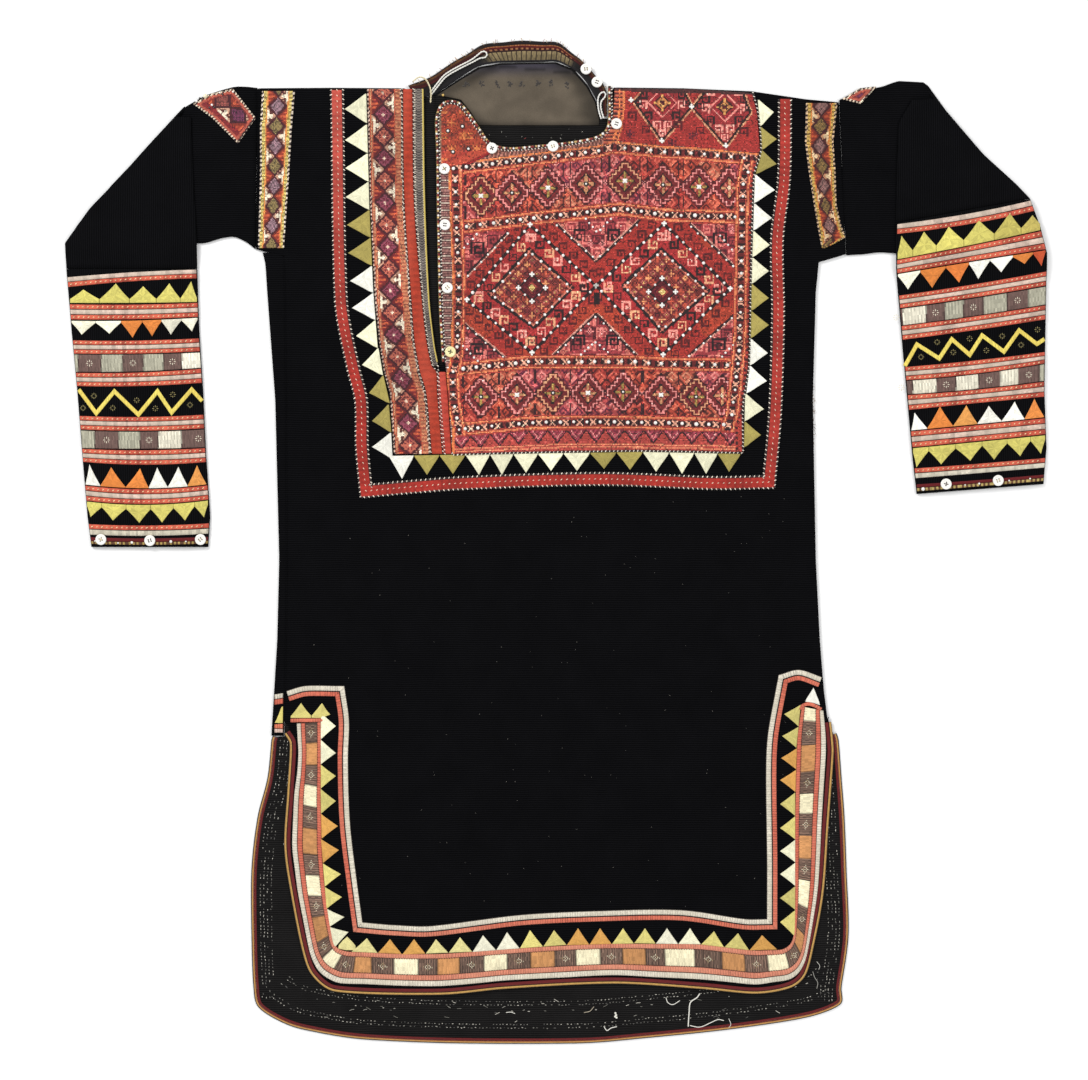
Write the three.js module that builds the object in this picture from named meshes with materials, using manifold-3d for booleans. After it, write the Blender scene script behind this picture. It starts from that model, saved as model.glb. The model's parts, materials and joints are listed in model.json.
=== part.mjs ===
// A long-sleeved embroidered tunic of ribbed black cotton, laid flat on its back.
// Millimetres, +Z up, X across the body, +Y from the hem to the neck. The origin is the middle of the
// underside's box, on the surface that the tunic lies on.
import * as THREE from "three";
import { mergeVertices } from "three/addons/utils/BufferGeometryUtils.js";
import Module from "manifold-3d";

const wasm = await Module();
wasm.setup();

// ---------------------------------------------------------------- sizes
const CLOTH = 1.3; // wall of the ribbed cotton
const GAP = 0.3; // clearance between sewn pieces
const STRIP = 1.0; // thickness of an applied strip
const BIB = 1.4; // thickness of the embroidered chest panel
const PIPING = 2.0; // thickness of the corded hem edges
const BUTTON_R = 5.5;
const BUTTON_T = 2.1;
const CORD_D = 1.8; // loop cords
const FLAT = 2 * CLOTH + GAP; // a flat tube of cloth
const CELL = 50; // facet size of the undulating panels
const BOARD = { x: 556, y: 542 }; // the tables are laid out from a board's upper left corner, x to the right, y down
const at = (x, y) => new THREE.Vector2(x - BOARD.x, BOARD.y - y);
const path = (rows) => rows.map((r) => at(r.x, r.y));

// ---------------------------------------------------------------- tables (board millimetres)
// The body's edges: row by row, the outer fold of the side gore on the left, the seam of front and gore, and the right side.
const BODY_SIDES = [
  { y: 262, fold: 262, seam: 284, right: 819 },
  { y: 292, fold: 267, seam: 285, right: 816 },
  { y: 400, fold: 275, seam: 286, right: 813 },
  { y: 560, fold: 279, seam: 287, right: 816 },
  { y: 640, fold: 277, seam: 286, right: 820 },
  { y: 690, fold: 274, seam: 285, right: 824 },
  { y: 722, fold: 272, seam: 284, right: 828 },
];
// Below the vents: the back's own edges, then its hem from left to right.
const BACK_LOWER = [
  { y: 740, left: 271, right: 839 },
  { y: 778, left: 267, right: 842 },
  { y: 818, left: 257, right: 845 },
  { y: 870, left: 251, right: 847 },
  { y: 936, left: 251, right: 849 },
  { y: 988, left: 253, right: 842 },
];
const BACK_HEM = [
  { x: 258, y: 1008 }, { x: 286, y: 1025 }, { x: 316, y: 1033 }, { x: 362, y: 1040 }, { x: 454, y: 1044 },
  { x: 582, y: 1044 }, { x: 644, y: 1039 }, { x: 731, y: 1030 }, { x: 808, y: 1018 }, { x: 841, y: 1005 },
];
// The front below the vents: down the left, along the hem and up the right.
const FRONT_HEM = [
  { x: 286, y: 730 }, { x: 292, y: 754 }, { x: 287, y: 792 }, { x: 284, y: 846 }, { x: 290, y: 891 }, { x: 302, y: 951 },
  { x: 312, y: 976 }, { x: 335, y: 992 }, { x: 439, y: 995 }, { x: 506, y: 989 }, { x: 613, y: 984 }, { x: 700, y: 989 },
  { x: 756, y: 994 }, { x: 791, y: 988 }, { x: 806, y: 975 }, { x: 815, y: 942 }, { x: 824, y: 892 }, { x: 829, y: 823 },
  { x: 834, y: 753 }, { x: 833, y: 730 },
];
// The shoulder line and the armholes.
const SHOULDER_LEFT = [{ x: 258, y: 88 }, { x: 330, y: 87.5 }, { x: 405, y: 88 }];
const SHOULDER_RIGHT = [{ x: 612, y: 87 }, { x: 683, y: 88 }, { x: 752, y: 91 }, { x: 806, y: 99 }, { x: 839, y: 102 }];
const ARMHOLE_LEFT = [{ x: 258, y: 88 }, { x: 258, y: 180 }, { x: 256, y: 249 }];
const ARMHOLE_RIGHT = [{ x: 839, y: 102 }, { x: 842.5, y: 178 }, { x: 846, y: 254 }];
// The stand collar's outer and inner edges.
const COLLAR_OUTER = [
  { x: 408, y: 85 }, { x: 430, y: 77 }, { x: 452, y: 62 }, { x: 483, y: 44 }, { x: 522, y: 40 }, { x: 558, y: 42 },
  { x: 583, y: 61 }, { x: 603, y: 83 }, { x: 607, y: 94 }, { x: 607, y: 116 },
];
const COLLAR_INNER = [
  { x: 601, y: 116 }, { x: 597, y: 101 }, { x: 588, y: 84 }, { x: 574, y: 68 }, { x: 556, y: 61 }, { x: 500, y: 62 },
  { x: 478, y: 66 }, { x: 460, y: 77 }, { x: 444, y: 88 }, { x: 428, y: 96 }, { x: 412, y: 92 },
];
// The slit's left edge, top to bottom, then the front's neck edge from the slit's foot round the flap to the right shoulder.
const SLIT_LEFT = [{ x: 425, y: 70 }, { x: 426, y: 200 }, { x: 430, y: 300 }, { x: 438, y: 362 }, { x: 440, y: 368 }];
const NECK_EDGE = [
  { x: 442, y: 362 }, { x: 439, y: 310 }, { x: 437, y: 225 }, { x: 436, y: 150 }, { x: 435, y: 120 }, { x: 439, y: 106 },
  { x: 447, y: 100 }, { x: 460, y: 102 }, { x: 470, y: 113 }, { x: 481, y: 129 }, { x: 491, y: 142 }, { x: 508, y: 147 },
  { x: 536, y: 145 }, { x: 572, y: 141 }, { x: 596, y: 136 }, { x: 606, y: 128 }, { x: 610, y: 112 }, { x: 610, y: 78 },
];
const LINING = [
  { x: 437, y: 95 }, { x: 462, y: 79 }, { x: 480, y: 68.5 }, { x: 501, y: 64.5 }, { x: 555, y: 63.5 }, { x: 572, y: 70.5 },
  { x: 586, y: 86 }, { x: 595, y: 102 }, { x: 599, y: 117 }, { x: 599, y: 125 }, { x: 479, y: 125 }, { x: 471, y: 112 }, { x: 461, y: 99.5 }, { x: 447, y: 96.5 },
];
// The long pieces beside the slit, row by row: left and right edges of the embroidered strip, the plain strip and the braid.
const PLACKET_ROWS = [
  { y: 89, strip: 367, plain: 402.5, braid: 413, end: 423.5 },
  { y: 200, strip: 370, plain: 404, braid: 414.5, end: 424.5 },
  { y: 300, strip: 375, plain: 411, braid: 422.5, end: 429 },
  { y: 340, strip: 379, plain: 414, braid: 427, end: 434 },
  { y: 366, strip: 383, plain: 418.5, braid: 432.5, end: 438 },
];
const PLACKET_FOOT = [
  { y: 372, strip: 384, plain: 419.5, lower: 437, bib: 446 },
  { y: 394, strip: 390, plain: 426, lower: 438, bib: 448 },
  { y: 454, strip: 394, plain: 431.5, lower: 443, bib: 452 },
];
// The bib's outer edge from the right shoulder down and back to the foot of the plain strips.
const BIB_EDGE = [
  { x: 752, y: 93 }, { x: 757, y: 113 }, { x: 760, y: 150 }, { x: 753, y: 176 }, { x: 750, y: 269 }, { x: 748, y: 364 }, { x: 742, y: 406 },
  { x: 742, y: 452 }, { x: 640, y: 450 }, { x: 515, y: 452 }, { x: 453, y: 454 },
];
// Centre line of the red border round the bib.
const BORDER = [
  { x: 337, y: 90 }, { x: 341, y: 300 }, { x: 353, y: 367 }, { x: 361, y: 400 }, { x: 362, y: 447 }, { x: 366, y: 491 }, { x: 410, y: 487 },
  { x: 464, y: 483 }, { x: 600, y: 479 }, { x: 712, y: 483 }, { x: 769, y: 482 }, { x: 775, y: 413 }, { x: 778, y: 315 }, { x: 777, y: 240 },
  { x: 784, y: 178 }, { x: 785, y: 99 },
];
const BORDER_W = 13;
// Tips of the applied triangles.
const TEETH_LEFT = [
  { x: 344.6, y: 109 }, { x: 344.9, y: 140 }, { x: 345.2, y: 168 }, { x: 345.6, y: 197 }, { x: 346.8, y: 225 }, { x: 348, y: 253 }, { x: 350, y: 281 },
  { x: 352, y: 308 }, { x: 356, y: 336 }, { x: 362, y: 365 }, { x: 369, y: 393 }, { x: 372, y: 421 }, { x: 372, y: 447 },
];
const TEETH_BOTTOM = [
  { x: 402, y: 479 }, { x: 427, y: 475 }, { x: 453, y: 474 }, { x: 479, y: 475 }, { x: 502, y: 475 }, { x: 526, y: 473 }, { x: 551, y: 471 },
  { x: 577, y: 471 }, { x: 604, y: 469 }, { x: 630, y: 470 }, { x: 656, y: 472 }, { x: 682, y: 474 }, { x: 706, y: 474 }, { x: 729, y: 472 },
];
const TEETH_RIGHT = [
  { x: 774, y: 112 }, { x: 777, y: 139 }, { x: 776.8, y: 164 }, { x: 775, y: 190 }, { x: 772, y: 218 }, { x: 770, y: 245 }, { x: 769, y: 271 },
  { x: 769, y: 298 }, { x: 769, y: 325 }, { x: 768, y: 353 }, { x: 767, y: 381 }, { x: 764, y: 409 }, { x: 761, y: 435 },
];
const BASE_LEFT = [{ x: 365, y: 92 }, { x: 368, y: 200 }, { x: 372, y: 290 }, { x: 376, y: 340 }, { x: 381, y: 370 }, { x: 387, y: 396 }, { x: 389.5, y: 424 }, { x: 391, y: 450 }];
const BASE_BOTTOM = [{ x: 393.5, y: 457 }, { x: 515, y: 455 }, { x: 640, y: 453 }, { x: 741, y: 455 }];
const BASE_RIGHT = [{ x: 759, y: 99 }, { x: 763, y: 150 }, { x: 756, y: 178 }, { x: 753, y: 269 }, { x: 751, y: 364 }, { x: 746, y: 406 }, { x: 745, y: 450 }];
// Shoulder strips, row by row, and the corners of the two sleeve patches.
const SHOULDER_STRIP_LEFT = [
  { y: 91, left: 262, right: 295 }, { y: 126, left: 260, right: 292 }, { y: 176, left: 260, right: 289 }, { y: 248, left: 258, right: 284 },
];
const SHOULDER_STRIP_RIGHT = [
  { y: 103, left: 806, right: 837.5 }, { y: 142, left: 805, right: 833.5 }, { y: 190, left: 811, right: 835 }, { y: 222, left: 815, right: 841 }, { y: 246, left: 822, right: 846 },
];
const PATCH_LEFT = [{ x: 193, y: 104 }, { x: 210, y: 94 }, { x: 233, y: 88.5 }, { x: 256, y: 118 }, { x: 238, y: 144 }, { x: 212, y: 118 }];
const PATCH_RIGHT = [{ x: 841.5, y: 99 }, { x: 860, y: 88 }, { x: 877, y: 86 }, { x: 861, y: 104 }];
// Centre line of the white and red hem strip, the tips of its triangles and the line of their bases.
const HEM_STRIP = [
  { x: 288, y: 696 }, { x: 306, y: 691 }, { x: 340, y: 691 }, { x: 344, y: 721 }, { x: 343, y: 759 }, { x: 345, y: 823 }, { x: 352, y: 883 },
  { x: 358, y: 927 }, { x: 393, y: 930 }, { x: 431, y: 931 }, { x: 521, y: 920 }, { x: 598, y: 916 }, { x: 680, y: 915 }, { x: 744, y: 924 },
  { x: 772, y: 924 }, { x: 772, y: 860 }, { x: 771, y: 772 }, { x: 773, y: 734 }, { x: 783, y: 679 }, { x: 799, y: 675 }, { x: 820, y: 682 },
];
const HEM_STRIP_W = 11;
const HEM_TEETH = [
  { x: 301, y: 703 }, { x: 322, y: 703 }, { x: 336, y: 726 }, { x: 336, y: 753 }, { x: 336, y: 776 }, { x: 336, y: 801 }, { x: 338, y: 826 },
  { x: 339, y: 850 }, { x: 341, y: 874 }, { x: 342, y: 897 }, { x: 344, y: 919 }, { x: 367, y: 938 }, { x: 390, y: 939 }, { x: 414, y: 939 },
  { x: 436, y: 939 }, { x: 460, y: 937 }, { x: 483, y: 935 }, { x: 507, y: 932 }, { x: 530, y: 930 }, { x: 554, y: 930 }, { x: 578, y: 928 },
  { x: 600, y: 928 }, { x: 623, y: 928 }, { x: 645, y: 928 }, { x: 667, y: 928 }, { x: 690, y: 928 }, { x: 714, y: 931 }, { x: 738, y: 933 }, { x: 762, y: 935 },
  { x: 780, y: 922 }, { x: 780, y: 898 }, { x: 780, y: 874 }, { x: 780, y: 851 }, { x: 780, y: 828 }, { x: 780, y: 804 }, { x: 780, y: 780 },
  { x: 781, y: 758 }, { x: 782, y: 736 }, { x: 784, y: 714 }, { x: 806, y: 688 },
];
const HEM_BASE = [
  { x: 289, y: 717 }, { x: 314, y: 717 }, { x: 321, y: 724 }, { x: 321, y: 800 }, { x: 322, y: 850 }, { x: 326, y: 900 }, { x: 332, y: 940 }, { x: 340, y: 951 },
  { x: 410, y: 954 }, { x: 480, y: 951 }, { x: 560, y: 945 }, { x: 640, y: 943 }, { x: 700, y: 944 }, { x: 750, y: 950 }, { x: 784, y: 949 },
  { x: 795, y: 938 }, { x: 795, y: 870 }, { x: 795, y: 800 }, { x: 797, y: 740 }, { x: 800, y: 710 }, { x: 820, y: 704 },
];
// The band of squares: its inner and outer edges as one strip of this width outside the triangles.
const BLOCK_INSET = 3.4;
const BLOCK_W = 38;
// Sleeves: stations of the upper tube from the armhole out to the fold, and of the lower tube from the fold down. Each is a
// plan line from edge a to edge b, with how much the top wall stands off the lower one there.
const SLEEVE_LEFT_UPPER = [
  { ax: 257.2, ay: 87.5, bx: 255.2, by: 249, rise: 0.6 }, { ax: 235, ay: 86, bx: 234, by: 236, rise: 1.8 }, { ax: 205, ay: 95, bx: 205, by: 243, rise: 1.0 },
  { ax: 184, ay: 107, bx: 184, by: 243.5, rise: 0 }, { ax: 148, ay: 146, bx: 148, by: 243.5, rise: 0 }, { ax: 110, ay: 186, bx: 110, by: 243.5, rise: 0 }, { ax: 76, ay: 228, bx: 76, by: 243.5, rise: 0 },
];
const SLEEVE_LEFT_LOWER = [
  { y: 117, left: 176, right: 191, rise: 0 }, { y: 145, left: 149, right: 192, rise: 0.5 }, { y: 173, left: 124, right: 193, rise: 1.0 }, { y: 208, left: 90, right: 195, rise: 1.4 },
  { y: 243, left: 65, right: 197, rise: 1.6 }, { y: 268.5, left: 66, right: 197, rise: 1.8 },
];
const CUFF_LEFT = [
  { y: 268.9, left: 66, right: 197, rise: 1.8 }, { y: 330, left: 71, right: 199, rise: 2.6 }, { y: 393, left: 77, right: 203, rise: 2.6 }, { y: 457, left: 82, right: 206, rise: 2.2 },
  { y: 516, left: 87, right: 210, rise: 1.6 }, { y: 547, left: 91, right: 208, rise: 0.8 },
];
const CREASE_LEFT = [{ x: 184, y: 106 }, { x: 148, y: 145 }, { x: 123, y: 173 }, { x: 80, y: 221 }, { x: 66, y: 243 }];
const SLEEVE_RIGHT_UPPER = [
  { ax: 839.6, ay: 99.5, bx: 846.7, by: 255, rise: 0.6 }, { ax: 862, ay: 89.5, bx: 864, by: 254, rise: 1.6 }, { ax: 882, ay: 86.5, bx: 880, by: 252, rise: 1.4 }, { ax: 898, ay: 80.5, bx: 895.5, by: 253, rise: 0 },
  { ax: 926, ay: 82, bx: 926, by: 252.5, rise: 0 }, { ax: 952, ay: 118, bx: 952, by: 252, rise: 0 }, { ax: 984, ay: 156, bx: 984, by: 251.5, rise: 0 }, { ax: 1012, ay: 188, bx: 1012, by: 251, rise: 0 }, { ax: 1036, ay: 222, bx: 1036, by: 250.5, rise: 0 },
];
const SLEEVE_RIGHT_LOWER = [
  { ax: 912, ay: 100, bx: 936, by: 99, rise: 0 }, { ax: 899, ay: 122, bx: 954, by: 120, rise: 0.6 }, { ax: 897, ay: 160, bx: 983, by: 154, rise: 1.2 },
  { ax: 896.5, ay: 196, bx: 1016, by: 184, rise: 1.6 }, { ax: 896.2, ay: 222.6, bx: 1030, by: 198.6, rise: 1.6 },
];
const CUFF_RIGHT = [
  { ax: 896.2, ay: 223, bx: 1030, by: 199, rise: 1.6 }, { ax: 896, ay: 268, bx: 1047, by: 253, rise: 1.8 }, { ax: 898, ay: 290, bx: 1047, by: 273, rise: 2.4 },
  { ax: 903, ay: 350, bx: 1046, by: 330, rise: 2.6 }, { ax: 908, ay: 404, bx: 1045, by: 392, rise: 2.4 }, { ax: 913, ay: 460, bx: 1047, by: 448, rise: 1.8 }, { ax: 917, ay: 494, bx: 1044, by: 484, rise: 0.8 },
];
const CREASE_RIGHT = [{ x: 930, y: 90 }, { x: 949, y: 114 }, { x: 982, y: 153 }, { x: 1010, y: 184 }, { x: 1020, y: 196 }];
// Buttons: place, and the piece that carries each.
const BUTTONS = [
  { x: 492, y: 148.5, on: "bib" }, { x: 553, y: 146.5, on: "bib" }, { x: 616.5, y: 124, on: "bib" }, { x: 444.5, y: 169, on: "bib" }, { x: 445, y: 225, on: "bib" },
  { x: 447.5, y: 288, on: "bib" }, { x: 450.5, y: 352, on: "bib" }, { x: 586, y: 69, on: "collar" }, { x: 597, y: 82, on: "collar" },
  { x: 101, y: 539.5, on: "cuff", rise: 0.45 }, { x: 150, y: 540.5, on: "cuff", rise: 0.95 }, { x: 200.5, y: 539.5, on: "cuff", rise: 0.45 },
  { x: 946, y: 484, on: "cuff", rise: 0.8 }, { x: 998, y: 480.5, on: "cuff", rise: 0.95 },
];
// Loop cords: the way along each, out and back.
const LOOP_LEFT = [
  { x: 432.5, y: 90 }, { x: 441, y: 80.5 }, { x: 450, y: 71.5 }, { x: 462, y: 62.5 }, { x: 474, y: 56.5 }, { x: 481, y: 51.5 }, { x: 486.5, y: 51 }, { x: 489, y: 55 }, { x: 486.5, y: 59.2 },
  { x: 478, y: 59.6 }, { x: 465, y: 65.8 }, { x: 453, y: 74.8 }, { x: 444, y: 83.8 }, { x: 436, y: 93 },
];
const LOOP_CREAM = [{ x: 413, y: 82 }, { x: 419, y: 77.5 }, { x: 425, y: 79 }, { x: 429, y: 85 }, { x: 431, y: 92 }, { x: 430.6, y: 103 }];
const LOOP_RIGHT = [
  { x: 601, y: 119 }, { x: 598, y: 110 }, { x: 597.5, y: 101 }, { x: 600.5, y: 94 }, { x: 604.5, y: 93.5 }, { x: 605, y: 97.5 }, { x: 602.6, y: 102.5 }, { x: 602.4, y: 110 }, { x: 604.6, y: 117.5 },
];
// Soft rises of the laid front, each an oval hill.
const RISES = [
  { x: 610, y: 300, wide: 150, tall: 130, turn: 0, up: 1.0 },
  { x: 330, y: 330, wide: 34, tall: 130, turn: -8, up: 0.9 },
  { x: 500, y: 600, wide: 120, tall: 150, turn: 12, up: 1.7 },
  { x: 730, y: 640, wide: 55, tall: 150, turn: -10, up: 1.4 },
  { x: 400, y: 800, wide: 70, tall: 110, turn: -14, up: 1.2 },
  { x: 640, y: 830, wide: 110, tall: 80, turn: 8, up: 1.5 },
  { x: 470, y: 970, wide: 70, tall: 34, turn: 0, up: 1.0 },
  { x: 700, y: 960, wide: 60, tall: 40, turn: 0, up: 0.9 },
];
const MOST_RISE = 3.2;

// ---------------------------------------------------------------- shapes
const smooth = (t) => { const c = Math.min(1, Math.max(0, t)); return c * c * (3 - 2 * c); };
const lookup = (rows, y, name) => {
  if (y <= rows[0].y) return rows[0][name];
  for (let i = 1; i < rows.length; i++)
    if (y <= rows[i].y) { const a = rows[i - 1], b = rows[i]; return a[name] + ((b[name] - a[name]) * (y - a.y)) / (b.y - a.y); }
  return rows[rows.length - 1][name];
};
// How far the front stands off the back at a board point.
function rise(x, y) {
  let h = 0;
  for (const r of RISES) {
    const t = (r.turn * Math.PI) / 180, dx = x - r.x, dy = y - r.y;
    const u = (dx * Math.cos(t) + dy * Math.sin(t)) / r.wide, v = (dy * Math.cos(t) - dx * Math.sin(t)) / r.tall;
    h += r.up * Math.exp(-0.5 * (u * u + v * v));
  }
  const left = lookup(BODY_SIDES, y, "seam"), right = lookup(BODY_SIDES, y, "right");
  const side = smooth((x - left - 4) / 60) * smooth((right - 4 - x) / 60);
  return Math.min(MOST_RISE, h) * side * smooth((y - 150) / 90);
}
const UNDER_FRONT = CLOTH + GAP;
const COLS = Math.ceil(620 / CELL), ROWS = Math.ceil(920 / CELL), X0 = 245, Y0 = 78;
const node = (i, j) => UNDER_FRONT + rise(X0 + i * CELL, Y0 + j * CELL);
// Height of the front's underside, on the facets.
function under(x, y) {
  const u = (x - X0) / CELL, v = (y - Y0) / CELL, i = Math.min(COLS - 1, Math.max(0, Math.floor(u))), j = Math.min(ROWS - 1, Math.max(0, Math.floor(v)));
  const a = u - i, b = v - j, z00 = node(i, j), z10 = node(i + 1, j), z01 = node(i, j + 1), z11 = node(i + 1, j + 1);
  return a + b <= 1 ? z00 + a * (z10 - z00) + b * (z01 - z00) : z11 + (1 - a) * (z01 - z11) + (1 - b) * (z10 - z11);
}
function bufferOf(points, faces) {
  const g = new THREE.BufferGeometry();
  g.setAttribute("position", new THREE.Float32BufferAttribute(points.flat(), 3));
  g.setIndex(faces.flat());
  return g;
}
function solidOf(geometry) {
  const g = geometry.clone();
  g.deleteAttribute("normal");
  g.deleteAttribute("uv");
  const m = mergeVertices(g, 1e-4);
  return new wasm.Manifold(new wasm.Mesh({ numProp: 3, vertProperties: m.attributes.position.array, triVerts: new Uint32Array(m.index.array) }));
}
// A sheet over the whole front, from `low` to `high` above its underside.
const sheets = new Map();
function sheet(low, high) {
  const key = low + "/" + high;
  if (sheets.has(key)) return sheets.get(key);
  const points = [], faces = [], w = COLS + 1, top = w * (ROWS + 1);
  for (const dz of [low, high])
    for (let j = 0; j <= ROWS; j++)
      for (let i = 0; i <= COLS; i++) { const p = at(X0 + i * CELL, Y0 + j * CELL); points.push([p.x, p.y, node(i, j) + dz]); }
  for (let j = 0; j < ROWS; j++)
    for (let i = 0; i < COLS; i++) {
      const a = j * w + i, b = a + 1, c = a + w, d = c + 1;
      faces.push([a, b, c], [b, d, c], [top + a, top + c, top + b], [top + b, top + c, top + d]);
    }
  const wall = (a, b) => faces.push([a, top + a, top + b], [a, top + b, b]);
  for (let i = 0; i < COLS; i++) { wall(i, i + 1); wall(ROWS * w + i + 1, ROWS * w + i); }
  for (let j = 0; j < ROWS; j++) { wall((j + 1) * w, j * w); wall(j * w + COLS, (j + 1) * w + COLS); }
  const s = solidOf(bufferOf(points, faces));
  sheets.set(key, s);
  return s;
}
function prism(points, low, high) {
  const shape = new THREE.Shape(points);
  const g = new THREE.ExtrudeGeometry(shape, { depth: high - low, bevelEnabled: false, steps: 1 });
  g.translate(0, 0, low);
  return solidOf(g);
}
// A path moved sideways, to its left for a positive distance, with mitred corners.
function offset(points, distance, closed = false) {
  const n = points.length, out = [];
  for (let i = 0; i < n; i++) {
    const p = points[i], before = closed ? points[(i + n - 1) % n] : points[Math.max(0, i - 1)], after = closed ? points[(i + 1) % n] : points[Math.min(n - 1, i + 1)];
    const d1 = p.clone().sub(before), d2 = after.clone().sub(p);
    if (d1.lengthSq() === 0) d1.copy(d2);
    if (d2.lengthSq() === 0) d2.copy(d1);
    d1.normalize(); d2.normalize();
    const m = new THREE.Vector2(-(d1.y + d2.y), d1.x + d2.x).normalize(), cos = Math.max(0.55, m.x * -d2.y + m.y * d2.x);
    out.push(p.clone().addScaledVector(m, distance / cos));
  }
  return out;
}
const band = (points, from, to) => [...offset(points, from), ...offset(points, to).reverse()];
const rowsBand = (rows, left, right, inset = 0) => [...rows.map((r) => at(r[left] + inset, r.y)), ...rows.slice().reverse().map((r) => at(r[right] - inset, r.y))];
// A piece sewn on the front: its outline cut from a sheet at that height.
const onFront = (outline, low, high) => sheet(low, high).intersect(prism(outline, -1, 20));
// Applied triangles: a narrow spine along the base line with one tooth to each tip.
function teeth(tips, base, spine) {
  const line = path(base), foot = (p) => {
    let best = null, far = Infinity;
    for (let i = 1; i < line.length; i++) {
      const a = line[i - 1], d = line[i].clone().sub(a), t = Math.min(1, Math.max(0, p.clone().sub(a).dot(d) / d.lengthSq())), q = a.clone().addScaledVector(d, t);
      if (q.distanceTo(p) < far) { far = q.distanceTo(p); best = { q, s: i - 1 + t, side: new THREE.Vector2(-d.y, d.x).normalize() }; }
    }
    return best;
  };
  const points = path(tips), outward = [], feet = points.map(foot);
  const toward = Math.sign(points[3].clone().sub(feet[3].q).dot(feet[3].side));
  const valley = (f) => f.q.clone().addScaledVector(f.side, toward * 0.6);
  const between = (a, b) => foot(a.clone().add(b).multiplyScalar(0.5));
  const last = points.length - 1;
  const ends = [foot(points[0].clone().multiplyScalar(1.5).addScaledVector(points[1], -0.5)), foot(points[last].clone().multiplyScalar(1.5).addScaledVector(points[last - 1], -0.5))];
  const back = [];
  outward.push(valley(ends[0]));
  points.forEach((p, i) => { outward.push(p.clone()); outward.push(i < last ? valley(between(p, points[i + 1])) : valley(ends[1])); });
  for (let i = 0; i < line.length; i++) if (i > ends[0].s && i < ends[1].s) back.push(line[i]);
  const all = [ends[0].q, ...back, ends[1].q];
  return [...outward, ...offset(all, -toward * spine).reverse()];
}

// Profile of a flat tube across its width: outer loop and slot, from edge a (d = 0) to edge b (d = width).
function tubeProfile(width, lift) {
  const e = Math.min(2.2, width / 5), half = FLAT / 2, share = [0.18, 0.5, 0.82];
  const hill = (s) => lift * Math.pow(Math.sin(Math.PI * s), 0.8);
  const ds = [e, ...share.map((s) => e + (width - 2 * e) * s), width - e];
  const outer = [[0, half], [e * 0.3, 0.22], ...ds.map((d) => [d, 0]), [width - e * 0.3, 0.22], [width, half], [width - e * 0.3, FLAT - 0.22], ...ds.slice().reverse().map((d) => [d, FLAT + hill(d / width)]), [e * 0.3, FLAT - 0.22]];
  const i0 = Math.min(CLOTH + 0.2, width * 0.2), m = (d) => i0 + ((width - 2 * i0) * d) / width;
  const inner = outer.map(([d, z], k) => {
    if (k === 0 || d === width) return [m(d), half];
    const low = z < half && k < outer.length / 2;
    return [m(d), low ? CLOTH : z < FLAT ? CLOTH + GAP : CLOTH + GAP + Math.max(0, z - FLAT)];
  });
  return { outer, inner };
}
// A flat tube through its stations; `lowest` gives the height of its underside at each.
function tube(stations, lowest) {
  const points = [], faces = [];
  let n = 0;
  stations.forEach((s, k) => {
    const a = at(s.ax ?? s.left, s.ay ?? s.y), b = at(s.bx ?? s.right, s.by ?? s.y), width = a.distanceTo(b), dir = b.clone().sub(a).normalize();
    const { outer, inner } = tubeProfile(width, s.rise);
    n = outer.length;
    for (const loop of [outer, inner]) for (const [d, z] of loop) points.push([a.x + dir.x * d, a.y + dir.y * d, z + lowest(s, k)]);
  });
  const put = (a, b, c, d) => faces.push([a, b, c], [a, c, d]);
  for (let k = 0; k + 1 < stations.length; k++)
    for (let i = 0; i < n; i++) {
      const j = (i + 1) % n, o = 2 * n * k, q = 2 * n * (k + 1);
      put(o + i, o + j, q + j, q + i);
      put(o + n + j, o + n + i, q + n + i, q + n + j);
    }
  for (const [k, turn] of [[0, true], [stations.length - 1, false]])
    for (let i = 0; i < n; i++) {
      const j = (i + 1) % n, o = 2 * n * k;
      if (turn) put(o + i, o + n + i, o + n + j, o + j); else put(o + i, o + j, o + n + j, o + n + i);
    }
  let g = bufferOf(points, faces), s = solidOf(g);
  if (s.volume() < 0) s = solidOf(bufferOf(points, faces.map(([a, b, c]) => [a, c, b])));
  return s;
}

const COLOURS = {
  black: 0x161618, red: 0xbe3c2e, coral: 0xdc6a50, stripe: 0xd0604c, braid: 0x5a564e, gold: 0xb89a46, lining: 0x5f574a, cream: 0xeceac8,
  border: 0xc23c2c, brown: 0x6a5348, pearl: 0xf2f0ea, cord: 0xf4f2ec, cordCream: 0xe6dcb8, patch: 0xa83a34, collar: 0x2c2620,
};
const finish = Object.fromEntries(Object.entries(COLOURS).map(([k, color]) => [k, new THREE.MeshStandardMaterial({ color, roughness: k === "pearl" ? 0.3 : 0.9, metalness: 0 })]));
const group = new THREE.Group();
function add(name, solid, colour) {
  const m = solid.getMesh(), n = m.numProp, v = new Float32Array(m.numVert * 3);
  for (let i = 0; i < m.numVert; i++) v.set(m.vertProperties.subarray(i * n, i * n + 3), i * 3);
  const g = new THREE.BufferGeometry().setAttribute("position", new THREE.BufferAttribute(v, 3)).setIndex(new THREE.BufferAttribute(new Uint32Array(m.triVerts), 1));
  g.computeVertexNormals();
  const mesh = new THREE.Mesh(g, finish[colour]);
  mesh.name = name;
  group.add(mesh);
  return solid;
}

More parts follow.
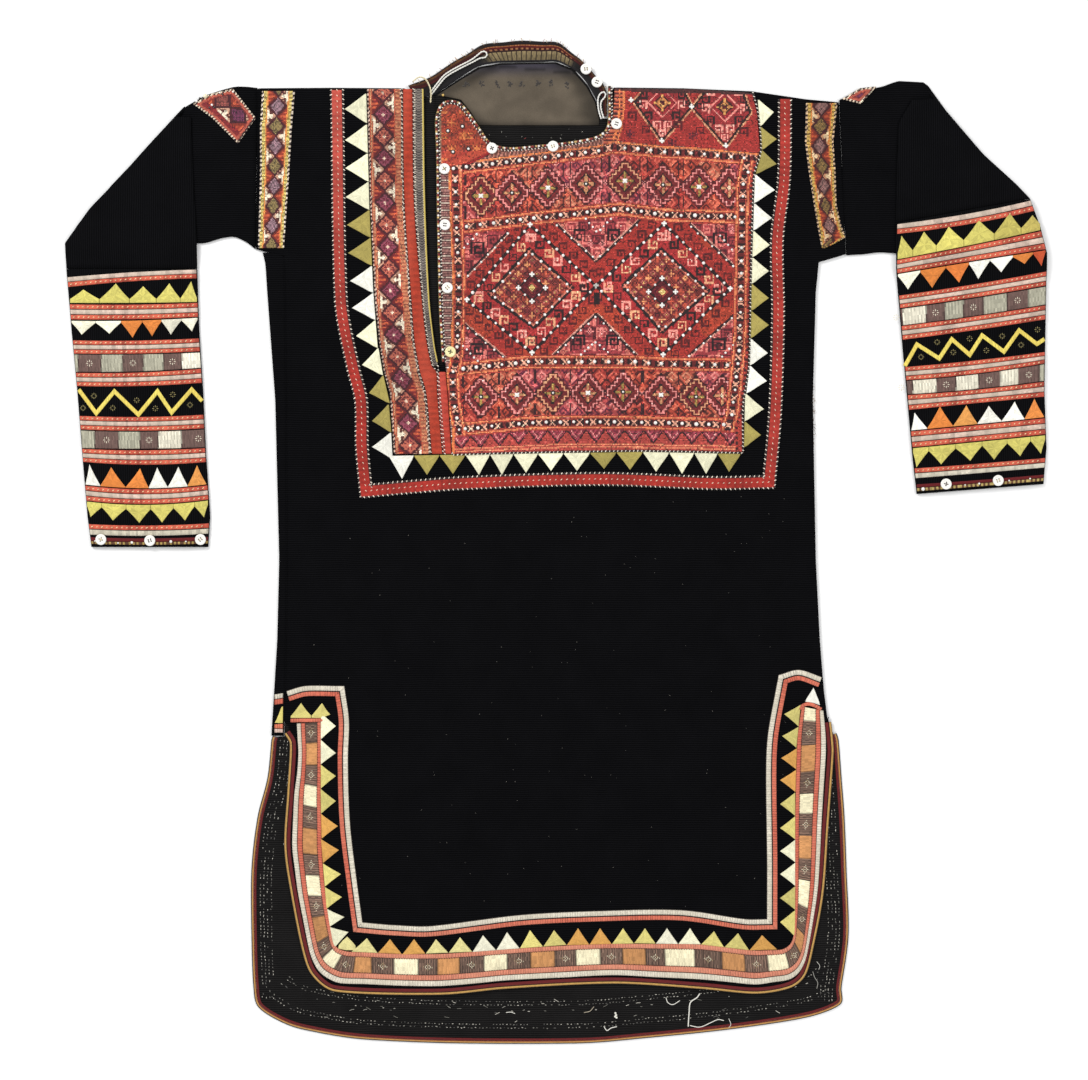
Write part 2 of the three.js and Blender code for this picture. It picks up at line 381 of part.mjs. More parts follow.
// ---------------------------------------------------------------- body
const neckCut = [...path(SLIT_LEFT), ...offset(path(NECK_EDGE), -3.4), at(610, 60), at(425, 60)];
const collarOutline = [...path(COLLAR_OUTER), ...path(COLLAR_INNER)];
const backOutline = [
  ...path(SHOULDER_LEFT), at(420, 86), at(452, 69), at(483, 52), at(522, 50), at(556, 51), at(580, 66), at(600, 92), at(605, 110), at(608.5, 118), at(608.5, 87.5),
  ...path(SHOULDER_RIGHT), ...path(ARMHOLE_RIGHT).slice(1), ...BODY_SIDES.map((r) => at(r.right, r.y)),
  ...BACK_LOWER.map((r) => at(r.right, r.y)), ...path(BACK_HEM).reverse(), ...BACK_LOWER.slice().reverse().map((r) => at(r.left, r.y)),
  at(284.4, 737), ...BODY_SIDES.slice().reverse().map((r) => at(r.seam + 0.2, r.y)), at(284, 256), ...path(ARMHOLE_LEFT).slice(1).reverse(),
];
const inFromBackEdge = [at(838.5, 737), ...BACK_LOWER.map((r) => at(r.right, r.y)), ...path(BACK_HEM).reverse(), ...BACK_LOWER.slice().reverse().map((r) => at(r.left, r.y))];
const backPipingCut = band(inFromBackEdge, 6, -3.3);
add("back_panel", prism(backOutline, 0, CLOTH).subtract(prism(offset(collarOutline, 0.45, true), -1, 5)).subtract(prism(backPipingCut, -1, 5)), "black");
add("back_hem_piping", prism(band(inFromBackEdge.slice(1), 0, -3), 0, PIPING), "gold");

const frontEdge = path(FRONT_HEM);
const frontOutline = [
  ...path(SHOULDER_LEFT), at(424, 88), at(424, 80), at(611, 80), at(611, 87), ...path(SHOULDER_RIGHT), ...path(ARMHOLE_RIGHT).slice(1), ...BODY_SIDES.map((r) => at(r.right, r.y)),
  ...frontEdge.slice().reverse(), ...BODY_SIDES.slice().reverse().map((r) => at(r.seam + 0.2, r.y)), at(284, 256), ...path(ARMHOLE_LEFT).slice(1).reverse(),
];
const frontPipingCut = band(frontEdge, -3, 3.3);
const neckSolid = prism(neckCut, -1, 20), collarClear = prism(offset(collarOutline, 0.45, true), -1, 20);
add("front_panel", onFront(frontOutline, 0, CLOTH).subtract(neckSolid).subtract(collarClear).subtract(prism(frontPipingCut, -1, 20)), "black");
add("front_hem_piping", onFront(band(frontEdge.slice(1, -1), 0, 3), 0, PIPING), "gold");

// The side gore: one cloth folded round the body's edge, its two leaves running in to the seams.
{
  const rows = [{ y: 257, fold: 266, seam: 284 }, ...BODY_SIDES.slice(1), { y: 733, fold: 271.5, seam: 284 }], points = [], faces = [];
  const profile = (f, s) => [[s - 0.3, 0], [s - 0.3, CLOTH], [f + 1.6, CLOTH], [f + 1.6, CLOTH + GAP], [s - 0.3, CLOTH + GAP], [s - 0.3, FLAT], [f + 1.4, FLAT], [f + 0.3, FLAT - 0.6], [f, FLAT / 2], [f + 0.3, 0.6], [f + 1.4, 0]];
  const n = 11;
  rows.forEach((r) => profile(r.fold, r.seam).forEach(([x, z]) => { const p = at(x, r.y); points.push([p.x, p.y, z]); }));
  for (let k = 0; k + 1 < rows.length; k++) for (let i = 0; i < n; i++) { const j = (i + 1) % n, a = k * n, b = a + n; faces.push([a + i, b + j, a + j], [a + i, b + i, b + j]); }
  const capFaces = THREE.ShapeUtils.triangulateShape(profile(0, 20).map(([x, z]) => new THREE.Vector2(x, z)), []);
  for (const [a, b, c] of capFaces) { faces.push([a, b, c]); const o = (rows.length - 1) * n; faces.push([o + a, o + c, o + b]); }
  let s = solidOf(bufferOf(points, faces));
  if (s.volume() < 0) s = solidOf(bufferOf(points, faces.map(([a, b, c]) => [a, c, b])));
  add("side_gore_left", s, "black");
}

// ---------------------------------------------------------------- sleeves
const onFold = FLAT + 0.001;
const dropTo = (y0, y1) => (s) => { const y = s.y ?? (s.ay + s.by) / 2; return onFold * (1 - smooth((y - y0) / (y1 - y0))); };
// The crease joins both tubes. Keeping the outer shell makes solid what the crease seals off inside them.
function sleeve(upper, lower, lowest, crease, side) {
  const roll = prism(band(path(crease), side * 0.2, side * 2.6), 0.3, 2 * FLAT - 0.25);
  return tube(upper, () => 0).add(tube(lower, lowest)).add(roll).decompose().sort((a, b) => b.volume() - a.volume())[0];
}
add("sleeve_left", sleeve(SLEEVE_LEFT_UPPER, SLEEVE_LEFT_LOWER, (s) => (s.y < 250 ? onFold : 0.9), CREASE_LEFT, 1), "black");
add("cuff_left", tube(CUFF_LEFT, (s) => (s.y < 280 ? 0.9 : 0)), "stripe");
add("sleeve_right", sleeve(SLEEVE_RIGHT_UPPER, SLEEVE_RIGHT_LOWER, () => onFold, CREASE_RIGHT, -1), "black");
add("cuff_right", tube(CUFF_RIGHT, (s) => (s.ay < 270 ? onFold + 0.3 : 0)), "stripe");

// ---------------------------------------------------------------- collar and neck
add("collar_stand", prism(collarOutline, 0, FLAT), "collar");
add("neck_lining", prism(path(LINING), CLOTH + GAP, CLOTH + GAP + 0.9), "lining");
add("neckline_binding", sheet(0, CLOTH + GAP + BIB).intersect(prism(band(path(NECK_EDGE).slice(0, -1), 0, -3), -1, 20)).subtract(collarClear), "gold");

// ---------------------------------------------------------------- pieces sewn on the front
const ON = CLOTH + GAP;
const bibOutline = [
  ...offset(path(NECK_EDGE).slice(0, -1), -3.4).reverse().map((p) => p), ...PLACKET_FOOT.map((r) => at(r.bib + 0.3, r.y)),
  ...path(BIB_EDGE).reverse(), at(700, 91), at(640, 90.5), at(614.5, 90),
];
add("bib_panel", onFront(bibOutline, ON, ON + BIB), "red");
add("strip_panel", onFront([...PLACKET_ROWS.map((r) => at(r.strip, r.y)), ...PLACKET_FOOT.map((r) => at(r.strip, r.y)), ...PLACKET_FOOT.slice().reverse().map((r) => at(r.plain - 0.4, r.y)), ...PLACKET_ROWS.slice().reverse().map((r) => at(r.plain - 0.4, r.y))], ON, ON + STRIP), "patch");
add("plain_red_strip", onFront([...PLACKET_ROWS.map((r) => at(r.plain, r.y)), ...PLACKET_FOOT.map((r) => at(r.plain, r.y)), ...PLACKET_FOOT.slice(1).reverse().map((r) => at(r.lower - 0.4, r.y)), ...PLACKET_ROWS.slice().reverse().map((r) => at(r.braid - 0.4, r.y))], ON, ON + STRIP), "coral");
add("plain_red_strip_lower", onFront(rowsBand(PLACKET_FOOT, "lower", "bib"), ON, ON + STRIP), "coral");
add("placket_braid", onFront(rowsBand(PLACKET_ROWS, "braid", "end"), ON, ON + STRIP + 0.6), "braid");
add("bib_border", onFront(band(path(BORDER), -BORDER_W / 2, BORDER_W / 2), ON, ON + STRIP), "border");
add("dogtooth_left", onFront(teeth(TEETH_LEFT, BASE_LEFT, 1.6), ON, ON + 0.8), "cream");
add("dogtooth_bottom", onFront(teeth(TEETH_BOTTOM, BASE_BOTTOM, 1.6), ON, ON + 0.8), "cream");
add("dogtooth_right", onFront(teeth(TEETH_RIGHT, BASE_RIGHT, 1.6), ON, ON + 0.8), "cream");
add("shoulder_strip_left", onFront(rowsBand(SHOULDER_STRIP_LEFT, "left", "right"), ON, ON + STRIP), "patch");
add("shoulder_strip_right", onFront(rowsBand(SHOULDER_STRIP_RIGHT, "left", "right"), ON, ON + STRIP), "patch");

// A patch on a sleeve is cut from the sleeve's top wall moved out.
function onSleeve(stations, outline) {
  const points = [], faces = [];
  let n = 0;
  for (const s of stations) {
    const a = at(s.ax, s.ay), b = at(s.bx, s.by), width = a.distanceTo(b), dir = b.clone().sub(a).normalize();
    const top = tubeProfile(width, s.rise).outer.filter(([, z]) => z >= FLAT).reverse();
    n = 2 * top.length;
    for (const [d, z] of [...top.map(([d, z]) => [d, z + GAP]), ...top.slice().reverse().map(([d, z]) => [d, z + GAP + STRIP])]) points.push([a.x + dir.x * d, a.y + dir.y * d, z]);
  }
  for (let k = 0; k + 1 < stations.length; k++)
    for (let i = 0; i < n; i++) { const j = (i + 1) % n, o = n * k, q = o + n; faces.push([o + i, o + j, q + j], [o + i, q + j, q + i]); }
  for (let i = 0; i < n / 2 - 1; i++) {
    faces.push([i, n - 1 - i, i + 1], [i + 1, n - 1 - i, n - 2 - i]);
    const o = n * (stations.length - 1);
    faces.push([o + i, o + i + 1, o + n - 1 - i], [o + i + 1, o + n - 2 - i, o + n - 1 - i]);
  }
  let s = solidOf(bufferOf(points, faces));
  if (s.volume() < 0) s = solidOf(bufferOf(points, faces.map(([a, b, c]) => [a, c, b])));
  return s.intersect(prism(outline, -1, 20));
}
add("sleeve_patch_left", onSleeve(SLEEVE_LEFT_UPPER.slice(0, 4), path(PATCH_LEFT)), "patch");
add("sleeve_patch_right", onSleeve(SLEEVE_RIGHT_UPPER.slice(0, 4), path(PATCH_RIGHT)), "patch");

// ---------------------------------------------------------------- hem bands
add("hem_strip", onFront(band(path(HEM_STRIP), -HEM_STRIP_W / 2, HEM_STRIP_W / 2), ON, ON + STRIP), "coral");
add("hem_dogtooth", onFront(teeth(HEM_TEETH, HEM_BASE, 1.4), ON, ON + 0.8), "cream");
add("hem_block_band", onFront(band(frontEdge.slice(1, -1), 4, BLOCK_W), ON, ON + STRIP).subtract(prism([...path(HEM_BASE), at(830, 690), at(780, 640), at(280, 640), at(280, 717)], -1, 20)).subtract(prism(band(path(HEM_BASE), -BLOCK_INSET, BLOCK_INSET), -1, 20)).decompose().sort((a, b) => b.volume() - a.volume())[0], "brown");

// ---------------------------------------------------------------- buttons and loops
function button(x, y, z) {
  const profile = [[0, 0], [4.9, 0], [BUTTON_R, 0.7], [5.2, 1.7], [4.5, BUTTON_T], [3.4, BUTTON_T - 0.5], [0, BUTTON_T - 0.5]].map(([r, h]) => new THREE.Vector2(r, h));
  const g = new THREE.LatheGeometry(profile, 14);
  g.rotateX(Math.PI / 2);
  let s = solidOf(g);
  for (const [dx, dy] of [[1.1, 1.1], [-1.1, 1.1], [1.1, -1.1], [-1.1, -1.1]]) {
    const hole = new THREE.CylinderGeometry(0.62, 0.62, 6, 6);
    hole.rotateX(Math.PI / 2);
    hole.translate(dx, dy, 0);
    s = s.subtract(solidOf(hole));
  }
  return s.rotate([0, 0, (x * 7 + y * 3) % 90]).translate([at(x, y).x, at(x, y).y, z]);
}
const highest = (x, y) => Math.max(...[0, 1, 2, 3, 4, 5, 6, 7].map((k) => under(x + BUTTON_R * Math.cos((k * Math.PI) / 4), y + BUTTON_R * Math.sin((k * Math.PI) / 4))));
BUTTONS.forEach((b, i) => {
  const z = b.on === "bib" ? highest(b.x, b.y) + ON + BIB + GAP : b.on === "collar" ? FLAT + GAP : FLAT + b.rise + GAP;
  add("button_" + String(i + 1).padStart(2, "0"), button(b.x, b.y, z), "pearl");
});
class Route extends THREE.CatmullRomCurve3 {}
function cord(rows, z) {
  const curve = new Route(rows.map((r) => { const p = at(r.x, r.y); return new THREE.Vector3(p.x, p.y, z); }), false, "centripetal");
  const shape = new THREE.Shape([...Array(8)].map((_, k) => new THREE.Vector2((CORD_D / 2) * Math.cos((k * Math.PI) / 4), (CORD_D / 2) * Math.sin((k * Math.PI) / 4))));
  return solidOf(new THREE.ExtrudeGeometry(shape, { steps: Math.min(60, Math.round(curve.getLength() / 4)), bevelEnabled: false, extrudePath: curve }));
}
const ON_COLLAR = FLAT + GAP + CORD_D / 2;
add("loop_cord_left", cord(LOOP_LEFT, ON_COLLAR), "cord");
add("loop_cord_cream", cord(LOOP_CREAM, ON_COLLAR + CORD_D + GAP), "cordCream");
add("loop_cord_right", cord(LOOP_RIGHT, ON_COLLAR), "cord");

export default group;
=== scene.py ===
# The embroidered tunic laid flat: cloth shells on the CAD panels, charted embroidery, applied strips, beads, buttons and cords.
import bpy, bmesh, json, math
import numpy as np
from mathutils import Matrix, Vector
from mathutils.geometry import delaunay_2d_cdt

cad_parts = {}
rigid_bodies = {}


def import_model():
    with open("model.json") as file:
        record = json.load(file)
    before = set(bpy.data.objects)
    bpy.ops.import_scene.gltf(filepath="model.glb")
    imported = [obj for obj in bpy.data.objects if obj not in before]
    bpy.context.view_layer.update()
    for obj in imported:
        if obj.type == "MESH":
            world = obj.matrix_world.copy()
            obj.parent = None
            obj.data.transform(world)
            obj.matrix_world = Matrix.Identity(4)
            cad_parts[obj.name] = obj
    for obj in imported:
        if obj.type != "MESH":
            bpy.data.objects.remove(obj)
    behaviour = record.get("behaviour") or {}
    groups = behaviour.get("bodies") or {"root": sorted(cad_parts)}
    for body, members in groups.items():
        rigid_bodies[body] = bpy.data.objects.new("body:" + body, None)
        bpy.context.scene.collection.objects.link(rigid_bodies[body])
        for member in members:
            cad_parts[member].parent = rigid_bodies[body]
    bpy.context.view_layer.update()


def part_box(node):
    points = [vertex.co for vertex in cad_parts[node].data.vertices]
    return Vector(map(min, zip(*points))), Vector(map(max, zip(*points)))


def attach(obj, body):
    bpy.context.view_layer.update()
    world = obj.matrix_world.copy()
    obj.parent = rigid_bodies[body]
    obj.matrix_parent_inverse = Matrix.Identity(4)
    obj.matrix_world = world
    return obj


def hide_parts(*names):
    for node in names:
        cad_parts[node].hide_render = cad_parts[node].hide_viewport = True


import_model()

RNG = np.random.RandomState(7)
MM = 0.001
BX, BY = 556.0, 542.0
CLOTH, GAP, STRIP, BIB = 1.3, 0.3, 1.0, 1.4
FLAT = 2 * CLOTH + GAP
ON = CLOTH + GAP            # an applied piece's underside above the front's underside


def A(rows):
    """Board rows (x, y down) as part millimetres (x, y up)."""
    a = np.array(rows, float)
    return np.column_stack([a[:, 0] - BX, BY - a[:, 1]])


def lin(c):
    c = np.asarray(c, float) / 255.0
    return np.where(c <= 0.04045, c / 12.92, ((c + 0.055) / 1.055) ** 2.4)


# ------------------------------------------------------------------ tables (board millimetres)
BODY_SIDES = [(262, 262, 284, 819), (292, 267, 285, 816), (400, 275, 286, 813), (560, 279, 287, 816), (640, 277, 286, 820), (690, 274, 285, 824), (722, 272, 284, 828)]
BACK_LOWER = [(740, 271, 839), (778, 267, 842), (818, 257, 845), (870, 251, 847), (936, 251, 849), (988, 253, 842)]
BACK_HEM = [(258, 1008), (286, 1025), (316, 1033), (362, 1040), (454, 1044), (582, 1044), (644, 1039), (731, 1030), (808, 1018), (841, 1005)]
FRONT_HEM = [(286, 730), (292, 754), (287, 792), (284, 846), (290, 891), (302, 951), (312, 976), (335, 992), (439, 995), (506, 989), (613, 984),
             (700, 989), (756, 994), (791, 988), (806, 975), (815, 942), (824, 892), (829, 823), (834, 753), (833, 730)]
COLLAR_OUTER = [(408, 85), (430, 77), (452, 62), (483, 44), (522, 40), (558, 42), (583, 61), (603, 83), (607, 94), (607, 116)]
COLLAR_INNER = [(601, 116), (597, 101), (588, 84), (574, 68), (556, 61), (500, 62), (478, 66), (460, 77), (444, 88), (428, 96), (412, 92)]
SLIT_LEFT = [(425, 88), (426, 200), (430, 300), (438, 362), (440, 368)]
NECK_EDGE = [(442, 362), (439, 310), (437, 225), (436, 150), (435, 120), (439, 106), (447, 100), (460, 102), (470, 113), (481, 129), (491, 142),
             (508, 147), (536, 145), (572, 141), (596, 136), (606, 128), (610, 112), (610, 86)]
LINING = [(437, 95), (462, 79), (480, 68.5), (501, 64.5), (555, 63.5), (572, 70.5), (586, 86), (595, 102), (599, 117), (599, 125), (479, 125), (471, 112), (461, 99.5), (447, 96.5)]
PLACKET = [(89, 367, 402.5, 413, 423.5), (200, 370, 404, 414.5, 424.5), (300, 375, 411, 422.5, 429), (340, 379, 414, 427, 434), (366, 383, 418.5, 432.5, 438)]
FOOT = [(372, 384, 419.5, 437, 446), (394, 390, 426, 438, 448), (454, 394, 431.5, 443, 452)]
BIB_EDGE = [(752, 93), (757, 113), (760, 150), (753, 176), (750, 269), (748, 364), (742, 406), (742, 452), (640, 450), (515, 452), (453, 454)]
BORDER = [(337, 90), (341, 300), (353, 367), (361, 400), (362, 447), (366, 491), (410, 487), (464, 483), (600, 479), (712, 483), (769, 482), (775, 413), (778, 315), (777, 240), (784, 178), (785, 99)]
RISES = [(610, 300, 150, 130, 0, 1.0), (330, 330, 34, 130, -8, 0.9), (500, 600, 120, 150, 12, 1.7), (730, 640, 55, 150, -10, 1.4), (400, 800, 70, 110, -14, 1.2),
         (640, 830, 110, 80, 8, 1.5), (470, 970, 70, 34, 0, 1.0), (700, 960, 60, 40, 0, 0.9)]
# Fine creases of the laid cloth, each (x, y, length, width, turn, height).
CREASES = [(300, 420, 90, 5, 84, 0.5), (318, 560, 120, 6, 96, 0.45), (420, 640, 110, 7, 60, 0.4), (560, 560, 140, 8, 8, 0.35), (700, 560, 120, 6, 74, 0.5),
           (770, 620, 130, 6, 98, 0.55), (600, 700, 150, 9, -12, 0.4), (480, 780, 120, 8, 24, 0.45), (680, 820, 110, 8, 70, 0.45), (380, 870, 80, 6, 80, 0.4),
           (790, 340, 90, 5, 88, 0.5), (300, 300, 60, 5, 70, 0.55), (520, 880, 130, 9, 4, 0.4), (740, 740, 90, 6, 50, 0.45), (340, 700, 90, 7, 110, 0.4)]


def table(rows, y, k):
    r = np.array(rows, float)
    return np.interp(y, r[:, 0], r[:, k])


def sstep(t):
    t = np.clip(t, 0, 1)
    return t * t * (3 - 2 * t)


def hills(bx, by):
    h = np.zeros(np.shape(bx))
    for x, y, w, t, turn, up in RISES:
        a = math.radians(turn)
        dx, dy = bx - x, by - y
        u, v = (dx * math.cos(a) + dy * math.sin(a)) / w, (dy * math.cos(a) - dx * math.sin(a)) / t
        h = h + up * np.exp(-0.5 * (u * u + v * v))
    return np.minimum(3.2, h)


WAVES = [(0.021, 0.055, 0.16, 1.0), (0.062, -0.018, 0.12, 2.1), (-0.045, 0.078, 0.10, 0.4), (0.11, 0.034, 0.07, 4.0), (0.09, -0.12, 0.05, 5.2), (0.19, 0.05, 0.035, 0.9), (-0.07, 0.21, 0.03, 3.3)]


def ripple(bx, by):
    h = np.zeros(np.shape(bx))
    for kx, ky, a, p in WAVES:
        h = h + a * np.sin(kx * bx + ky * by + p)
    for x, y, ln, w, turn, up in CREASES:
        a = math.radians(turn)
        dx, dy = bx - x, by - y
        u, v = (dx * math.cos(a) + dy * math.sin(a)) / ln, (dy * math.cos(a) - dx * math.sin(a)) / w
        h = h + up * np.exp(-u * u * 2 - v * v)
    return h


def rise(X, Y):
    """Height of the front's underside, in mm, at part millimetres."""
    bx, by = X + BX, BY - Y
    side = sstep((bx - table(BODY_SIDES, by, 2) - 2) / 50) * sstep((table(BODY_SIDES, by, 3) - 2 - bx) / 50)
    return CLOTH + GAP + np.maximum(0, (hills(bx, by) + ripple(bx, by))) * side * sstep((by - 130) / 90)


# ------------------------------------------------------------------ geometry helpers
def curve(pts, step=3.0, closed=False, tight=0.5):
    """A Catmull-Rom line through the points, resampled evenly."""
    p = np.asarray(pts, float)
    if closed:
        p = np.vstack([p[-1], p, p[0], p[1]])
    else:
        p = np.vstack([2 * p[0] - p[1], p, 2 * p[-1] - p[-2]])
    out = []
    for i in range(1, len(p) - 2):
        a, b, c, d = p[i - 1], p[i], p[i + 1], p[i + 2]
        n = max(2, int(np.linalg.norm(c - b) / 0.8))
        t = (np.arange(n) / n)[:, None]
        m1, m2 = (c - a) * tight, (d - b) * tight
        # short tangents keep corners tidy where the spacing is uneven
        L = np.linalg.norm(c - b)
        for m in (m1, m2):
            k = np.linalg.norm(m)
            if k > L:
                m *= L / k
        out.append((2 * t**3 - 3 * t**2 + 1) * b + (t**3 - 2 * t**2 + t) * m1 + (3 * t**2 - 2 * t**3) * c + (t**3 - t**2) * m2)
    out = np.vstack(out + ([] if closed else [p[-2][None]]))
    return even(out, step, closed)


def soft(pts, corners=(), step=2.5):
    """A smooth line that stays sharp at the listed points."""
    p = np.asarray(pts, float)
    cut_ = [0] + sorted(corners) + [len(p) - 1]
    out = []
    for a, b in zip(cut_[:-1], cut_[1:]):
        q = curve(p[a:b + 1], step) if b - a > 1 else np.vstack([p[a:b + 1]])
        out.append(q if not out else q[1:])
    return np.vstack(out)


def even(p, step, closed=False):
    q = np.vstack([p, p[:1]]) if closed else p
    d = np.concatenate([[0], np.cumsum(np.linalg.norm(np.diff(q, axis=0), axis=1))])
    n = max(2, int(round(d[-1] / step)))
    s = np.linspace(0, d[-1], n + 1)
    if closed:
        s = s[:-1]
    return np.column_stack([np.interp(s, d, q[:, k]) for k in range(q.shape[1])])


def poly(pts, step=3.0):
    """Straight stretches between corners, resampled, the corners kept."""
    out = []
    for a, b in zip(pts[:-1], pts[1:]):
        n = max(1, int(round(np.linalg.norm(b - a) / step)))
        out.append(a + (b - a) * (np.arange(n) / n)[:, None])
    return np.vstack(out + [pts[-1:]])


def offset(p, d, closed=False):
    p = np.asarray(p, float)
    if closed:
        before, after = np.roll(p, 1, 0), np.roll(p, -1, 0)
    else:
        before, after = np.vstack([p[:1], p[:-1]]), np.vstack([p[1:], p[-1:]])
    d1, d2 = p - before, after - p
    z = np.linalg.norm(d1, axis=1) < 1e-9
    d1[z] = d2[z]
    z = np.linalg.norm(d2, axis=1) < 1e-9
    d2[z] = d1[z]
    d1 /= np.linalg.norm(d1, axis=1)[:, None] + 1e-12
    d2 /= np.linalg.norm(d2, axis=1)[:, None] + 1e-12
    m = np.column_stack([-(d1[:, 1] + d2[:, 1]), d1[:, 0] + d2[:, 0]])
    m /= np.linalg.norm(m, axis=1)[:, None] + 1e-12
    cos = np.maximum(0.55, -m[:, 0] * d2[:, 1] + m[:, 1] * d2[:, 0])
    return p + m * (d / cos)[:, None]


def band(p, d0, d1):
    return np.vstack([offset(p, d0), offset(p, d1)[::-1]])


def inside(q, loop):
    x, y = q[:, 0], q[:, 1]
    r = np.zeros(len(q), bool)
    a, b = loop, np.roll(loop, -1, 0)
    for (x1, y1), (x2, y2) in zip(a, b):
        if y1 == y2:
            continue
        c = (y1 > y) != (y2 > y)
        r ^= c & (x < (x2 - x1) * (y - y1) / (y2 - y1) + x1)
    return r


def ccw(loop):
    a, b = loop, np.roll(loop, -1, 0)
    return loop if (a[:, 0] * b[:, 1] - b[:, 0] * a[:, 1]).sum() > 0 else loop[::-1].copy()


def near(q, loop, d):
    keep = np.ones(len(q), bool)
    for i in range(0, len(q), 4000):
        c = q[i:i + 4000]
        keep[i:i + 4000] = (((c[:, None] - loop[None]) ** 2).sum(2).min(1)) > d * d
    return keep


def fill(loop, step):
    """Triangles inside a loop, with a grid of points of its own."""
    lo, hi = loop.min(0), loop.max(0)
    gx, gy = np.meshgrid(np.arange(lo[0] + step * 0.5, hi[0], step), np.arange(lo[1] + step * 0.5, hi[1], step * 0.9))
    gx[1::2] += step * 0.5
    g = np.column_stack([gx.ravel(), gy.ravel()])
    g = g[inside(g, loop)]
    if len(g):
        g = g[near(g, loop, step * 0.55)]
    n = len(loop)
    v = [Vector(p) for p in np.vstack([loop, g])]
    r = delaunay_2d_cdt(v, [(i, (i + 1) % n) for i in range(n)], [list(range(n))], 1, 1e-6)
    pts = np.array([(p.x, p.y) for p in r[0]])
    tris = np.array([f for f in r[2] if len(f) == 3], int)
    a, b, c = pts[tris[:, 0]], pts[tris[:, 1]], pts[tris[:, 2]]
    area = (b[:, 0] - a[:, 0]) * (c[:, 1] - a[:, 1]) - (b[:, 1] - a[:, 1]) * (c[:, 0] - a[:, 0])
    tris[area < 0] = tris[area < 0][:, ::-1]
    tris = tris[np.abs(area) > 1e-7]
    cen = pts[tris].mean(1)
    tris = tris[inside(cen, loop)]
    return pts, tris


MATS = {}


def dyed(c):
    """Wool dyed red is deeper than its charted colour."""
    c = np.array(c, float)
    w = np.clip((c[..., 0] - 2.1 * np.maximum(c[..., 1], c[..., 2])) / 60, 0, 1)
    for k, a in enumerate((0.19, 0.12, 0.10)):
        c[..., k] = c[..., k] * (1 - a * w)
    return c


def make(name, verts, faces, mat, cols=None, smooth=True, recalc=False, uv=None):
    """A mesh object from millimetre points, faces of 3 or 4, and a colour for each face or each vertex (sRGB 0-255)."""
    verts = np.asarray(verts, float) * MM
    if isinstance(faces, np.ndarray):
        n = faces.shape[1]
        sizes = np.full(len(faces), n)
        loops = faces.ravel()
    else:
        sizes = np.array([len(f) for f in faces])
        loops = np.array([i for f in faces for i in f])
    me = bpy.data.meshes.new(name)
    me.vertices.add(len(verts))
    me.vertices.foreach_set("co", verts.ravel())
    me.loops.add(len(loops))
    me.loops.foreach_set("vertex_index", loops.astype(np.int32))
    me.polygons.add(len(sizes))
    starts = np.concatenate([[0], np.cumsum(sizes)[:-1]])
    me.polygons.foreach_set("loop_start", starts.astype(np.int32))
    me.polygons.foreach_set("loop_total", sizes.astype(np.int32))
    me.polygons.foreach_set("use_smooth", np.full(len(sizes), smooth))
    me.update(calc_edges=True)
    if cols is not None:
        cols = lin(dyed(cols))
        at = me.color_attributes.new("Col", "FLOAT_COLOR", "CORNER")
        if len(cols) == len(sizes):
            c = np.repeat(cols, sizes, axis=0)
        elif len(cols) == len(verts):
            c = cols[loops]
        else:
            c = np.tile(cols[:1], (len(loops), 1))
        at.data.foreach_set("color", np.column_stack([c, np.ones(len(c))]).ravel())
    if recalc:
        bm = bmesh.new()
        bm.from_mesh(me)
        bmesh.ops.recalc_face_normals(bm, faces=bm.faces)
        bm.to_mesh(me)
        bm.free()
    me.validate()
    ob = bpy.data.objects.new(name, me)
    bpy.context.scene.collection.objects.link(ob)
    me.materials.append(mat)
    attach(ob, "root")
    return ob


def shell(name, loop, step, under, t, mat, col, rim=0.5, colf=None, top_extra=None):
    """A closed cloth piece over a height function: rounded rim, flat or undulating faces."""
    loop = ccw(np.asarray(loop, float))
    r = min(rim, t * 0.45)
    inner = offset(loop, r, True)      # to the left of a ccw loop is inside
    pts, tris = fill(inner, step)
    n = len(loop)
    # fill keeps the first n points as the loop unless some merged
    z0 = under(pts[:, 0], pts[:, 1])
    zt = z0 + t + (top_extra(pts[:, 0], pts[:, 1]) if top_extra is not None else 0)
    m = len(pts)
    V = [np.column_stack([pts, zt]), np.column_stack([pts, z0])]
    F = [tris, tris[:, ::-1] + m]
    # boundary of the filled area, from its own edges
    e = np.vstack([tris[:, [0, 1]], tris[:, [1, 2]], tris[:, [2, 0]]])
    key = {(int(a), int(b)) for a, b in e}
    edge = [(a, b) for a, b in key if (b, a) not in key]
    bv = sorted({a for a, _ in edge} | {b for _, b in edge})
    idx = {v: i for i, v in enumerate(bv)}
    bp = pts[bv]
    nxt = dict(edge)
    prv = {b: a for a, b in edge}
    dirs = np.array([pts[nxt.get(v, v)] - pts[prv.get(v, v)] for v in bv])
    dirs /= np.linalg.norm(dirs, axis=1)[:, None] + 1e-12
    out = bp + np.column_stack([dirs[:, 1], -dirs[:, 0]]) * r
    zo = under(bp[:, 0], bp[:, 1])
    k = len(bv)
    V += [np.column_stack([out, zo + t * 0.66]), np.column_stack([out, zo + t * 0.34])]
    quads = []
    for a, b in edge:
        i, j = idx[a], idx[b]
        quads += [(a, 2 * m + i, 2 * m + j, b), (2 * m + i, 2 * m + k + i, 2 * m + k + j, 2 * m + j), (2 * m + k + i, m + a, m + b, 2 * m + k + j)]
    verts = np.vstack(V)
    faces = [tuple(f) for f in np.vstack(F)] + quads
    cols = np.tile(np.array([col], float), (len(verts), 1)) if colf is None else colf(verts[:, 0] + BX, BY - verts[:, 1], verts[:, 2])
    return make(name, verts, faces, mat, cols)


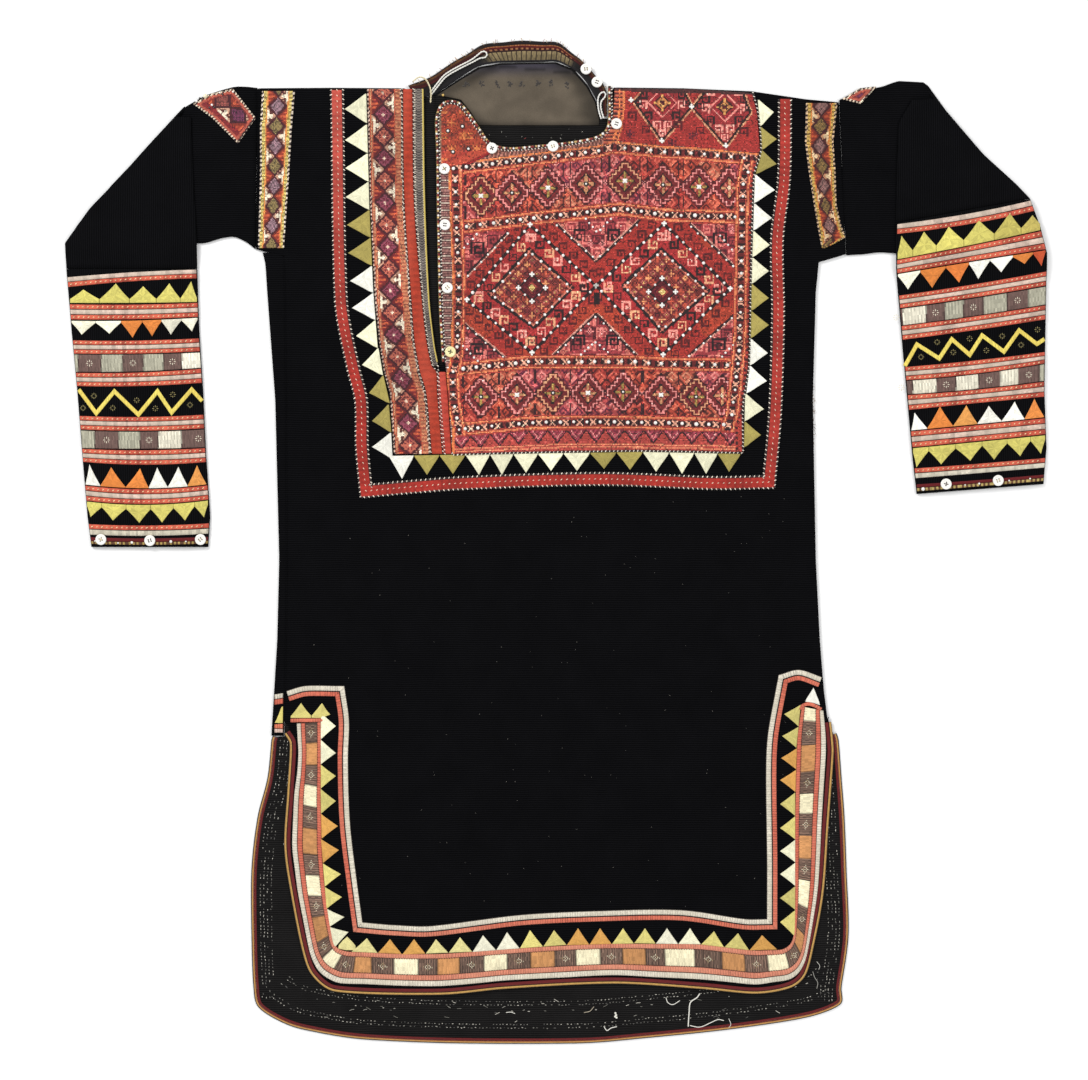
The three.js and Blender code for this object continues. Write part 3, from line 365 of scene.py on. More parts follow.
class Bag:
    """Many small closed bits in one mesh, each with its own colour."""

    def __init__(s):
        s.v, s.f, s.c, s.n = [], [], [], 0

    def add(s, v, f, col):
        v = np.asarray(v, float)
        s.v.append(v)
        s.f.append(np.asarray(f, int) + s.n)
        s.c.append(np.tile(np.asarray(col, float), (len(f), 1)))
        s.n += len(v)

    def stitch(s, x, y, z, ang, ln, w, h, col):
        """A raised thread: a plump spindle lying on the cloth. Arrays or numbers."""
        x, y, z, ang, ln, w, h = np.broadcast_arrays(*[np.asarray(q, float).ravel() for q in (x, y, z, ang, ln, w, h)])
        col = np.broadcast_to(np.asarray(col, float), (len(x), 3))
        c, sn = np.cos(ang), np.sin(ang)
        us = np.array([-0.5, -0.22, -0.22, -0.22, -0.22, 0.22, 0.22, 0.22, 0.22, 0.5])
        ws = np.array([0, -0.5, 0, 0.5, 0, -0.5, 0, 0.5, 0, 0])
        hs = np.array([0.0, 0.15, 1.0, 0.15, -0.3, 0.15, 1.0, 0.15, -0.3, 0.0])
        u, v = us[None] * ln[:, None], ws[None] * w[:, None]
        V = np.stack([x[:, None] + u * c[:, None] - v * sn[:, None], y[:, None] + u * sn[:, None] + v * c[:, None], z[:, None] + hs[None] * h[:, None]], 2)
        T = np.array([(0, 1, 2), (0, 2, 3), (0, 3, 4), (0, 4, 1), (1, 5, 2), (2, 5, 6), (2, 6, 3), (3, 6, 7), (3, 7, 4), (4, 7, 8), (4, 8, 1), (1, 8, 5), (9, 6, 5), (9, 7, 6), (9, 8, 7), (9, 5, 8)])
        F = (T[None] + (np.arange(len(x)) * 10)[:, None, None]).reshape(-1, 3)
        s.v.append(V.reshape(-1, 3)); s.f.append(F + s.n); s.c.append(np.repeat(col, len(T), axis=0)); s.n += V.shape[0] * 10

    def ball(s, x, y, z, r, col, flat=0.85):
        x, y, z, r = np.broadcast_arrays(*[np.asarray(q, float).ravel() for q in (x, y, z, r)])
        col = np.broadcast_to(np.asarray(col, float), (len(x), 3))
        T, P = BALL
        V = np.stack([x[:, None] + P[None, :, 0] * r[:, None], y[:, None] + P[None, :, 1] * r[:, None], z[:, None] + P[None, :, 2] * r[:, None] * flat], 2)
        F = (T[None] + (np.arange(len(x)) * len(P))[:, None, None]).reshape(-1, 3)
        s.v.append(V.reshape(-1, 3)); s.f.append(F + s.n); s.c.append(np.repeat(col, len(T), axis=0)); s.n += V.shape[0] * len(P)

    def tube(s, p, r, col, sides=6, ends=True):
        """A round cord along 3-D points."""
        p = np.asarray(p, float)
        t = np.vstack([p[1:2] - p[:1], p[2:] - p[:-2], p[-1:] - p[-2:-1]])
        t /= np.linalg.norm(t, axis=1)[:, None] + 1e-12
        up = np.array([0, 0, 1.0])
        a = np.cross(t, up)
        a /= np.linalg.norm(a, axis=1)[:, None] + 1e-12
        b = np.cross(a, t)
        r = np.broadcast_to(np.asarray(r, float), (len(p),))
        th = np.arange(sides) * 2 * math.pi / sides
        V = p[:, None] + r[:, None, None] * (np.cos(th)[None, :, None] * a[:, None] + np.sin(th)[None, :, None] * b[:, None])
        V = V.reshape(-1, 3)
        n = len(p)
        F = []
        for i in range(n - 1):
            for k in range(sides):
                q, w = i * sides + k, i * sides + (k + 1) % sides
                F += [(q, w + sides, w), (q, q + sides, w + sides)]
        if ends:
            V = np.vstack([V, p[:1], p[-1:]])
            for k in range(sides):
                F += [(n * sides, k, (k + 1) % sides), (n * sides + 1, (n - 1) * sides + (k + 1) % sides, (n - 1) * sides + k)]
        F = np.array(F)
        c = np.asarray(col, float)
        if c.ndim == 2:      # a colour for each step
            s.c.append(np.vstack([np.repeat(c[:n - 1], 2 * sides, axis=0), np.tile(c[:1], (len(F) - (n - 1) * 2 * sides, 1))]))
        else:
            s.c.append(np.tile(c, (len(F), 1)))
        s.v.append(V); s.f.append(F + s.n); s.n += len(V)

    def make(s, name, mat, recalc=True, smooth=True):
        return make(name, np.vstack(s.v), np.vstack(s.f), mat, np.vstack(s.c), smooth=smooth, recalc=recalc)


def _ball():
    bm = bmesh.new()
    bmesh.ops.create_icosphere(bm, subdivisions=1, radius=1)
    bm.verts.ensure_lookup_table()
    p = np.array([v.co[:] for v in bm.verts])
    t = np.array([[v.index for v in f.verts] for f in bm.faces])
    bm.free()
    return t, p


BALL = _ball()


# ------------------------------------------------------------------ materials
class Tree:
    def __init__(s, name):
        s.m = bpy.data.materials.new(name)
        s.m.use_nodes = True
        s.n = s.m.node_tree
        s.b = s.n.nodes["Principled BSDF"]
        s.co = s.n.nodes.new("ShaderNodeTexCoord")

    def node(s, kind, **k):
        n = s.n.nodes.new("ShaderNode" + kind)
        for a, b in k.items():
            setattr(n, a, b)
        return n

    def link(s, a, b):
        s.n.links.new(a, b)

    def math(s, op, a, b=None, c=None):
        n = s.node("Math", operation=op)
        for i, q in enumerate((a, b, c)):
            if q is None:
                continue
            if isinstance(q, (int, float)):
                n.inputs[i].default_value = q
            else:
                s.link(q, n.inputs[i])
        return n.outputs[0]

    def noise(s, scale, detail=2, rough=0.5, vec=None):
        n = s.node("TexNoise")
        n.inputs["Scale"].default_value = scale
        n.inputs["Detail"].default_value = detail
        n.inputs["Roughness"].default_value = rough
        s.link(vec or s.co.outputs["Object"], n.inputs["Vector"])
        return n.outputs["Fac"]


def cloth_mat(name, rough=0.9, sheen=0.0, mottle=(60, 0.25), fine=(900, 0.18), bump=0.35, dist=0.0004, rib=None, weave=None, spec=0.25, ribdark=0.35):
    """Cloth that takes its hue from the Col attribute, with mottling, threads, ribs or a plain weave."""
    t = Tree(name)
    at = t.node("Attribute", attribute_name="Col")
    sep = t.node("SeparateXYZ")
    t.link(t.co.outputs["Object"], sep.inputs[0])
    X, Y = sep.outputs[0], sep.outputs[1]
    n1 = t.noise(mottle[0], 3, 0.6)
    n2 = t.noise(fine[0], 2, 0.7)
    shade = t.math("ADD", t.math("MULTIPLY", t.math("SUBTRACT", n1, 0.5), mottle[1] * 2), 1.0)
    shade = t.math("ADD", shade, t.math("MULTIPLY", t.math("SUBTRACT", n2, 0.5), fine[1] * 2))
    height = t.math("MULTIPLY", n2, 0.5)
    if rib:
        axis, pitch = rib
        wob = t.math("MULTIPLY", t.noise(35, 1), 0.0018)
        c = t.math("ADD", Y if axis == "Y" else X, wob)
        w = t.math("SINE", t.math("MULTIPLY", c, 2 * math.pi / (pitch * MM)))
        w = t.math("ADD", t.math("MULTIPLY", w, 0.5), 0.5)
        cross = t.math("SINE", t.math("MULTIPLY", X if axis == "Y" else Y, 2 * math.pi / (0.9 * MM)))
        height = t.math("ADD", height, t.math("MULTIPLY", w, 1.2))
        height = t.math("ADD", height, t.math("MULTIPLY", cross, 0.12))
        # painted shade: the rib troughs are darkened in the base colour and the crests left lighter, standing in for
        # the light on the ribs
        shade = t.math("MULTIPLY", shade, t.math("ADD", t.math("MULTIPLY", w, ribdark), 1 - ribdark * 0.5))
    if weave:
        a = t.math("SINE", t.math("MULTIPLY", X, 2 * math.pi / (weave * MM)))
        b = t.math("SINE", t.math("MULTIPLY", Y, 2 * math.pi / (weave * MM)))
        ab = t.math("MULTIPLY", a, b)
        height = t.math("ADD", height, t.math("MULTIPLY", ab, 0.45))
        shade = t.math("MULTIPLY", shade, t.math("ADD", t.math("MULTIPLY", ab, 0.10), 1.0))
    mix = t.node("VectorMath", operation="SCALE")
    t.link(at.outputs["Color"], mix.inputs[0])
    t.link(shade, mix.inputs["Scale"])
    t.link(mix.outputs[0], t.b.inputs["Base Color"])
    bp = t.node("Bump")
    bp.inputs["Strength"].default_value = bump
    bp.inputs["Distance"].default_value = dist
    t.link(height, bp.inputs["Height"])
    t.link(bp.outputs[0], t.b.inputs["Normal"])
    t.b.inputs["Roughness"].default_value = rough
    t.b.inputs["Specular IOR Level"].default_value = spec
    if sheen:
        t.b.inputs["Sheen Weight"].default_value = sheen
        t.b.inputs["Sheen Roughness"].default_value = 0.5
    return t.m


M_BLACK = cloth_mat("black_rib", 0.96, 0.0, (28, 0.3), (1400, 0.35), 0.6, 0.0006, rib=("Y", 2.2), spec=0.035, ribdark=0.9)
M_BLACKX = cloth_mat("black_rib_lengthwise", 0.96, 0.0, (28, 0.3), (1400, 0.35), 0.6, 0.0006, rib=("X", 2.2), spec=0.045, ribdark=0.9)
M_STITCH = cloth_mat("counted_stitch", 0.72, 0.15, (45, 0.12), (2200, 0.22), 0.5, 0.0003, spec=0.3)
M_COTTON = cloth_mat("applied_cotton", 0.88, 0.1, (70, 0.16), (1100, 0.14), 0.45, 0.0003, weave=0.75, spec=0.2)
M_STRIP = cloth_mat("applied_strip", 0.85, 0.1, (110, 0.18), (1300, 0.2), 0.5, 0.0003, weave=0.9, spec=0.2)
M_THREAD = cloth_mat("thread", 0.7, 0.15, (200, 0.08), (2500, 0.18), 0.4, 0.0002, spec=0.35)
M_CORD = cloth_mat("twisted_cord", 0.75, 0.1, (150, 0.1), (2000, 0.2), 0.5, 0.0003, spec=0.3)
M_LINING = cloth_mat("worn_lining", 0.92, 0.05, (38, 0.4), (900, 0.25), 0.4, 0.0004, weave=0.9, spec=0.15)


def glossy(name, rough=0.18, coat=0.4, col=None):
    t = Tree(name)
    at = t.node("Attribute", attribute_name="Col")
    n = t.noise(220, 3, 0.6)
    shade = t.math("ADD", t.math("MULTIPLY", t.math("SUBTRACT", n, 0.5), 0.16), 1.0)
    mix = t.node("VectorMath", operation="SCALE")
    t.link(at.outputs["Color"], mix.inputs[0])
    t.link(shade, mix.inputs["Scale"])
    t.link(mix.outputs[0], t.b.inputs["Base Color"])
    bp = t.node("Bump")
    bp.inputs["Strength"].default_value = 0.12
    bp.inputs["Distance"].default_value = 0.0002
    t.link(t.noise(500, 2), bp.inputs["Height"])
    t.link(bp.outputs[0], t.b.inputs["Normal"])
    t.b.inputs["Roughness"].default_value = rough
    t.b.inputs["Coat Weight"].default_value = coat
    t.b.inputs["Coat Roughness"].default_value = 0.1
    return t.m


M_BEAD = glossy("glass_bead", 0.15, 0.5)
M_SHELL = glossy("shell_button_polish", 0.28, 0.35)

# ------------------------------------------------------------------ camera, light and floor
cam = bpy.data.objects.new("camera", bpy.data.cameras.new("camera"))
bpy.context.scene.collection.objects.link(cam)
cam.data.lens, cam.data.sensor_width = 85, 36
cam.location = ((544 - BX) * MM, (BY - 540) * MM, 0.004 + 1.088 * 85 / 36)
cam.data.clip_end = 20
bpy.context.scene.camera = cam

world = bpy.data.worlds.new("studio")
bpy.context.scene.world = world
world.use_nodes = True
world.node_tree.nodes["Background"].inputs[0].default_value = (1, 1, 1, 1)
world.node_tree.nodes["Background"].inputs[1].default_value = 0.62


def area(name, loc, size, power):
    l = bpy.data.lights.new(name, "AREA")
    l.energy, l.size = power, size
    o = bpy.data.objects.new(name, l)
    o.location = loc
    o.rotation_euler = (Vector((0, 0, 0)) - Vector(loc)).to_track_quat("-Z", "Y").to_euler()
    bpy.context.scene.collection.objects.link(o)


area("key", (-1.6, 1.7, 1.7), 0.9, 46)
area("fill", (1.9, 0.6, 2.0), 1.2, 22)
area("low", (-0.2, -2.2, 1.4), 1.2, 14)

bpy.ops.mesh.primitive_plane_add(size=8, location=(0, 0, -0.0003))
floor = bpy.context.object
floor.name = "floor"
ft = Tree("pale_floor")
ft.b.inputs["Base Color"].default_value = (0.93, 0.93, 0.93, 1)
ft.b.inputs["Roughness"].default_value = 0.9
ft.b.inputs["Specular IOR Level"].default_value = 0.1
floor.data.materials.append(ft.m)
vs = bpy.context.scene.view_settings
vs.view_transform = "Standard"
vs.look = "None"


# ------------------------------------------------------------------ cords
def cord_points(rows, z):
    return np.column_stack([A(rows), np.full(len(rows), z)])


LOOP_LEFT = [(430.2, 92.6), (442.2, 77.2), (447.2, 73.0), (456.9, 67.3), (470.6, 60.2), (477.0, 55.6), (481.4, 52.0), (485.0, 51.6), (487.0, 54.4), (485.0, 57.4), (480.0, 58.2), (473.2, 61.8), (458.5, 69.2), (448.8, 74.8), (443.8, 78.9), (431.4, 94.4)]
LOOP_CREAM = [(413, 82), (419, 77.5), (425, 79), (429, 85), (431, 92), (430.6, 103)]
LOOP_RIGHT = [(601.2, 118.8), (599.1, 112), (598.0, 105.5), (598.1, 98.6), (600.0, 94.0), (603.4, 92.0), (605.6, 94.2), (604.4, 97.6), (601.6, 100.8), (600.6, 105.5), (601.7, 112), (603.8, 118.2)]


def loop_cord(name, rows, z, d, col, node):
    p = cord_points(rows, z)
    line = curve(p, 1.0)
    n = len(line)
    # two plies twisted about the centreline
    t = np.vstack([line[1:2] - line[:1], line[2:] - line[:-2], line[-1:] - line[-2:-1]])
    t /= np.linalg.norm(t, axis=1)[:, None]
    side = np.column_stack([-t[:, 1], t[:, 0], np.zeros(n)])
    up = np.tile([0, 0, 1.0], (n, 1))
    s = np.arange(n) * 1.0
    bag = Bag()
    for k in range(2):
        a = s * 2 * math.pi / 5.5 + k * math.pi
        q = line + (side * np.cos(a)[:, None] + up * np.sin(a)[:, None]) * d * 0.23
        # painted shade: each ply is lighter on one side of the cord and darker on the other as it twists
        shade = 0.93 + 0.07 * np.cos(a)[:, None]
        bag.tube(q, d * 0.27, np.clip(np.array([col]) * shade, 0, 255), 7)
    ob = bag.make(name, M_CORD)
    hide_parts(node)
    return ob


Z_CORD = FLAT + GAP + 0.9
loop_cord("cord_left", LOOP_LEFT, Z_CORD, 1.8, (238, 236, 228), "loop_cord_left")
loop_cord("cord_cream", LOOP_CREAM, Z_CORD + 2.1, 1.8, (226, 214, 178), "loop_cord_cream")
loop_cord("cord_right", LOOP_RIGHT, Z_CORD, 1.8, (240, 238, 232), "loop_cord_right")

# ------------------------------------------------------------------ colours seen on the cloth
BLACK = (11, 11, 13)
INSIDE = (27, 26, 26)
CREAM = (238, 235, 206)
OFFWHITE = (226, 218, 200)
SALMON = (206, 104, 82)
RED = (190, 52, 42)
GOLD = (184, 142, 74)
DARKRED = (116, 2, 6)
OLIVE = (160, 148, 78)
YELLOW = (214, 200, 118)
ORANGE = (214, 138, 66)
BROWN = (92, 74, 64)


def speckle(n, amount, rng=RNG):
    return 1 + amount * (rng.rand(n, 1) - 0.5) * 2


def area_of(loop):
    a, b = loop, np.roll(loop, -1, 0)
    return abs((a[:, 0] * b[:, 1] - b[:, 0] * a[:, 1]).sum()) / 2


# ------------------------------------------------------------------ body panels
def flatz(z0, wob=0.0):
    def f(X, Y):
        return np.full(np.shape(X), z0) + (0 if not wob else wob * (0.5 + 0.5 * np.sin(X * 0.05 + 1) * np.sin(Y * 0.043)))
    return f


collar_inner = A(COLLAR_INNER)[::-1]
in_back = soft(np.vstack([A([(836, 731)]), A([(r[2], r[0]) for r in BACK_LOWER]), A(BACK_HEM)[::-1], A([(r[1], r[0]) for r in BACK_LOWER[::-1]]), A([(272.4, 736.2)])]))
back_in = offset(in_back, -3.3)
back_loop = np.vstack([
    A([(258, 88), (330, 87.5), (405, 88), (410, 93)]), offset(collar_inner, -0.6)[1:-1], A([(602, 118), (609, 118), (609, 88), (683, 88), (752, 91), (806, 99), (839, 102), (842.5, 178), (846, 254)]),
    A([(r[3], r[0]) for r in BODY_SIDES]), back_in, A([(284.4, 736.4)]), A([(r[2] + 0.2, r[0]) for r in BODY_SIDES[::-1]]), A([(284, 256), (256, 249), (258, 180)]),
])


def back_col(bx, by, z):
    """Inside of the back: a little greyer than the outside."""
    c = np.tile(np.array([INSIDE], float), (len(bx), 1))
    return c


back = shell("back_cloth", poly(np.vstack([back_loop, back_loop[:1]]), 6)[:-1], 7, flatz(0.03), 1.24, M_BLACK, INSIDE)
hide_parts("back_panel")

front_edge = soft(A([(285.4, 727)] + FRONT_HEM[1:-1] + [(832, 716)]), (), 2.5)
neck = A(NECK_EDGE)
front_coarse = np.vstack([
    A([(258, 88), (330, 87.5), (404, 88), (410.5, 93.4), (424.8, 96.6)]), A(SLIT_LEFT[1:]), offset(neck, -3.4)[:-1], A([(613.4, 87.2), (683, 88), (752, 91), (806, 99), (839, 102), (842.5, 178), (846, 254)]),
    A([(r[3], r[0]) for r in BODY_SIDES]), offset(front_edge, 3.3)[::-1], A([(r[2] + 0.2, r[0]) for r in BODY_SIDES[::-1]]), A([(284, 256), (256, 249), (258, 180)]),
])
front_loop = poly(np.vstack([front_coarse, front_coarse[:1]]), 5)[:-1]
front = shell("front_cloth", front_loop, 5.5, rise, CLOTH, M_BLACK, BLACK, rim=0.55)
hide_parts("front_panel")


def ribbon(name, P, offs, zprof, mat, colf, zfun=None, step=2.0, thick=None, fixed=True):
    """A strip along a coarse path, `offs` across it and `zprof` above zfun. colf(k, s, x, y) colours each face."""
    zfun = zfun or rise
    lines = [offset(P, o) for o in offs]
    mid = (lines[0] + lines[-1]) / 2
    seg = np.linalg.norm(np.diff(mid, axis=0), axis=1)
    ns = np.maximum(1, np.round(seg / step).astype(int))
    def sub(L):
        out = [L[i] + (L[i + 1] - L[i]) * (np.arange(ns[i]) / ns[i])[:, None] for i in range(len(ns))]
        return np.vstack(out + [L[-1:]])
    G = np.stack([sub(L) for L in lines])          # across, along, 2
    S = np.concatenate([[0], np.cumsum(np.linalg.norm(np.diff(sub(mid), axis=0), axis=1))])
    a, n = G.shape[:2]
    Z = zfun(G[..., 0].ravel(), G[..., 1].ravel()).reshape(a, n)
    top = np.dstack([G, Z + np.array(zprof)[:, None]])
    low = min(zprof) if thick is None else max(zprof) - thick
    bot = np.dstack([G[[0, -1]], Z[[0, -1]] + (low if thick is not None else min(zprof) - 0.0)])
    V = np.vstack([top.reshape(-1, 3), bot.reshape(-1, 3)])
    id_ = lambda k, i: k * n + i
    I = np.arange(n - 1)
    F, K, SS = [], [], []
    for k in range(a - 1):
        F.append(np.column_stack([id_(k, I), id_(k, I + 1), id_(k + 1, I + 1), id_(k + 1, I)]))
        K.append(np.full(n - 1, k)); SS.append((S[:-1] + S[1:]) / 2)
    b0, b1 = a * n, a * n + n
    F.append(np.column_stack([b0 + I, b1 + I, b1 + I + 1, b0 + I + 1])); K.append(np.full(n - 1, 0)); SS.append((S[:-1] + S[1:]) / 2)
    F.append(np.column_stack([b0 + I, b0 + I + 1, id_(0, I + 1), id_(0, I)])); K.append(np.full(n - 1, 0)); SS.append((S[:-1] + S[1:]) / 2)
    F.append(np.column_stack([b1 + I + 1, b1 + I, id_(a - 1, I), id_(a - 1, I + 1)])); K.append(np.full(n - 1, a - 2)); SS.append((S[:-1] + S[1:]) / 2)
    K, SS = np.concatenate(K), np.concatenate(SS)
    F = np.vstack(F)
    cen = V[F].mean(1)
    faces = [tuple(f) for f in F]
    faces.append(tuple([b0] + [id_(k, 0) for k in range(a)] + [b1]))
    faces.append(tuple([b1 + n - 1] + [id_(k, n - 1) for k in range(a - 1, -1, -1)] + [b0 + n - 1]))
    cols = colf(K, SS, cen[:, 0] + BX, BY - cen[:, 1])
    cols = np.vstack([cols, cols[:1], cols[-1:]])
    return make(name, V, faces, mat, cols, recalc=True)


def solid(col, amount=0.06):
    def f(k, s, x, y):
        return np.clip(np.tile(np.array([col], float), (len(k), 1)) * speckle(len(k), amount), 0, 255)
    return f


def bands(cols, amount=0.07):
    """A colour for each face across the strip."""
    c = np.array(cols, float)
    def f(k, s, x, y):
        return np.clip(c[np.minimum(k, len(c) - 1)] * speckle(len(k), amount), 0, 255)
    return f


# hem cords and the lines beside them
hem_p = soft(A([(284.2, 734), (289.5, 744)] + FRONT_HEM[2:-1] + [(833, 736), (831.5, 722)]))
pip = ribbon("front_piping", hem_p, [0.0, 0.25, 0.9, 1.6, 2.3, 2.9], [0.5, 1.3, 1.95, 2.0, 1.5, 0.6], M_THREAD, bands([(60, 44, 30), (150, 118, 60), GOLD, (186, 146, 76), (70, 26, 24)]), step=1.6, thick=1.98)
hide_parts("front_hem_piping")
line2 = ribbon("front_hem_red_line", hem_p, [3.1, 3.5, 4.6, 5.9, 6.4], [1.32, 1.75, 1.95, 1.75, 1.32], M_THREAD, bands([DARKRED]), step=1.8, thick=0.66)
bp_path = in_back[1:]
bpip = ribbon("back_piping", bp_path, [0.0, -0.5, -1.1, -1.6, -2.3, -2.95], [0.4, 1.25, 1.5, 1.95, 1.95, 0.9], M_THREAD, bands([(26, 22, 22), (30, 24, 22), (170, 125, 66), GOLD, (150, 80, 48)]), zfun=flatz(0.0), step=1.6, thick=1.9)
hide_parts("back_hem_piping")
bline2 = ribbon("back_hem_red_line", bp_path, [-3.3, -3.8, -4.8, -5.6], [1.28, 1.7, 1.75, 1.28], M_THREAD, bands([DARKRED]), zfun=flatz(0.0), step=1.8, thick=0.5)

# side gore: one cloth folded round the body's edge
def gore():
    ys = np.concatenate([[252.6, 254.8], np.linspace(257, 735.8, 81)])
    fold = np.interp(ys, [252.6, 257, 264] + [r[0] for r in BODY_SIDES[1:]] + [736], [262.4, 263.6, 265.2] + [r[1] for r in BODY_SIDES[1:]] + [271.2])
    seam = np.interp(ys, [252.6, 257] + [r[0] for r in BODY_SIDES[1:]] + [736], [276.0, 285.2] + [r[2] for r in BODY_SIDES[1:]] + [284])
    V, F = [], []
    for y, f, s in zip(ys, fold, seam):
        w = 0.12 * math.sin(y * 0.06)
        e, g_ = min(f + 8, s - 1.2), min(f + 9, s - 3.4)
        o = [(s - 0.3, 0), (e, 0), (f + 1.6, 0.02), (f + 0.5, 0.4), (f, 1.0), (f - 0.0, 1.45), (f, 1.95), (f + 0.5, 2.55), (f + 1.6, 2.85), (min(f + 5, g_ - 0.5), 2.9 + w), (g_, 2.86), (s - 3, 2.88 - w), (s - 0.9, 2.8), (s - 0.3, 2.4)]
        i = [(s - 0.3, 1.62), (e, 1.62), (f + 2.2, 1.6), (f + 1.8, 1.45), (f + 2.2, 1.3), (e, 1.28), (s - 0.3, 1.28)]
        loop = o + i
        V += [(x - BX, BY - y, z) for x, z in loop]
        n = len(loop)
    m = len(ys)
    for k in range(m - 1):
        for j in range(n):
            a, b = k * n + j, k * n + (j + 1) % n
            F.append((a, b, b + n, a + n))
    F.append(tuple(range(n)))
    F.append(tuple((m - 1) * n + j for j in range(n - 1, -1, -1)))
    ob = make("side_gore_cloth", V, F, M_BLACK, np.array([BLACK], float), recalc=True)
    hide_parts("side_gore_left")
    return ob


gore_ob = gore()

# ------------------------------------------------------------------ sleeves
class Tube:
    """A flat tube of cloth. Rows run along c (board y, or board x for an upper sleeve), with edges e0 and e1."""

    def __init__(s, rows, low, upright=True):
        r = np.array(rows, float)
        s.c0, s.e0, s.c1, s.e1, s.r = r[:, 0], r[:, 1], r[:, 2], r[:, 3], r[:, 4]
        s.low, s.up = low, upright

    def z(s, X, Y, h=0.0):
        bx, by = np.asarray(X) + BX, BY - np.asarray(Y)
        c, e = (by, bx) if s.up else (bx, by)
        o0, o1 = np.argsort(s.c0), np.argsort(s.c1)
        a, b = np.interp(c, s.c0[o0], s.e0[o0]), np.interp(c, s.c1[o1], s.e1[o1])
        w = np.maximum(b - a, 1)
        u = np.clip((e - a) / w, 0, 1)
        lift = np.interp(c, s.c0[o0], s.r[o0])
        d = np.minimum(u, 1 - u) * w
        q = np.clip(1 - d / 2.2, 0, 1)
        rim = FLAT / 2 * np.sqrt(np.maximum(0, 1 - q * q)) + FLAT / 2
        fade = sstep(d / 22)
        wr = (0.22 * np.sin(0.052 * bx + 0.11 * by + 1) + 0.16 * np.sin(0.16 * bx - 0.05 * by) + 0.10 * np.sin(0.09 * bx + 0.21 * by + 2)) * fade * np.minimum(1, lift)
        return s.low(c) + rim + lift * np.sin(np.pi * u) ** 0.8 + wr + h

    def line(s, t):
        """Row t (0..1 along the table's rows): the two edge points on the board."""
        k = np.linspace(0, 1, len(s.c0))
        c0, e0, c1, e1 = (np.interp(t, k, q) for q in (s.c0, s.e0, s.c1, s.e1))
        return ((e0, c0), (e1, c1)) if s.up else ((c0, e0), (c1, e1))

    def mesh(s, name, mat, col, step=5.0, trim=0):
        k = np.linspace(0, 1, len(s.c0))
        L = np.concatenate([[0], np.cumsum(np.hypot(np.diff(s.c0 + s.c1), np.diff(s.e0 + s.e1)) / 2)])
        n = max(3, int(L[-1] / step))
        ts = np.interp(np.linspace(0, L[-1], n + 1), L, k)
        nt = 30
        V, F = [], []
        for t in ts:
            (x0, y0), (x1, y1) = s.line(t)
            w = math.hypot(x1 - x0, y1 - y0)
            e = min(2.2, w / 5)
            ds = np.concatenate([[0.02, 0.12, 0.4, 0.8], np.linspace(1, nt - 1, nt - 1) / nt * (w / e - 0) , [w / e - 0.8, w / e - 0.4, w / e - 0.12, w / e - 0.02]]) * e
            ds = np.unique(np.clip(np.sort(ds), 0.0, w))
            # a fixed count of samples, so that rows join
            u = np.concatenate([[0.01, 0.15, 0.5, 1.0], np.linspace(2.2, w - 2.2, 23) if w > 12 else np.linspace(1.5, w - 1.5, 23), [w - 1.0, w - 0.5, w - 0.15, w - 0.01]])
            dx, dy = (x1 - x0) / w, (y1 - y0) / w
            px, py = x0 + dx * u - BX, BY - (y0 + dy * u)
            zt = s.z(px, py)
            zl = s.low(np.array([t0 for t0 in ([y0 + dy * q for q in u] if s.up else [x0 + dx * q for q in u])]))
            d = np.minimum(u, w - u)
            q = np.clip(1 - d / 2.2, 0, 1)
            zb = zl + FLAT / 2 - FLAT / 2 * np.sqrt(np.maximum(0, 1 - q * q))
            outer = [(a, b, c) for a, b, c in zip(px, py, zb)] + [(a, b, c) for a, b, c in zip(px[::-1], py[::-1], zt[::-1])]
            m = min(CLOTH + 0.2, w * 0.2)
            ui = m + (w - 2 * m) * u / w
            pxi, pyi = x0 + dx * ui - BX, BY - (y0 + dy * ui)
            hi = np.maximum(s.z(pxi, pyi) - CLOTH, zl + CLOTH + 0.2)
            inner = [(a, b, c) for a, b, c in zip(pxi, pyi, zl + CLOTH)] + [(a, b, c) for a, b, c in zip(pxi[::-1], pyi[::-1], hi[::-1])]
            V += outer + inner
        no = len(outer)
        n2 = 2 * no
        m = len(ts)
        for r in range(m - 1):
            for j in range(no):
                a, b = r * n2 + j, r * n2 + (j + 1) % no
                F.append((a, b, b + n2, a + n2))
                F.append((b + no, a + no, a + no + n2, b + no + n2))
        for r in (0, m - 1):
            for j in range(no):
                a, b = r * n2 + j, r * n2 + (j + 1) % no
                F.append((a, a + no, b + no, b) if r == 0 else (a, b, b + no, a + no))
        return make(name, V, F, mat, np.array([col], float), recalc=True)


ONFOLD = FLAT + 0.001
drop = lambda y0, y1, top, bot=0.0: (lambda c: bot + (top - bot) * (1 - sstep((np.asarray(c, float) - y0) / (y1 - y0))))
const = lambda z: (lambda c: np.full(np.shape(c), float(z)))

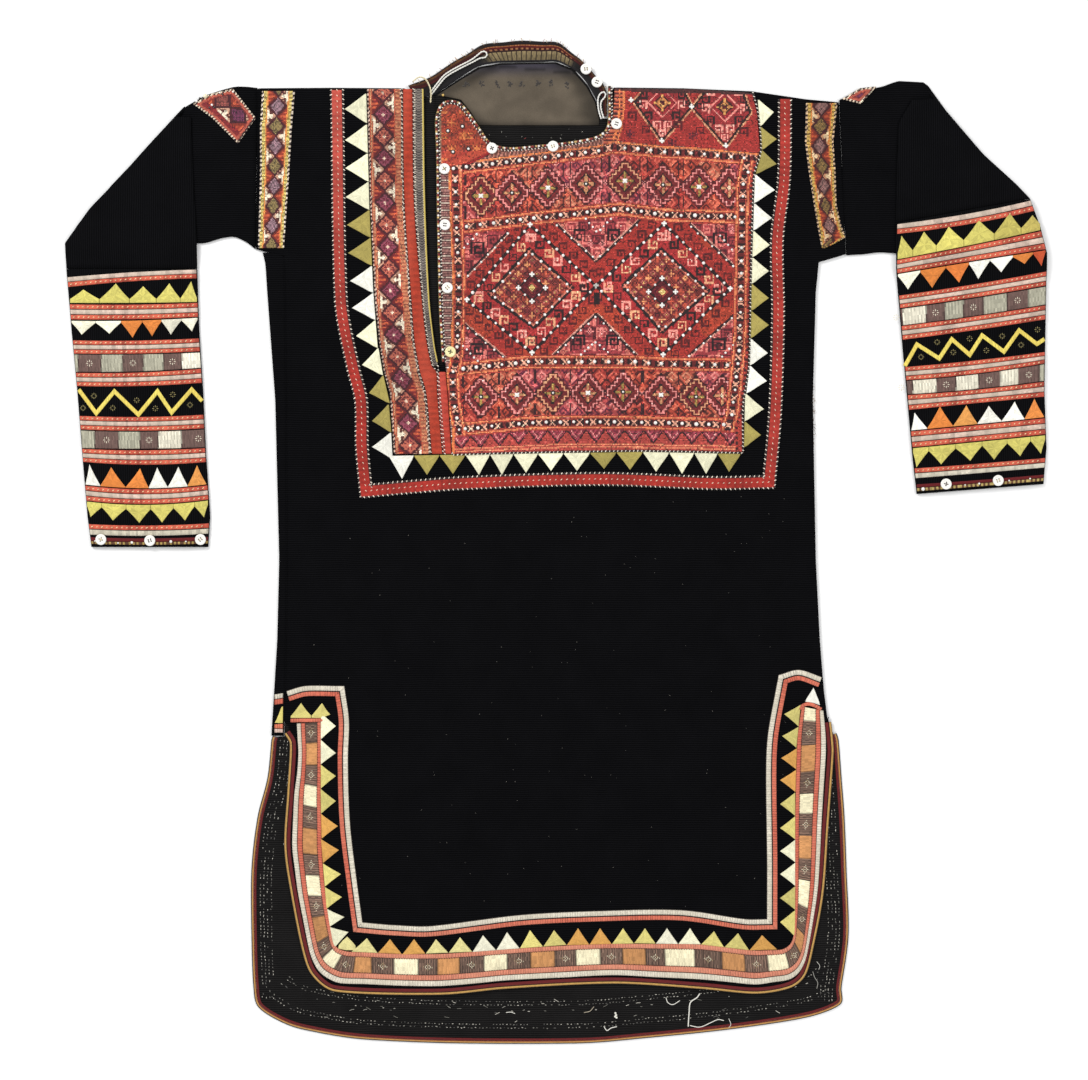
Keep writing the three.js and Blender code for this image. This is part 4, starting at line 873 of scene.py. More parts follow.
# rows: c0, e0, c1, e1, lift
UP_LEFT = Tube([(257.2, 87.5, 255.2, 249, 0.6), (246, 86.2, 245, 241, 1.4), (235, 86, 234, 236, 1.8), (222, 89.5, 221, 238, 1.5), (205, 95, 205, 243, 1.0), (184, 107, 184, 243.5, 0), (148, 146, 148, 243.5, 0), (110, 186, 110, 243.5, 0), (76, 228, 76, 243.5, 0)], const(0), False)
LOW_LEFT = Tube([(117, 176, 117, 191, 0), (145, 149, 145, 192, 0.5), (173, 124, 173, 193, 1.0), (208, 90, 208, 195, 1.4), (243, 65, 243, 197, 1.6), (268.5, 66, 268.5, 197, 1.8)], drop(247, 268.5, ONFOLD, 0.9))
CUFF_L = Tube([(268.9, 66, 268.9, 197, 1.8), (300, 68.6, 300, 198, 2.3), (330, 71, 330, 199, 2.6), (393, 77, 393, 203, 2.6), (457, 82, 457, 206, 2.2), (516, 87, 516, 210, 1.6), (547, 91, 547, 208, 0.8)], drop(270, 330, 0.9, 0.0))
UP_RIGHT = Tube([(839.6, 99.5, 846.7, 255, 0.6), (862, 89.5, 864, 254, 1.6), (882, 86.5, 880, 252, 1.4), (898, 80.5, 895.5, 253, 0), (926, 82, 926, 252.5, 0), (952, 118, 952, 252, 0), (984, 156, 984, 251.5, 0), (1012, 188, 1012, 251, 0), (1036, 222, 1036, 250.5, 0)], const(0), False)
LOW_RIGHT = Tube([(100, 912, 99, 936, 0), (122, 899, 120, 954, 0.6), (160, 897, 154, 983, 1.2), (196, 896.5, 184, 1016, 1.6), (222.6, 896.2, 198.6, 1030, 1.6)], const(ONFOLD))
CUFF_R = Tube([(223, 896.2, 199, 1030, 1.6), (246, 896, 226, 1040, 1.7), (268, 896, 253, 1047, 1.8), (290, 898, 273, 1047, 2.4), (350, 903, 330, 1046, 2.6), (404, 908, 392, 1045, 2.4), (460, 913, 448, 1047, 1.8), (494, 917, 484, 1044, 0.8)], drop(262, 284, ONFOLD + 0.3, 0.0))

for t, nm, node, m in [(UP_LEFT, "sleeve_left_upper", "sleeve_left", M_BLACK), (LOW_LEFT, "sleeve_left_lower", "sleeve_left", M_BLACKX), (UP_RIGHT, "sleeve_right_upper", "sleeve_right", M_BLACK), (LOW_RIGHT, "sleeve_right_lower", "sleeve_right", M_BLACKX)]:
    ob = t.mesh(nm, m, BLACK)
    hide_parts(node)
    t.ob = ob
for t, nm, node in [(CUFF_L, "cuff_left_cloth", "cuff_left"), (CUFF_R, "cuff_right_cloth", "cuff_right")]:
    ob = t.mesh(nm, M_BLACKX, BLACK)
    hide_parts(node)
    t.ob = ob


def crease(name, pts, side):
    """The rounded fold that joins the two sleeve parts."""
    p = curve(A(pts), 3.0)
    n = len(p)
    off = offset(p, side * 1.2)
    prof = [(-1.4, 0.6), (-1.1, 2.6), (-0.6, 4.6), (0.0, 5.3), (0.9, 5.5), (1.6, 5.2), (1.6, 0.6)]
    t = np.vstack([p[1:2] - p[:1], p[2:] - p[:-2], p[-1:] - p[-2:-1]])
    t /= np.linalg.norm(t, axis=1)[:, None]
    nrm = np.column_stack([-t[:, 1], t[:, 0]]) * -side
    V = []
    for i in range(n):
        k = min(1, min(i, n - 1 - i) / 4 + 0.35)
        for w, z in prof:
            q = off[i] + nrm[i] * (-w) * 1.0
            V.append((q[0], q[1], z if z < 1 else 0.6 + (z - 0.6) * k))
    m = len(prof)
    F = [(i * m + j, i * m + (j + 1) % m, (i + 1) * m + (j + 1) % m, (i + 1) * m + j) for i in range(n - 1) for j in range(m)]
    F += [tuple(range(m)), tuple((n - 1) * m + j for j in range(m - 1, -1, -1))]
    ob = make(name, V, F, M_BLACKX, np.array([BLACK], float), recalc=True)
    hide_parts("sleeve_left" if side > 0 else "sleeve_right")
    return ob


cr_l = crease("sleeve_left_fold", [(184, 106), (148, 145), (123, 173), (80, 221), (66, 243)], 1)
cr_r = crease("sleeve_right_fold", [(930, 90), (949, 114), (982, 153), (1010, 184), (1020, 196)], -1)

# ------------------------------------------------------------------ collar, lining, binding
PAIRS = [((408, 85), (412, 92)), ((419, 81), (428, 96)), ((432, 75.5), (444, 88)), ((452, 62), (460, 77)), ((468, 53), (478, 66)), ((483, 44), (496, 62.4)), ((503, 41.7), (508, 61.9)), ((522, 40), (522, 61.7)),
         ((542, 41), (540, 61.4)), ((558, 42), (556, 61)), ((571, 51.5), (567, 65.2)), ((583, 61), (577, 71.4)), ((596, 75.5), (586, 81.5)), ((603, 83), (591, 89.5)), ((607, 94), (597, 101)), ((607, 106), (599.5, 110)), ((607, 116), (601, 116))]


def collar():
    o, i = A([p[0] for p in PAIRS]), A([p[1] for p in PAIRS])
    q = curve(np.hstack([o, i]), 1.8)
    fr = np.array([0, 0.03, 0.1, 0.2, 0.25, 0.34, 0.42, 0.5, 0.56, 0.66, 0.8, 0.92, 0.98, 1.0])
    zz = np.array([1.2, 2.2, 2.75, 2.9, 2.78, 2.85, 2.8, 2.72, 2.85, 2.9, 2.9, 2.8, 2.3, 1.4])
    n = len(q)
    V = []
    for f, z in zip(fr, zz):
        p = q[:, :2] * (1 - f) + q[:, 2:] * f
        V.append(np.column_stack([p, np.full(n, z)]))
    for f in (0, 1):
        p = q[:, :2] * (1 - f) + q[:, 2:] * f
        V.append(np.column_stack([p, np.full(n, 0.05)]))
    a = len(fr)
    I = np.arange(n - 1)
    F, C = [], []
    palette = [(24, 22, 22), (24, 22, 22), (30, 24, 24), (150, 100, 52), (104, 28, 28), (128, 50, 38), (48, 28, 28), (100, 82, 60), (106, 88, 64), (98, 82, 60), (86, 70, 54), (36, 34, 36), (22, 22, 26)]
    for k in range(a - 1):
        F.append(np.column_stack([k * n + I, k * n + I + 1, (k + 1) * n + I + 1, (k + 1) * n + I]))
        c = np.tile(np.array([palette[k]], float), (n - 1, 1))
        if k == 3:
            c[I % 2 == 0] = (176, 136, 92)
        if k == 5:
            c[I % 4 < 2] = (168, 132, 88)
            c[I % 4 >= 2] = (62, 26, 26)
        if k in (7, 8, 9, 10):
            c[:] = (128, 112, 80)
            c[I % 4 == 0] = (62, 52, 40)
            c *= (1.1 - 0.07 * (k - 7))
        qx = (q[:-1, 0] + q[1:, 0]) / 2 + BX
        w_ = (sstep((qx - 470) / 14) * sstep((580 - qx) / 10))[:, None]
        plain = np.array([[(24, 22, 22), (24, 22, 22), (96, 72, 40), (60, 44, 30), (72, 26, 26), (84, 28, 28), (34, 24, 24), (24, 22, 23), (22, 21, 22), (22, 21, 22), (26, 24, 26), (30, 28, 32), (22, 22, 26)][k]], float)
        c = c * w_ + plain * (1 - w_)
        C.append(c * (np.array([[0.84, 0.70, 0.68]]) if k < 7 else 0.92) * speckle(n - 1, 0.14))
    F.append(np.column_stack([a * n + I, (a + 1) * n + I, (a + 1) * n + I + 1, a * n + I + 1])); C.append(np.tile([[24., 22, 22]], (n - 1, 1)))
    F.append(np.column_stack([a * n + I, a * n + I + 1, I + 1, I])); C.append(np.tile([[24., 22, 22]], (n - 1, 1)))
    F.append(np.column_stack([(a + 1) * n + I + 1, (a + 1) * n + I, (a - 1) * n + I, (a - 1) * n + I + 1])); C.append(np.tile([[24., 22, 22]], (n - 1, 1)))
    F = [tuple(f) for f in np.vstack(F)]
    F.append(tuple([a * n] + [k * n for k in range(a)] + [(a + 1) * n]))
    F.append(tuple([(a + 1) * n + n - 1] + [k * n + n - 1 for k in range(a - 1, -1, -1)] + [a * n + n - 1]))
    C = np.vstack(C + [np.array([[24., 22, 22]] * 2)])
    ob = make("collar_cloth", np.vstack(V), F, M_STRIP, np.clip(C, 0, 255), recalc=True)
    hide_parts("collar_stand")
    return ob, q


collar_ob, collar_q = collar()


def lining_col(bx, by, z):
    # painted shadow: the top of the lining, under the collar, is darkened to a blue-black
    t = sstep((by - 64) / 16)[:, None]
    c = np.array([[58., 55, 64]]) * (1 - t) + np.array([[92., 83, 71]]) * t
    n = np.sin(bx * 0.11 + 1.3 * np.sin(by * 0.13)) * np.sin(by * 0.23 + bx * 0.05)
    c = c * (1 + 0.05 * n)[:, None]
    # painted shade: darker towards its left and right sides, next to the neck edge and the collar
    side = np.minimum(np.abs(bx - np.interp(by, [64, 95, 125], [497, 437, 479])), np.abs(np.interp(by, [64, 85, 125], [562, 586, 599]) - bx))
    c = c * (0.66 + 0.34 * sstep(side / 22))[:, None]
    # painted shade: a darker line along the crease near the top
    crease_shade_mask = np.abs(by - 69.5 - 3 * np.sin(bx * 0.035)) < 1.0
    c[crease_shade_mask] *= 0.72
    # painted shade: darker towards the bottom edge, under the neck edge
    edge = sstep((by - 119) / 7)[:, None]
    return c * (1 - 0.3 * edge)


lin_loop = poly(np.vstack([A(LINING), A(LINING)[:1]]), 3)[:-1]
lining = shell("neck_lining_cloth", lin_loop, 3, lambda X, Y: 1.63 + 0.12 * (1 + np.sin(X * 0.15 + 1) * np.sin(Y * 0.11)) , 0.62, M_LINING, (95, 85, 72), rim=0.3, colf=lining_col)
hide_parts("neck_lining")

bind_path = soft(np.vstack([neck[:-2], A([(608.4, 112), (608.0, 99), (608.0, 86)])]))


def bind_col(k, s, x, y):
    c = np.tile(np.array([[52., 26, 24]]), (len(k), 1))
    ph = (s / 6.6) % 1
    c[(ph < 0.42)] = (150, 40, 36)
    c[(ph >= 0.72)] = (196, 164, 104)
    c[(k <= 0)] = (150, 132, 66)
    c[(k == 0) & ((s / 2.1) % 1 < 0.35)] = (92, 88, 46)
    c[k == 4] = (60, 28, 28)
    return np.clip(c * speckle(len(k), 0.12), 0, 255)


binding = ribbon("neck_binding", bind_path, [0.0, -0.35, -0.9, -1.6, -2.3, -2.95], [1.2, 2.5, 2.95, 3.0, 2.95, 2.0], M_THREAD, bind_col, step=0.9, thick=2.95)
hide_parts("neckline_binding")


# ------------------------------------------------------------------ applied strips
def lane(pairs, fr, step=3.0):
    """Lines at fractions between two matched edges given as ((x, y), (x, y)) rows on the board."""
    q = curve(np.hstack([A([p[0] for p in pairs]), A([p[1] for p in pairs])]), step)
    return [q[:, :2] * (1 - f) + q[:, 2:] * f for f in fr]


def lanes(name, L, zprof, mat, colf, zfun=None, thick=None, caps=True):
    zfun = zfun or rise
    G = np.stack(L)
    a, n = G.shape[:2]
    mid = (G[0] + G[-1]) / 2
    S = np.concatenate([[0], np.cumsum(np.linalg.norm(np.diff(mid, axis=0), axis=1))])
    Z = zfun(G[..., 0].ravel(), G[..., 1].ravel()).reshape(a, n)
    top = np.dstack([G, Z + np.array(zprof)[:, None]])
    low = max(zprof) - (thick or 0.9)
    bot = np.dstack([G[[0, -1]], Z[[0, -1]] + low])
    V = np.vstack([top.reshape(-1, 3), bot.reshape(-1, 3)])
    I = np.arange(n - 1)
    m = (S[:-1] + S[1:]) / 2
    F, K, SS = [], [], []
    for k in range(a - 1):
        F.append(np.column_stack([k * n + I, k * n + I + 1, (k + 1) * n + I + 1, (k + 1) * n + I])); K.append(np.full(n - 1, k)); SS.append(m)
    b0, b1 = a * n, a * n + n
    F.append(np.column_stack([b0 + I, b1 + I, b1 + I + 1, b0 + I + 1])); K.append(np.full(n - 1, 0)); SS.append(m)
    F.append(np.column_stack([b0 + I, b0 + I + 1, I + 1, I])); K.append(np.full(n - 1, 0)); SS.append(m)
    F.append(np.column_stack([b1 + I + 1, b1 + I, (a - 1) * n + I, (a - 1) * n + I + 1])); K.append(np.full(n - 1, a - 2)); SS.append(m)
    K, SS, F = np.concatenate(K), np.concatenate(SS), np.vstack(F)
    cen = V[F].mean(1)
    faces = [tuple(f) for f in F]
    faces.append(tuple([b0] + [k * n for k in range(a)] + [b1]))
    faces.append(tuple([b1 + n - 1] + [k * n + n - 1 for k in range(a - 1, -1, -1)] + [b0 + n - 1]))
    cols = colf(K, SS, cen[:, 0] + BX, BY - cen[:, 1])
    cols = np.vstack([cols, cols[:1], cols[-1:]])
    return make(name, V, faces, mat, cols, recalc=True)


def corded(col, dark=0.80, pitch=2.4, amount=0.07, worn=None, wear=0.0):
    """Strip cloth gathered over a cord: a darker groove every pitch, which is painted shade."""
    c = np.array(col, float)
    def f(k, s, x, y):
        q = np.tile(c[None], (len(k), 1)) * speckle(len(k), amount)
        # painted shade in the groove of each pitch
        q[(s / pitch) % 1 < 0.36] *= dark
        if worn is not None:
            n = 0.5 + 0.5 * np.sin(s * 0.071 + 2 * np.sin(s * 0.013))
            q = q * (1 - wear * n[:, None]) + np.array([worn], float) * (wear * n[:, None])
        return np.clip(q, 0, 255)
    return f


def s_of(line, pts):
    S = np.concatenate([[0], np.cumsum(np.linalg.norm(np.diff(line, axis=0), axis=1))])
    return np.array([S[((line - p) ** 2).sum(1).argmin()] for p in pts])


def along(P, d, pitch, start=0.0):
    """Points and directions every pitch along a path moved sideways by d."""
    L = offset(np.asarray(P, float), d)
    D = np.concatenate([[0], np.cumsum(np.linalg.norm(np.diff(L, axis=0), axis=1))])
    s = np.arange(start, D[-1], pitch)
    x, y = np.interp(s, D, L[:, 0]), np.interp(s, D, L[:, 1])
    e = 0.6
    x1, y1 = np.interp(np.minimum(s + e, D[-1]), D, L[:, 0]), np.interp(np.minimum(s + e, D[-1]), D, L[:, 1])
    x0, y0 = np.interp(np.maximum(s - e, 0), D, L[:, 0]), np.interp(np.maximum(s - e, 0), D, L[:, 1])
    return x, y, np.arctan2(y1 - y0, x1 - x0), s


whips = Bag()


def whip(P, d, pitch=2.3, z=0.0, ln=2.6, w=1.1, h=0.45, turn=62, cols=((238, 226, 208), (38, 26, 26)), zfun=None, bag=None, jit=0.15):
    """Whip stitches along an edge, their colours in turn."""
    x, y, a, s = along(P, d, pitch)
    n = len(x)
    zf = zfun or rise
    zz = zf(x, y) + z
    c = np.array(cols, float)[np.arange(n) % len(cols)] * speckle(n, 0.10)
    (bag or whips).stitch(x, y, zz, a + math.radians(turn) + RNG.randn(n) * 0.08, ln * (1 + RNG.randn(n) * 0.08), w, h * (1 + RNG.randn(n) * jit), np.clip(c, 0, 255))


border_path = soft(A(BORDER), [i for i in range(1, len(BORDER) - 1) if abs(np.cross(np.array(BORDER[i]) - BORDER[i - 1], np.array(BORDER[i + 1]) - BORDER[i])) > 0.5 * np.linalg.norm(np.array(BORDER[i]) - BORDER[i - 1]) * np.linalg.norm(np.array(BORDER[i + 1]) - BORDER[i])], 2.5)


def border_col(k, s, x, y):
    t = sstep((y - 90) / 330)[:, None] * sstep((440 - x) / 60)[:, None] + (x > 440)[:, None] * 1.0
    t = np.clip(t + (y > 470)[:, None], 0, 1)
    c = np.array([[194., 80, 67]]) * (1 - t) + np.array([[192., 52, 42]]) * t
    right = ((x > 740) & (y < 470))[:, None]
    c = np.where(right, np.array([[198., 60, 50]]), c)
    c = c * (1 + 0.05 * np.sin(s * 0.9) + 0.06 * np.sin(s * 0.11 + 1))[:, None] * speckle(len(k), 0.07)
    c[(k <= 0) | (k >= 7)] = (52, 26, 26)
    return np.clip(c, 0, 255)


bo = ribbon("bib_border_strip", border_path, [-6.4, -5.5, -4.6, -2.4, -0.5, 0.5, 2.4, 4.6, 5.5, 6.4], [ON + 0.35, ON + 0.8, ON + 0.95, ON + 1.02, ON + 0.92, ON + 0.92, ON + 1.02, ON + 0.95, ON + 0.8, ON + 0.35], M_COTTON, border_col, step=2.0, thick=1.0)
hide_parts("bib_border")
for d, tn in ((6.0, 58), (-6.0, -58)):
    whip(border_path, d, 2.35, ON + 0.75, 2.9, 1.15, 0.5, tn)
whip(border_path, 0.0, 5.6, ON + 0.95, 2.4, 0.8, 0.35, 28, cols=((236, 216, 190),))


# the white and salmon hem strip
HEM_STRIP = [(288, 696), (306, 691), (340, 691), (344, 721), (343, 759), (345, 823), (352, 883), (358, 927), (393, 930), (431, 931), (521, 920), (598, 916), (680, 915), (744, 924), (772, 924), (772, 860), (771, 772), (773, 734), (783, 679), (799, 675), (820, 682)]
hs_path = soft(A(HEM_STRIP), (2, 7, 14, 18), 2.0)
hz = [0.3, 0.75, 0.98, 1.02, 0.85, 0.25, 0.25, 0.8, 1.0, 1.05, 0.85, 0.3]
hs_off = [-5.5, -5.1, -3.9, -2.6, -1.0, -0.45, 0.15, 0.6, 1.8, 3.4, 4.8, 5.4]


def hem_salmon(k, s, x, y):
    a = corded(SALMON, 0.8, 2.5, worn=(222, 134, 108), wear=0.35)(k, s, x, y)
    b = corded((212, 136, 110), 0.82, 2.5, worn=(224, 158, 130), wear=0.35)(k, s, x, y)
    w = (sstep((y - 915) / 30) * 0.85)[:, None]
    return a * (1 - w) + b * w


def hem_strip_col(k, s, x, y):
    c = hem_salmon(k, s, x, y)
    w = corded((222, 214, 196), 0.86, 2.5, worn=(196, 188, 168), wear=0.45)(k, s, x, y)
    c = np.where((k >= 6)[:, None], w, c)
    c[(k == 4) | (k == 5)] = (36, 24, 24)
    c[(k == 0)] = (70, 30, 28)
    c[(k == 10)] = (60, 54, 50)
    return c


ho = ribbon("hem_strip_cloth", hs_path, hs_off, [ON + q for q in hz], M_STRIP, hem_strip_col, step=1.25, thick=1.0)
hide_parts("hem_strip")

# bands between the triangles and the hem
HEM_PAIRS = [((290, 724), (321, 722)), ((291, 738), (321, 737)), ((292, 754), (321, 750)), ((290.5, 772), (321, 775)), ((287, 792), (321, 800)), ((285, 820), (321.5, 826)), ((284, 846), (322, 850)), ((287, 870), (323.5, 872)), ((290, 891), (325.5, 893)),
             ((296, 921), (328.5, 915)), ((302, 951), (332, 933)), ((306, 964), (334, 942)), ((313, 977), (338, 948)), ((323, 986), (344, 950.5)), ((337, 992), (350, 951.5)), ((365, 993), (365, 952)), ((400, 994.5), (400, 953.6)), ((439, 995), (439, 953.5)), ((472, 992.5), (471, 951.5)),
             ((506, 989), (506, 949)), ((560, 986.5), (559, 945.5)), ((613, 984), (612, 943.5)), ((657, 986.5), (655, 943.5)), ((700, 989), (699, 944)), ((728, 991.5), (726, 947)), ((756, 994), (752, 950)), ((775, 991), (770, 949.8)), ((791, 988), (782, 949)), ((801, 981), (789, 945)),
             ((808, 969), (792.5, 939)), ((812, 955), (794, 931)), ((818, 925), (795, 910)), ((824, 892), (795, 885)), ((827, 857), (795, 855)), ((829, 823), (795, 823)), ((831.5, 788), (795.5, 790)), ((834, 753), (796.5, 757)), ((833.5, 735), (797.5, 735)), ((829.5, 712), (801.5, 706.5))]
bz = lambda *q: [ON + v for v in q]
wl = lane(HEM_PAIRS, [0.218, 0.235, 0.28, 0.325, 0.345], 1.25)
w_ob = lanes("hem_white_band", wl, bz(0.2, 0.7, 0.95, 0.7, 0.2), M_STRIP, corded((222, 214, 196), 0.86, 2.5, worn=(200, 190, 168), wear=0.4))
sl = lane(HEM_PAIRS, [0.36, 0.378, 0.42, 0.465, 0.484], 1.25)
s1 = lanes("hem_salmon_band_outer", sl, bz(0.2, 0.7, 0.95, 0.7, 0.2), M_STRIP, hem_salmon)
sl2 = lane(HEM_PAIRS, [0.882, 0.9, 0.94, 0.975, 0.99], 1.25)
s2 = lanes("hem_salmon_band_inner", sl2, bz(0.2, 0.7, 0.95, 0.7, 0.2), M_STRIP, hem_salmon)
bl = lane(HEM_PAIRS, [0.492, 0.51, 0.58, 0.68, 0.78, 0.855, 0.876], 1.5)
bl_mid = bl[3]
BL = [((308, 723), 0), ((308, 742.5), 1), ((308, 764.5), 0), ((307, 785), 2), ((307, 806), 0), ((306, 828.5), 1), ((306, 855), 0), ((307, 875.5), 2), ((309, 896.5), 0), ((312, 917), 1), ((316, 941), 0), ((322, 957), 2), ((335.5, 968), 0)]
BL += [((x, 966), c) for x, c in [(354, 1), (372, 0), (394, 2), (418, 0), (437, 1), (460, 0), (484, 2), (508, 0), (531, 1), (555, 0), (576, 2), (601, 0), (622, 1), (645, 0), (665, 2), (694, 0), (721, 1), (745, 0), (768, 2), (790, 0)]]
BL += [((808, y), c) for y, c in [(952, 1), (932, 0), (907, 2), (880, 0), (859, 1), (836, 0), (814, 2), (794, 0), (772, 1), (745, 0), (721, 2)]]
bl_s = s_of(bl_mid, A([b[0] for b in BL]))
bl_c = np.array([b[1] for b in BL])
BLOCK_COLS = np.array([(108, 86, 74), (194, 138, 88), (236, 226, 190)], float)
tint = 1 + 0.045 * RNG.randn(len(BL), 1)


def block_col(k, s, x, y):
    i = np.clip(np.searchsorted(bl_s, s, side="right") - 1, 0, len(bl_s) - 1)
    c = BLOCK_COLS[bl_c[i]] * tint[i]
    c = c * (1 + 0.03 * np.sin(x * 0.21 + y * 0.17) * np.sin(y * 0.19))[:, None]
    br_ = bl_c[i] == 0
    c[br_] *= (1 + 0.30 * np.sin(s * 2.6 + 0.7 * np.sin(x + y)) * (np.abs(np.sin(s * 0.37)) > 0.3))[br_][:, None]
    near_ = np.abs(s[:, None] - bl_s[None]).min(1) < 0.8
    c[near_] *= 0.72
    return np.clip(c * speckle(len(k), 0.08), 0, 255)


b_ob = lanes("hem_block_cloth", bl, bz(0.2, 0.65, 0.9, 0.97, 0.9, 0.65, 0.2), M_COTTON, block_col)
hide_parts("hem_block_band")
for d in (0.0,):
    for L in (bl[0], bl[-1]):
        whip(L, 0, 2.5, ON + 0.42, 1.7, 0.7, 0.25, 90, cols=((60, 28, 26),))

marks = Bag()
S_bl = np.concatenate([[0], np.cumsum(np.linalg.norm(np.diff(bl_mid, axis=0), axis=1))])
for i in range(len(bl_s)):
    if bl_c[i] != 0:
        continue
    s0, s1_ = bl_s[i], bl_s[i + 1] if i + 1 < len(bl_s) else S_bl[-1]
    sm = (s0 + s1_) / 2
    cx, cy = np.interp(sm, S_bl, bl_mid[:, 0]), np.interp(sm, S_bl, bl_mid[:, 1])
    tx, ty = np.interp(sm + 1, S_bl, bl_mid[:, 0]) - cx, np.interp(sm + 1, S_bl, bl_mid[:, 1]) - cy
    a = math.atan2(ty, tx)
    ca, sa = math.cos(a), math.sin(a)
    st = [(0, 2.6, 90, 2.6), (0, -2.6, 90, 2.6), (-2.4, 0.0, 90, 2.6), (2.4, 0.0, 90, 2.6), (-1.3, 1.4, 0, 1.8), (1.3, 1.4, 0, 1.8), (-1.3, -1.5, 0, 1.8), (1.3, -1.5, 0, 1.8), (0, 0, 90, 1.4), (-4.2, 0.6, 90, 1.6), (4.2, -0.6, 90, 1.6)]
    for u, v, t, ln in st:
        x, y = cx + u * ca - v * sa, cy + u * sa + v * ca
        marks.stitch([x], [y], [rise(np.array([x]), np.array([y]))[0] + ON + 0.95], [a + math.radians(t)], [ln], [0.75], [0.3], [(226, 216, 186)] if RNG.rand() > 0.25 else [(170, 150, 110)])
mk = marks.make("hem_block_stitches", M_THREAD)


# ------------------------------------------------------------------ triangles
def plate(bag, loop, base, t, col, zfun=None, amount=0.05, puff=0.18):
    """A small applied plate with a rounded edge."""
    zf = zfun or rise
    loop = ccw(np.asarray(loop, float))
    n = len(loop)
    c = loop.mean(0)
    rings = [(1.0, 0.0), (1.0, 0.55), (0.93, 0.92), (0.6, 1.0 + puff * 0.7)]
    V = []
    for f, h in rings:
        p = c + (loop - c) * f
        V.append(np.column_stack([p, zf(p[:, 0], p[:, 1]) + base + t * h]))
    V.append(np.array([[c[0], c[1], zf(c[:1], c[1:2])[0] + base + t * (1 + puff)]]))
    V.append(np.array([[c[0], c[1], zf(c[:1], c[1:2])[0] + base]]))
    V = np.vstack(V)
    F = []
    for r in range(3):
        for i in range(n):
            j = (i + 1) % n
            a, b, d, e = r * n + i, r * n + j, (r + 1) * n + j, (r + 1) * n + i
            F += [(a, b, d), (a, d, e)]
    top, bot = 4 * n, 4 * n + 1
    for i in range(n):
        j = (i + 1) % n
        F += [(3 * n + i, 3 * n + j, top), (j, i, bot)]
    bag.v.append(V); bag.f.append(np.array(F) + bag.n); bag.n += len(V)
    bag.c.append(np.clip(np.tile(np.array([col], float), (len(F), 1)) * speckle(len(F), amount), 0, 255))


def foot(line, p):
    best, far = None, 1e9
    for i in range(1, len(line)):
        a, d = line[i - 1], line[i] - line[i - 1]
        t = min(1, max(0, float(np.dot(p - a, d) / np.dot(d, d))))
        q = a + d * t
        f = np.linalg.norm(q - p)
        if f < far:
            far, best = f, (q, i - 1 + t, d / np.linalg.norm(d))
    return best


def toothed(name, tips, base, cols, node, mat=None, t=0.75, back=0.0, half=None):
    """Applied triangles from a base line to each tip."""
    line = A(base)
    T = A(tips)
    bag = Bag()
    feet = [foot(line, p) for p in T]
    for i, p in enumerate(T):
        q, s, d = feet[i]
        def gap(j):
            if 0 <= j < len(T):
                return np.linalg.norm(feet[j][0] - q) / 2
            return None
        g0, g1 = gap(i - 1), gap(i + 1)
        g0, g1 = g0 or g1, g1 or g0
        g0, g1 = min(g0, 15), min(g1, 15)
        L, R = q - d * (g0 - 0.25), q + d * (g1 - 0.25)
        out = (p - q) / (np.linalg.norm(p - q) + 1e-9)
        L0, R0 = L - out * back, R - out * back
        n = 7
        e1 = [L + (p - L) * k / n - out * 0.35 * math.sin(math.pi * k / n) for k in range(n)]
        e2 = [p + (R - p) * k / n - out * 0.35 * math.sin(math.pi * k / n) for k in range(n)]
        b = [R0 + (L0 - R0) * k / 5 for k in range(6)]
        c = np.array(cols[i], float) * (1 + 0.03 * RNG.randn())
        plate(bag, e1 + e2 + b, ON, t, c, amount=0.06)
    ob = bag.make(name, mat or M_COTTON)
    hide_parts(node)
    return ob


cr, wh, ol = (236, 233, 200), (240, 238, 226), (164, 150, 82)
T_LEFT = [(344.6, 109), (344.9, 140), (345.2, 168), (345.6, 197), (346.8, 225), (348, 253), (350, 281), (352, 308), (356, 336), (362, 365), (369, 393), (372, 421), (372, 447)]
T_BOTTOM = [(402, 479), (427, 475), (453, 474), (479, 475), (502, 475), (526, 473), (551, 471), (577, 471), (604, 469), (630, 470), (656, 472), (682, 474), (706, 474), (729, 472)]
T_RIGHT = [(774, 112), (777, 139), (776.8, 164), (775, 190), (772, 218), (770, 245), (769, 271), (769, 298), (769, 325), (768, 353), (767, 381), (764, 409), (761, 435)]
B_LEFT = [(365, 92), (368, 200), (372, 290), (376, 340), (381, 370), (387, 396), (389.5, 424), (391, 450)]
B_BOTTOM = [(393.5, 457), (515, 455), (640, 453), (741, 455)]
B_RIGHT = [(759, 99), (763, 150), (756, 178), (753, 269), (751, 364), (746, 406), (745, 450)]
toothed("teeth_left", T_LEFT, B_LEFT, [cr, cr, cr, cr, ol, ol, wh, wh, cr, cr, ol, ol, wh], "dogtooth_left", back=1.2)
toothed("teeth_bottom", T_BOTTOM, B_BOTTOM, [wh, ol, ol, cr, cr, cr, cr, cr, ol, ol, cr, cr, cr, ol], "dogtooth_bottom", back=1.2)
toothed("teeth_right", T_RIGHT, B_RIGHT, [cr, ol, ol, wh, wh, cr, cr, ol, ol, wh, wh, cr, ol], "dogtooth_right", back=1.2)
H_TIPS = [(336, 726), (336, 753), (336, 776), (336, 801), (338, 826), (339, 850), (341, 874), (342, 897), (344.5, 917), (348.5, 932), (367, 938), (390, 939), (414, 939), (436, 939), (460, 937), (483, 935), (507, 932), (530, 930), (554, 930), (578, 928),
          (600, 928), (623, 928), (645, 928), (667, 928), (690, 928), (714, 931), (738, 933), (762, 935), (780, 922), (780, 898), (780, 874), (780, 851), (780, 828), (780, 804), (780, 780), (781, 758), (782, 736), (784, 714)]
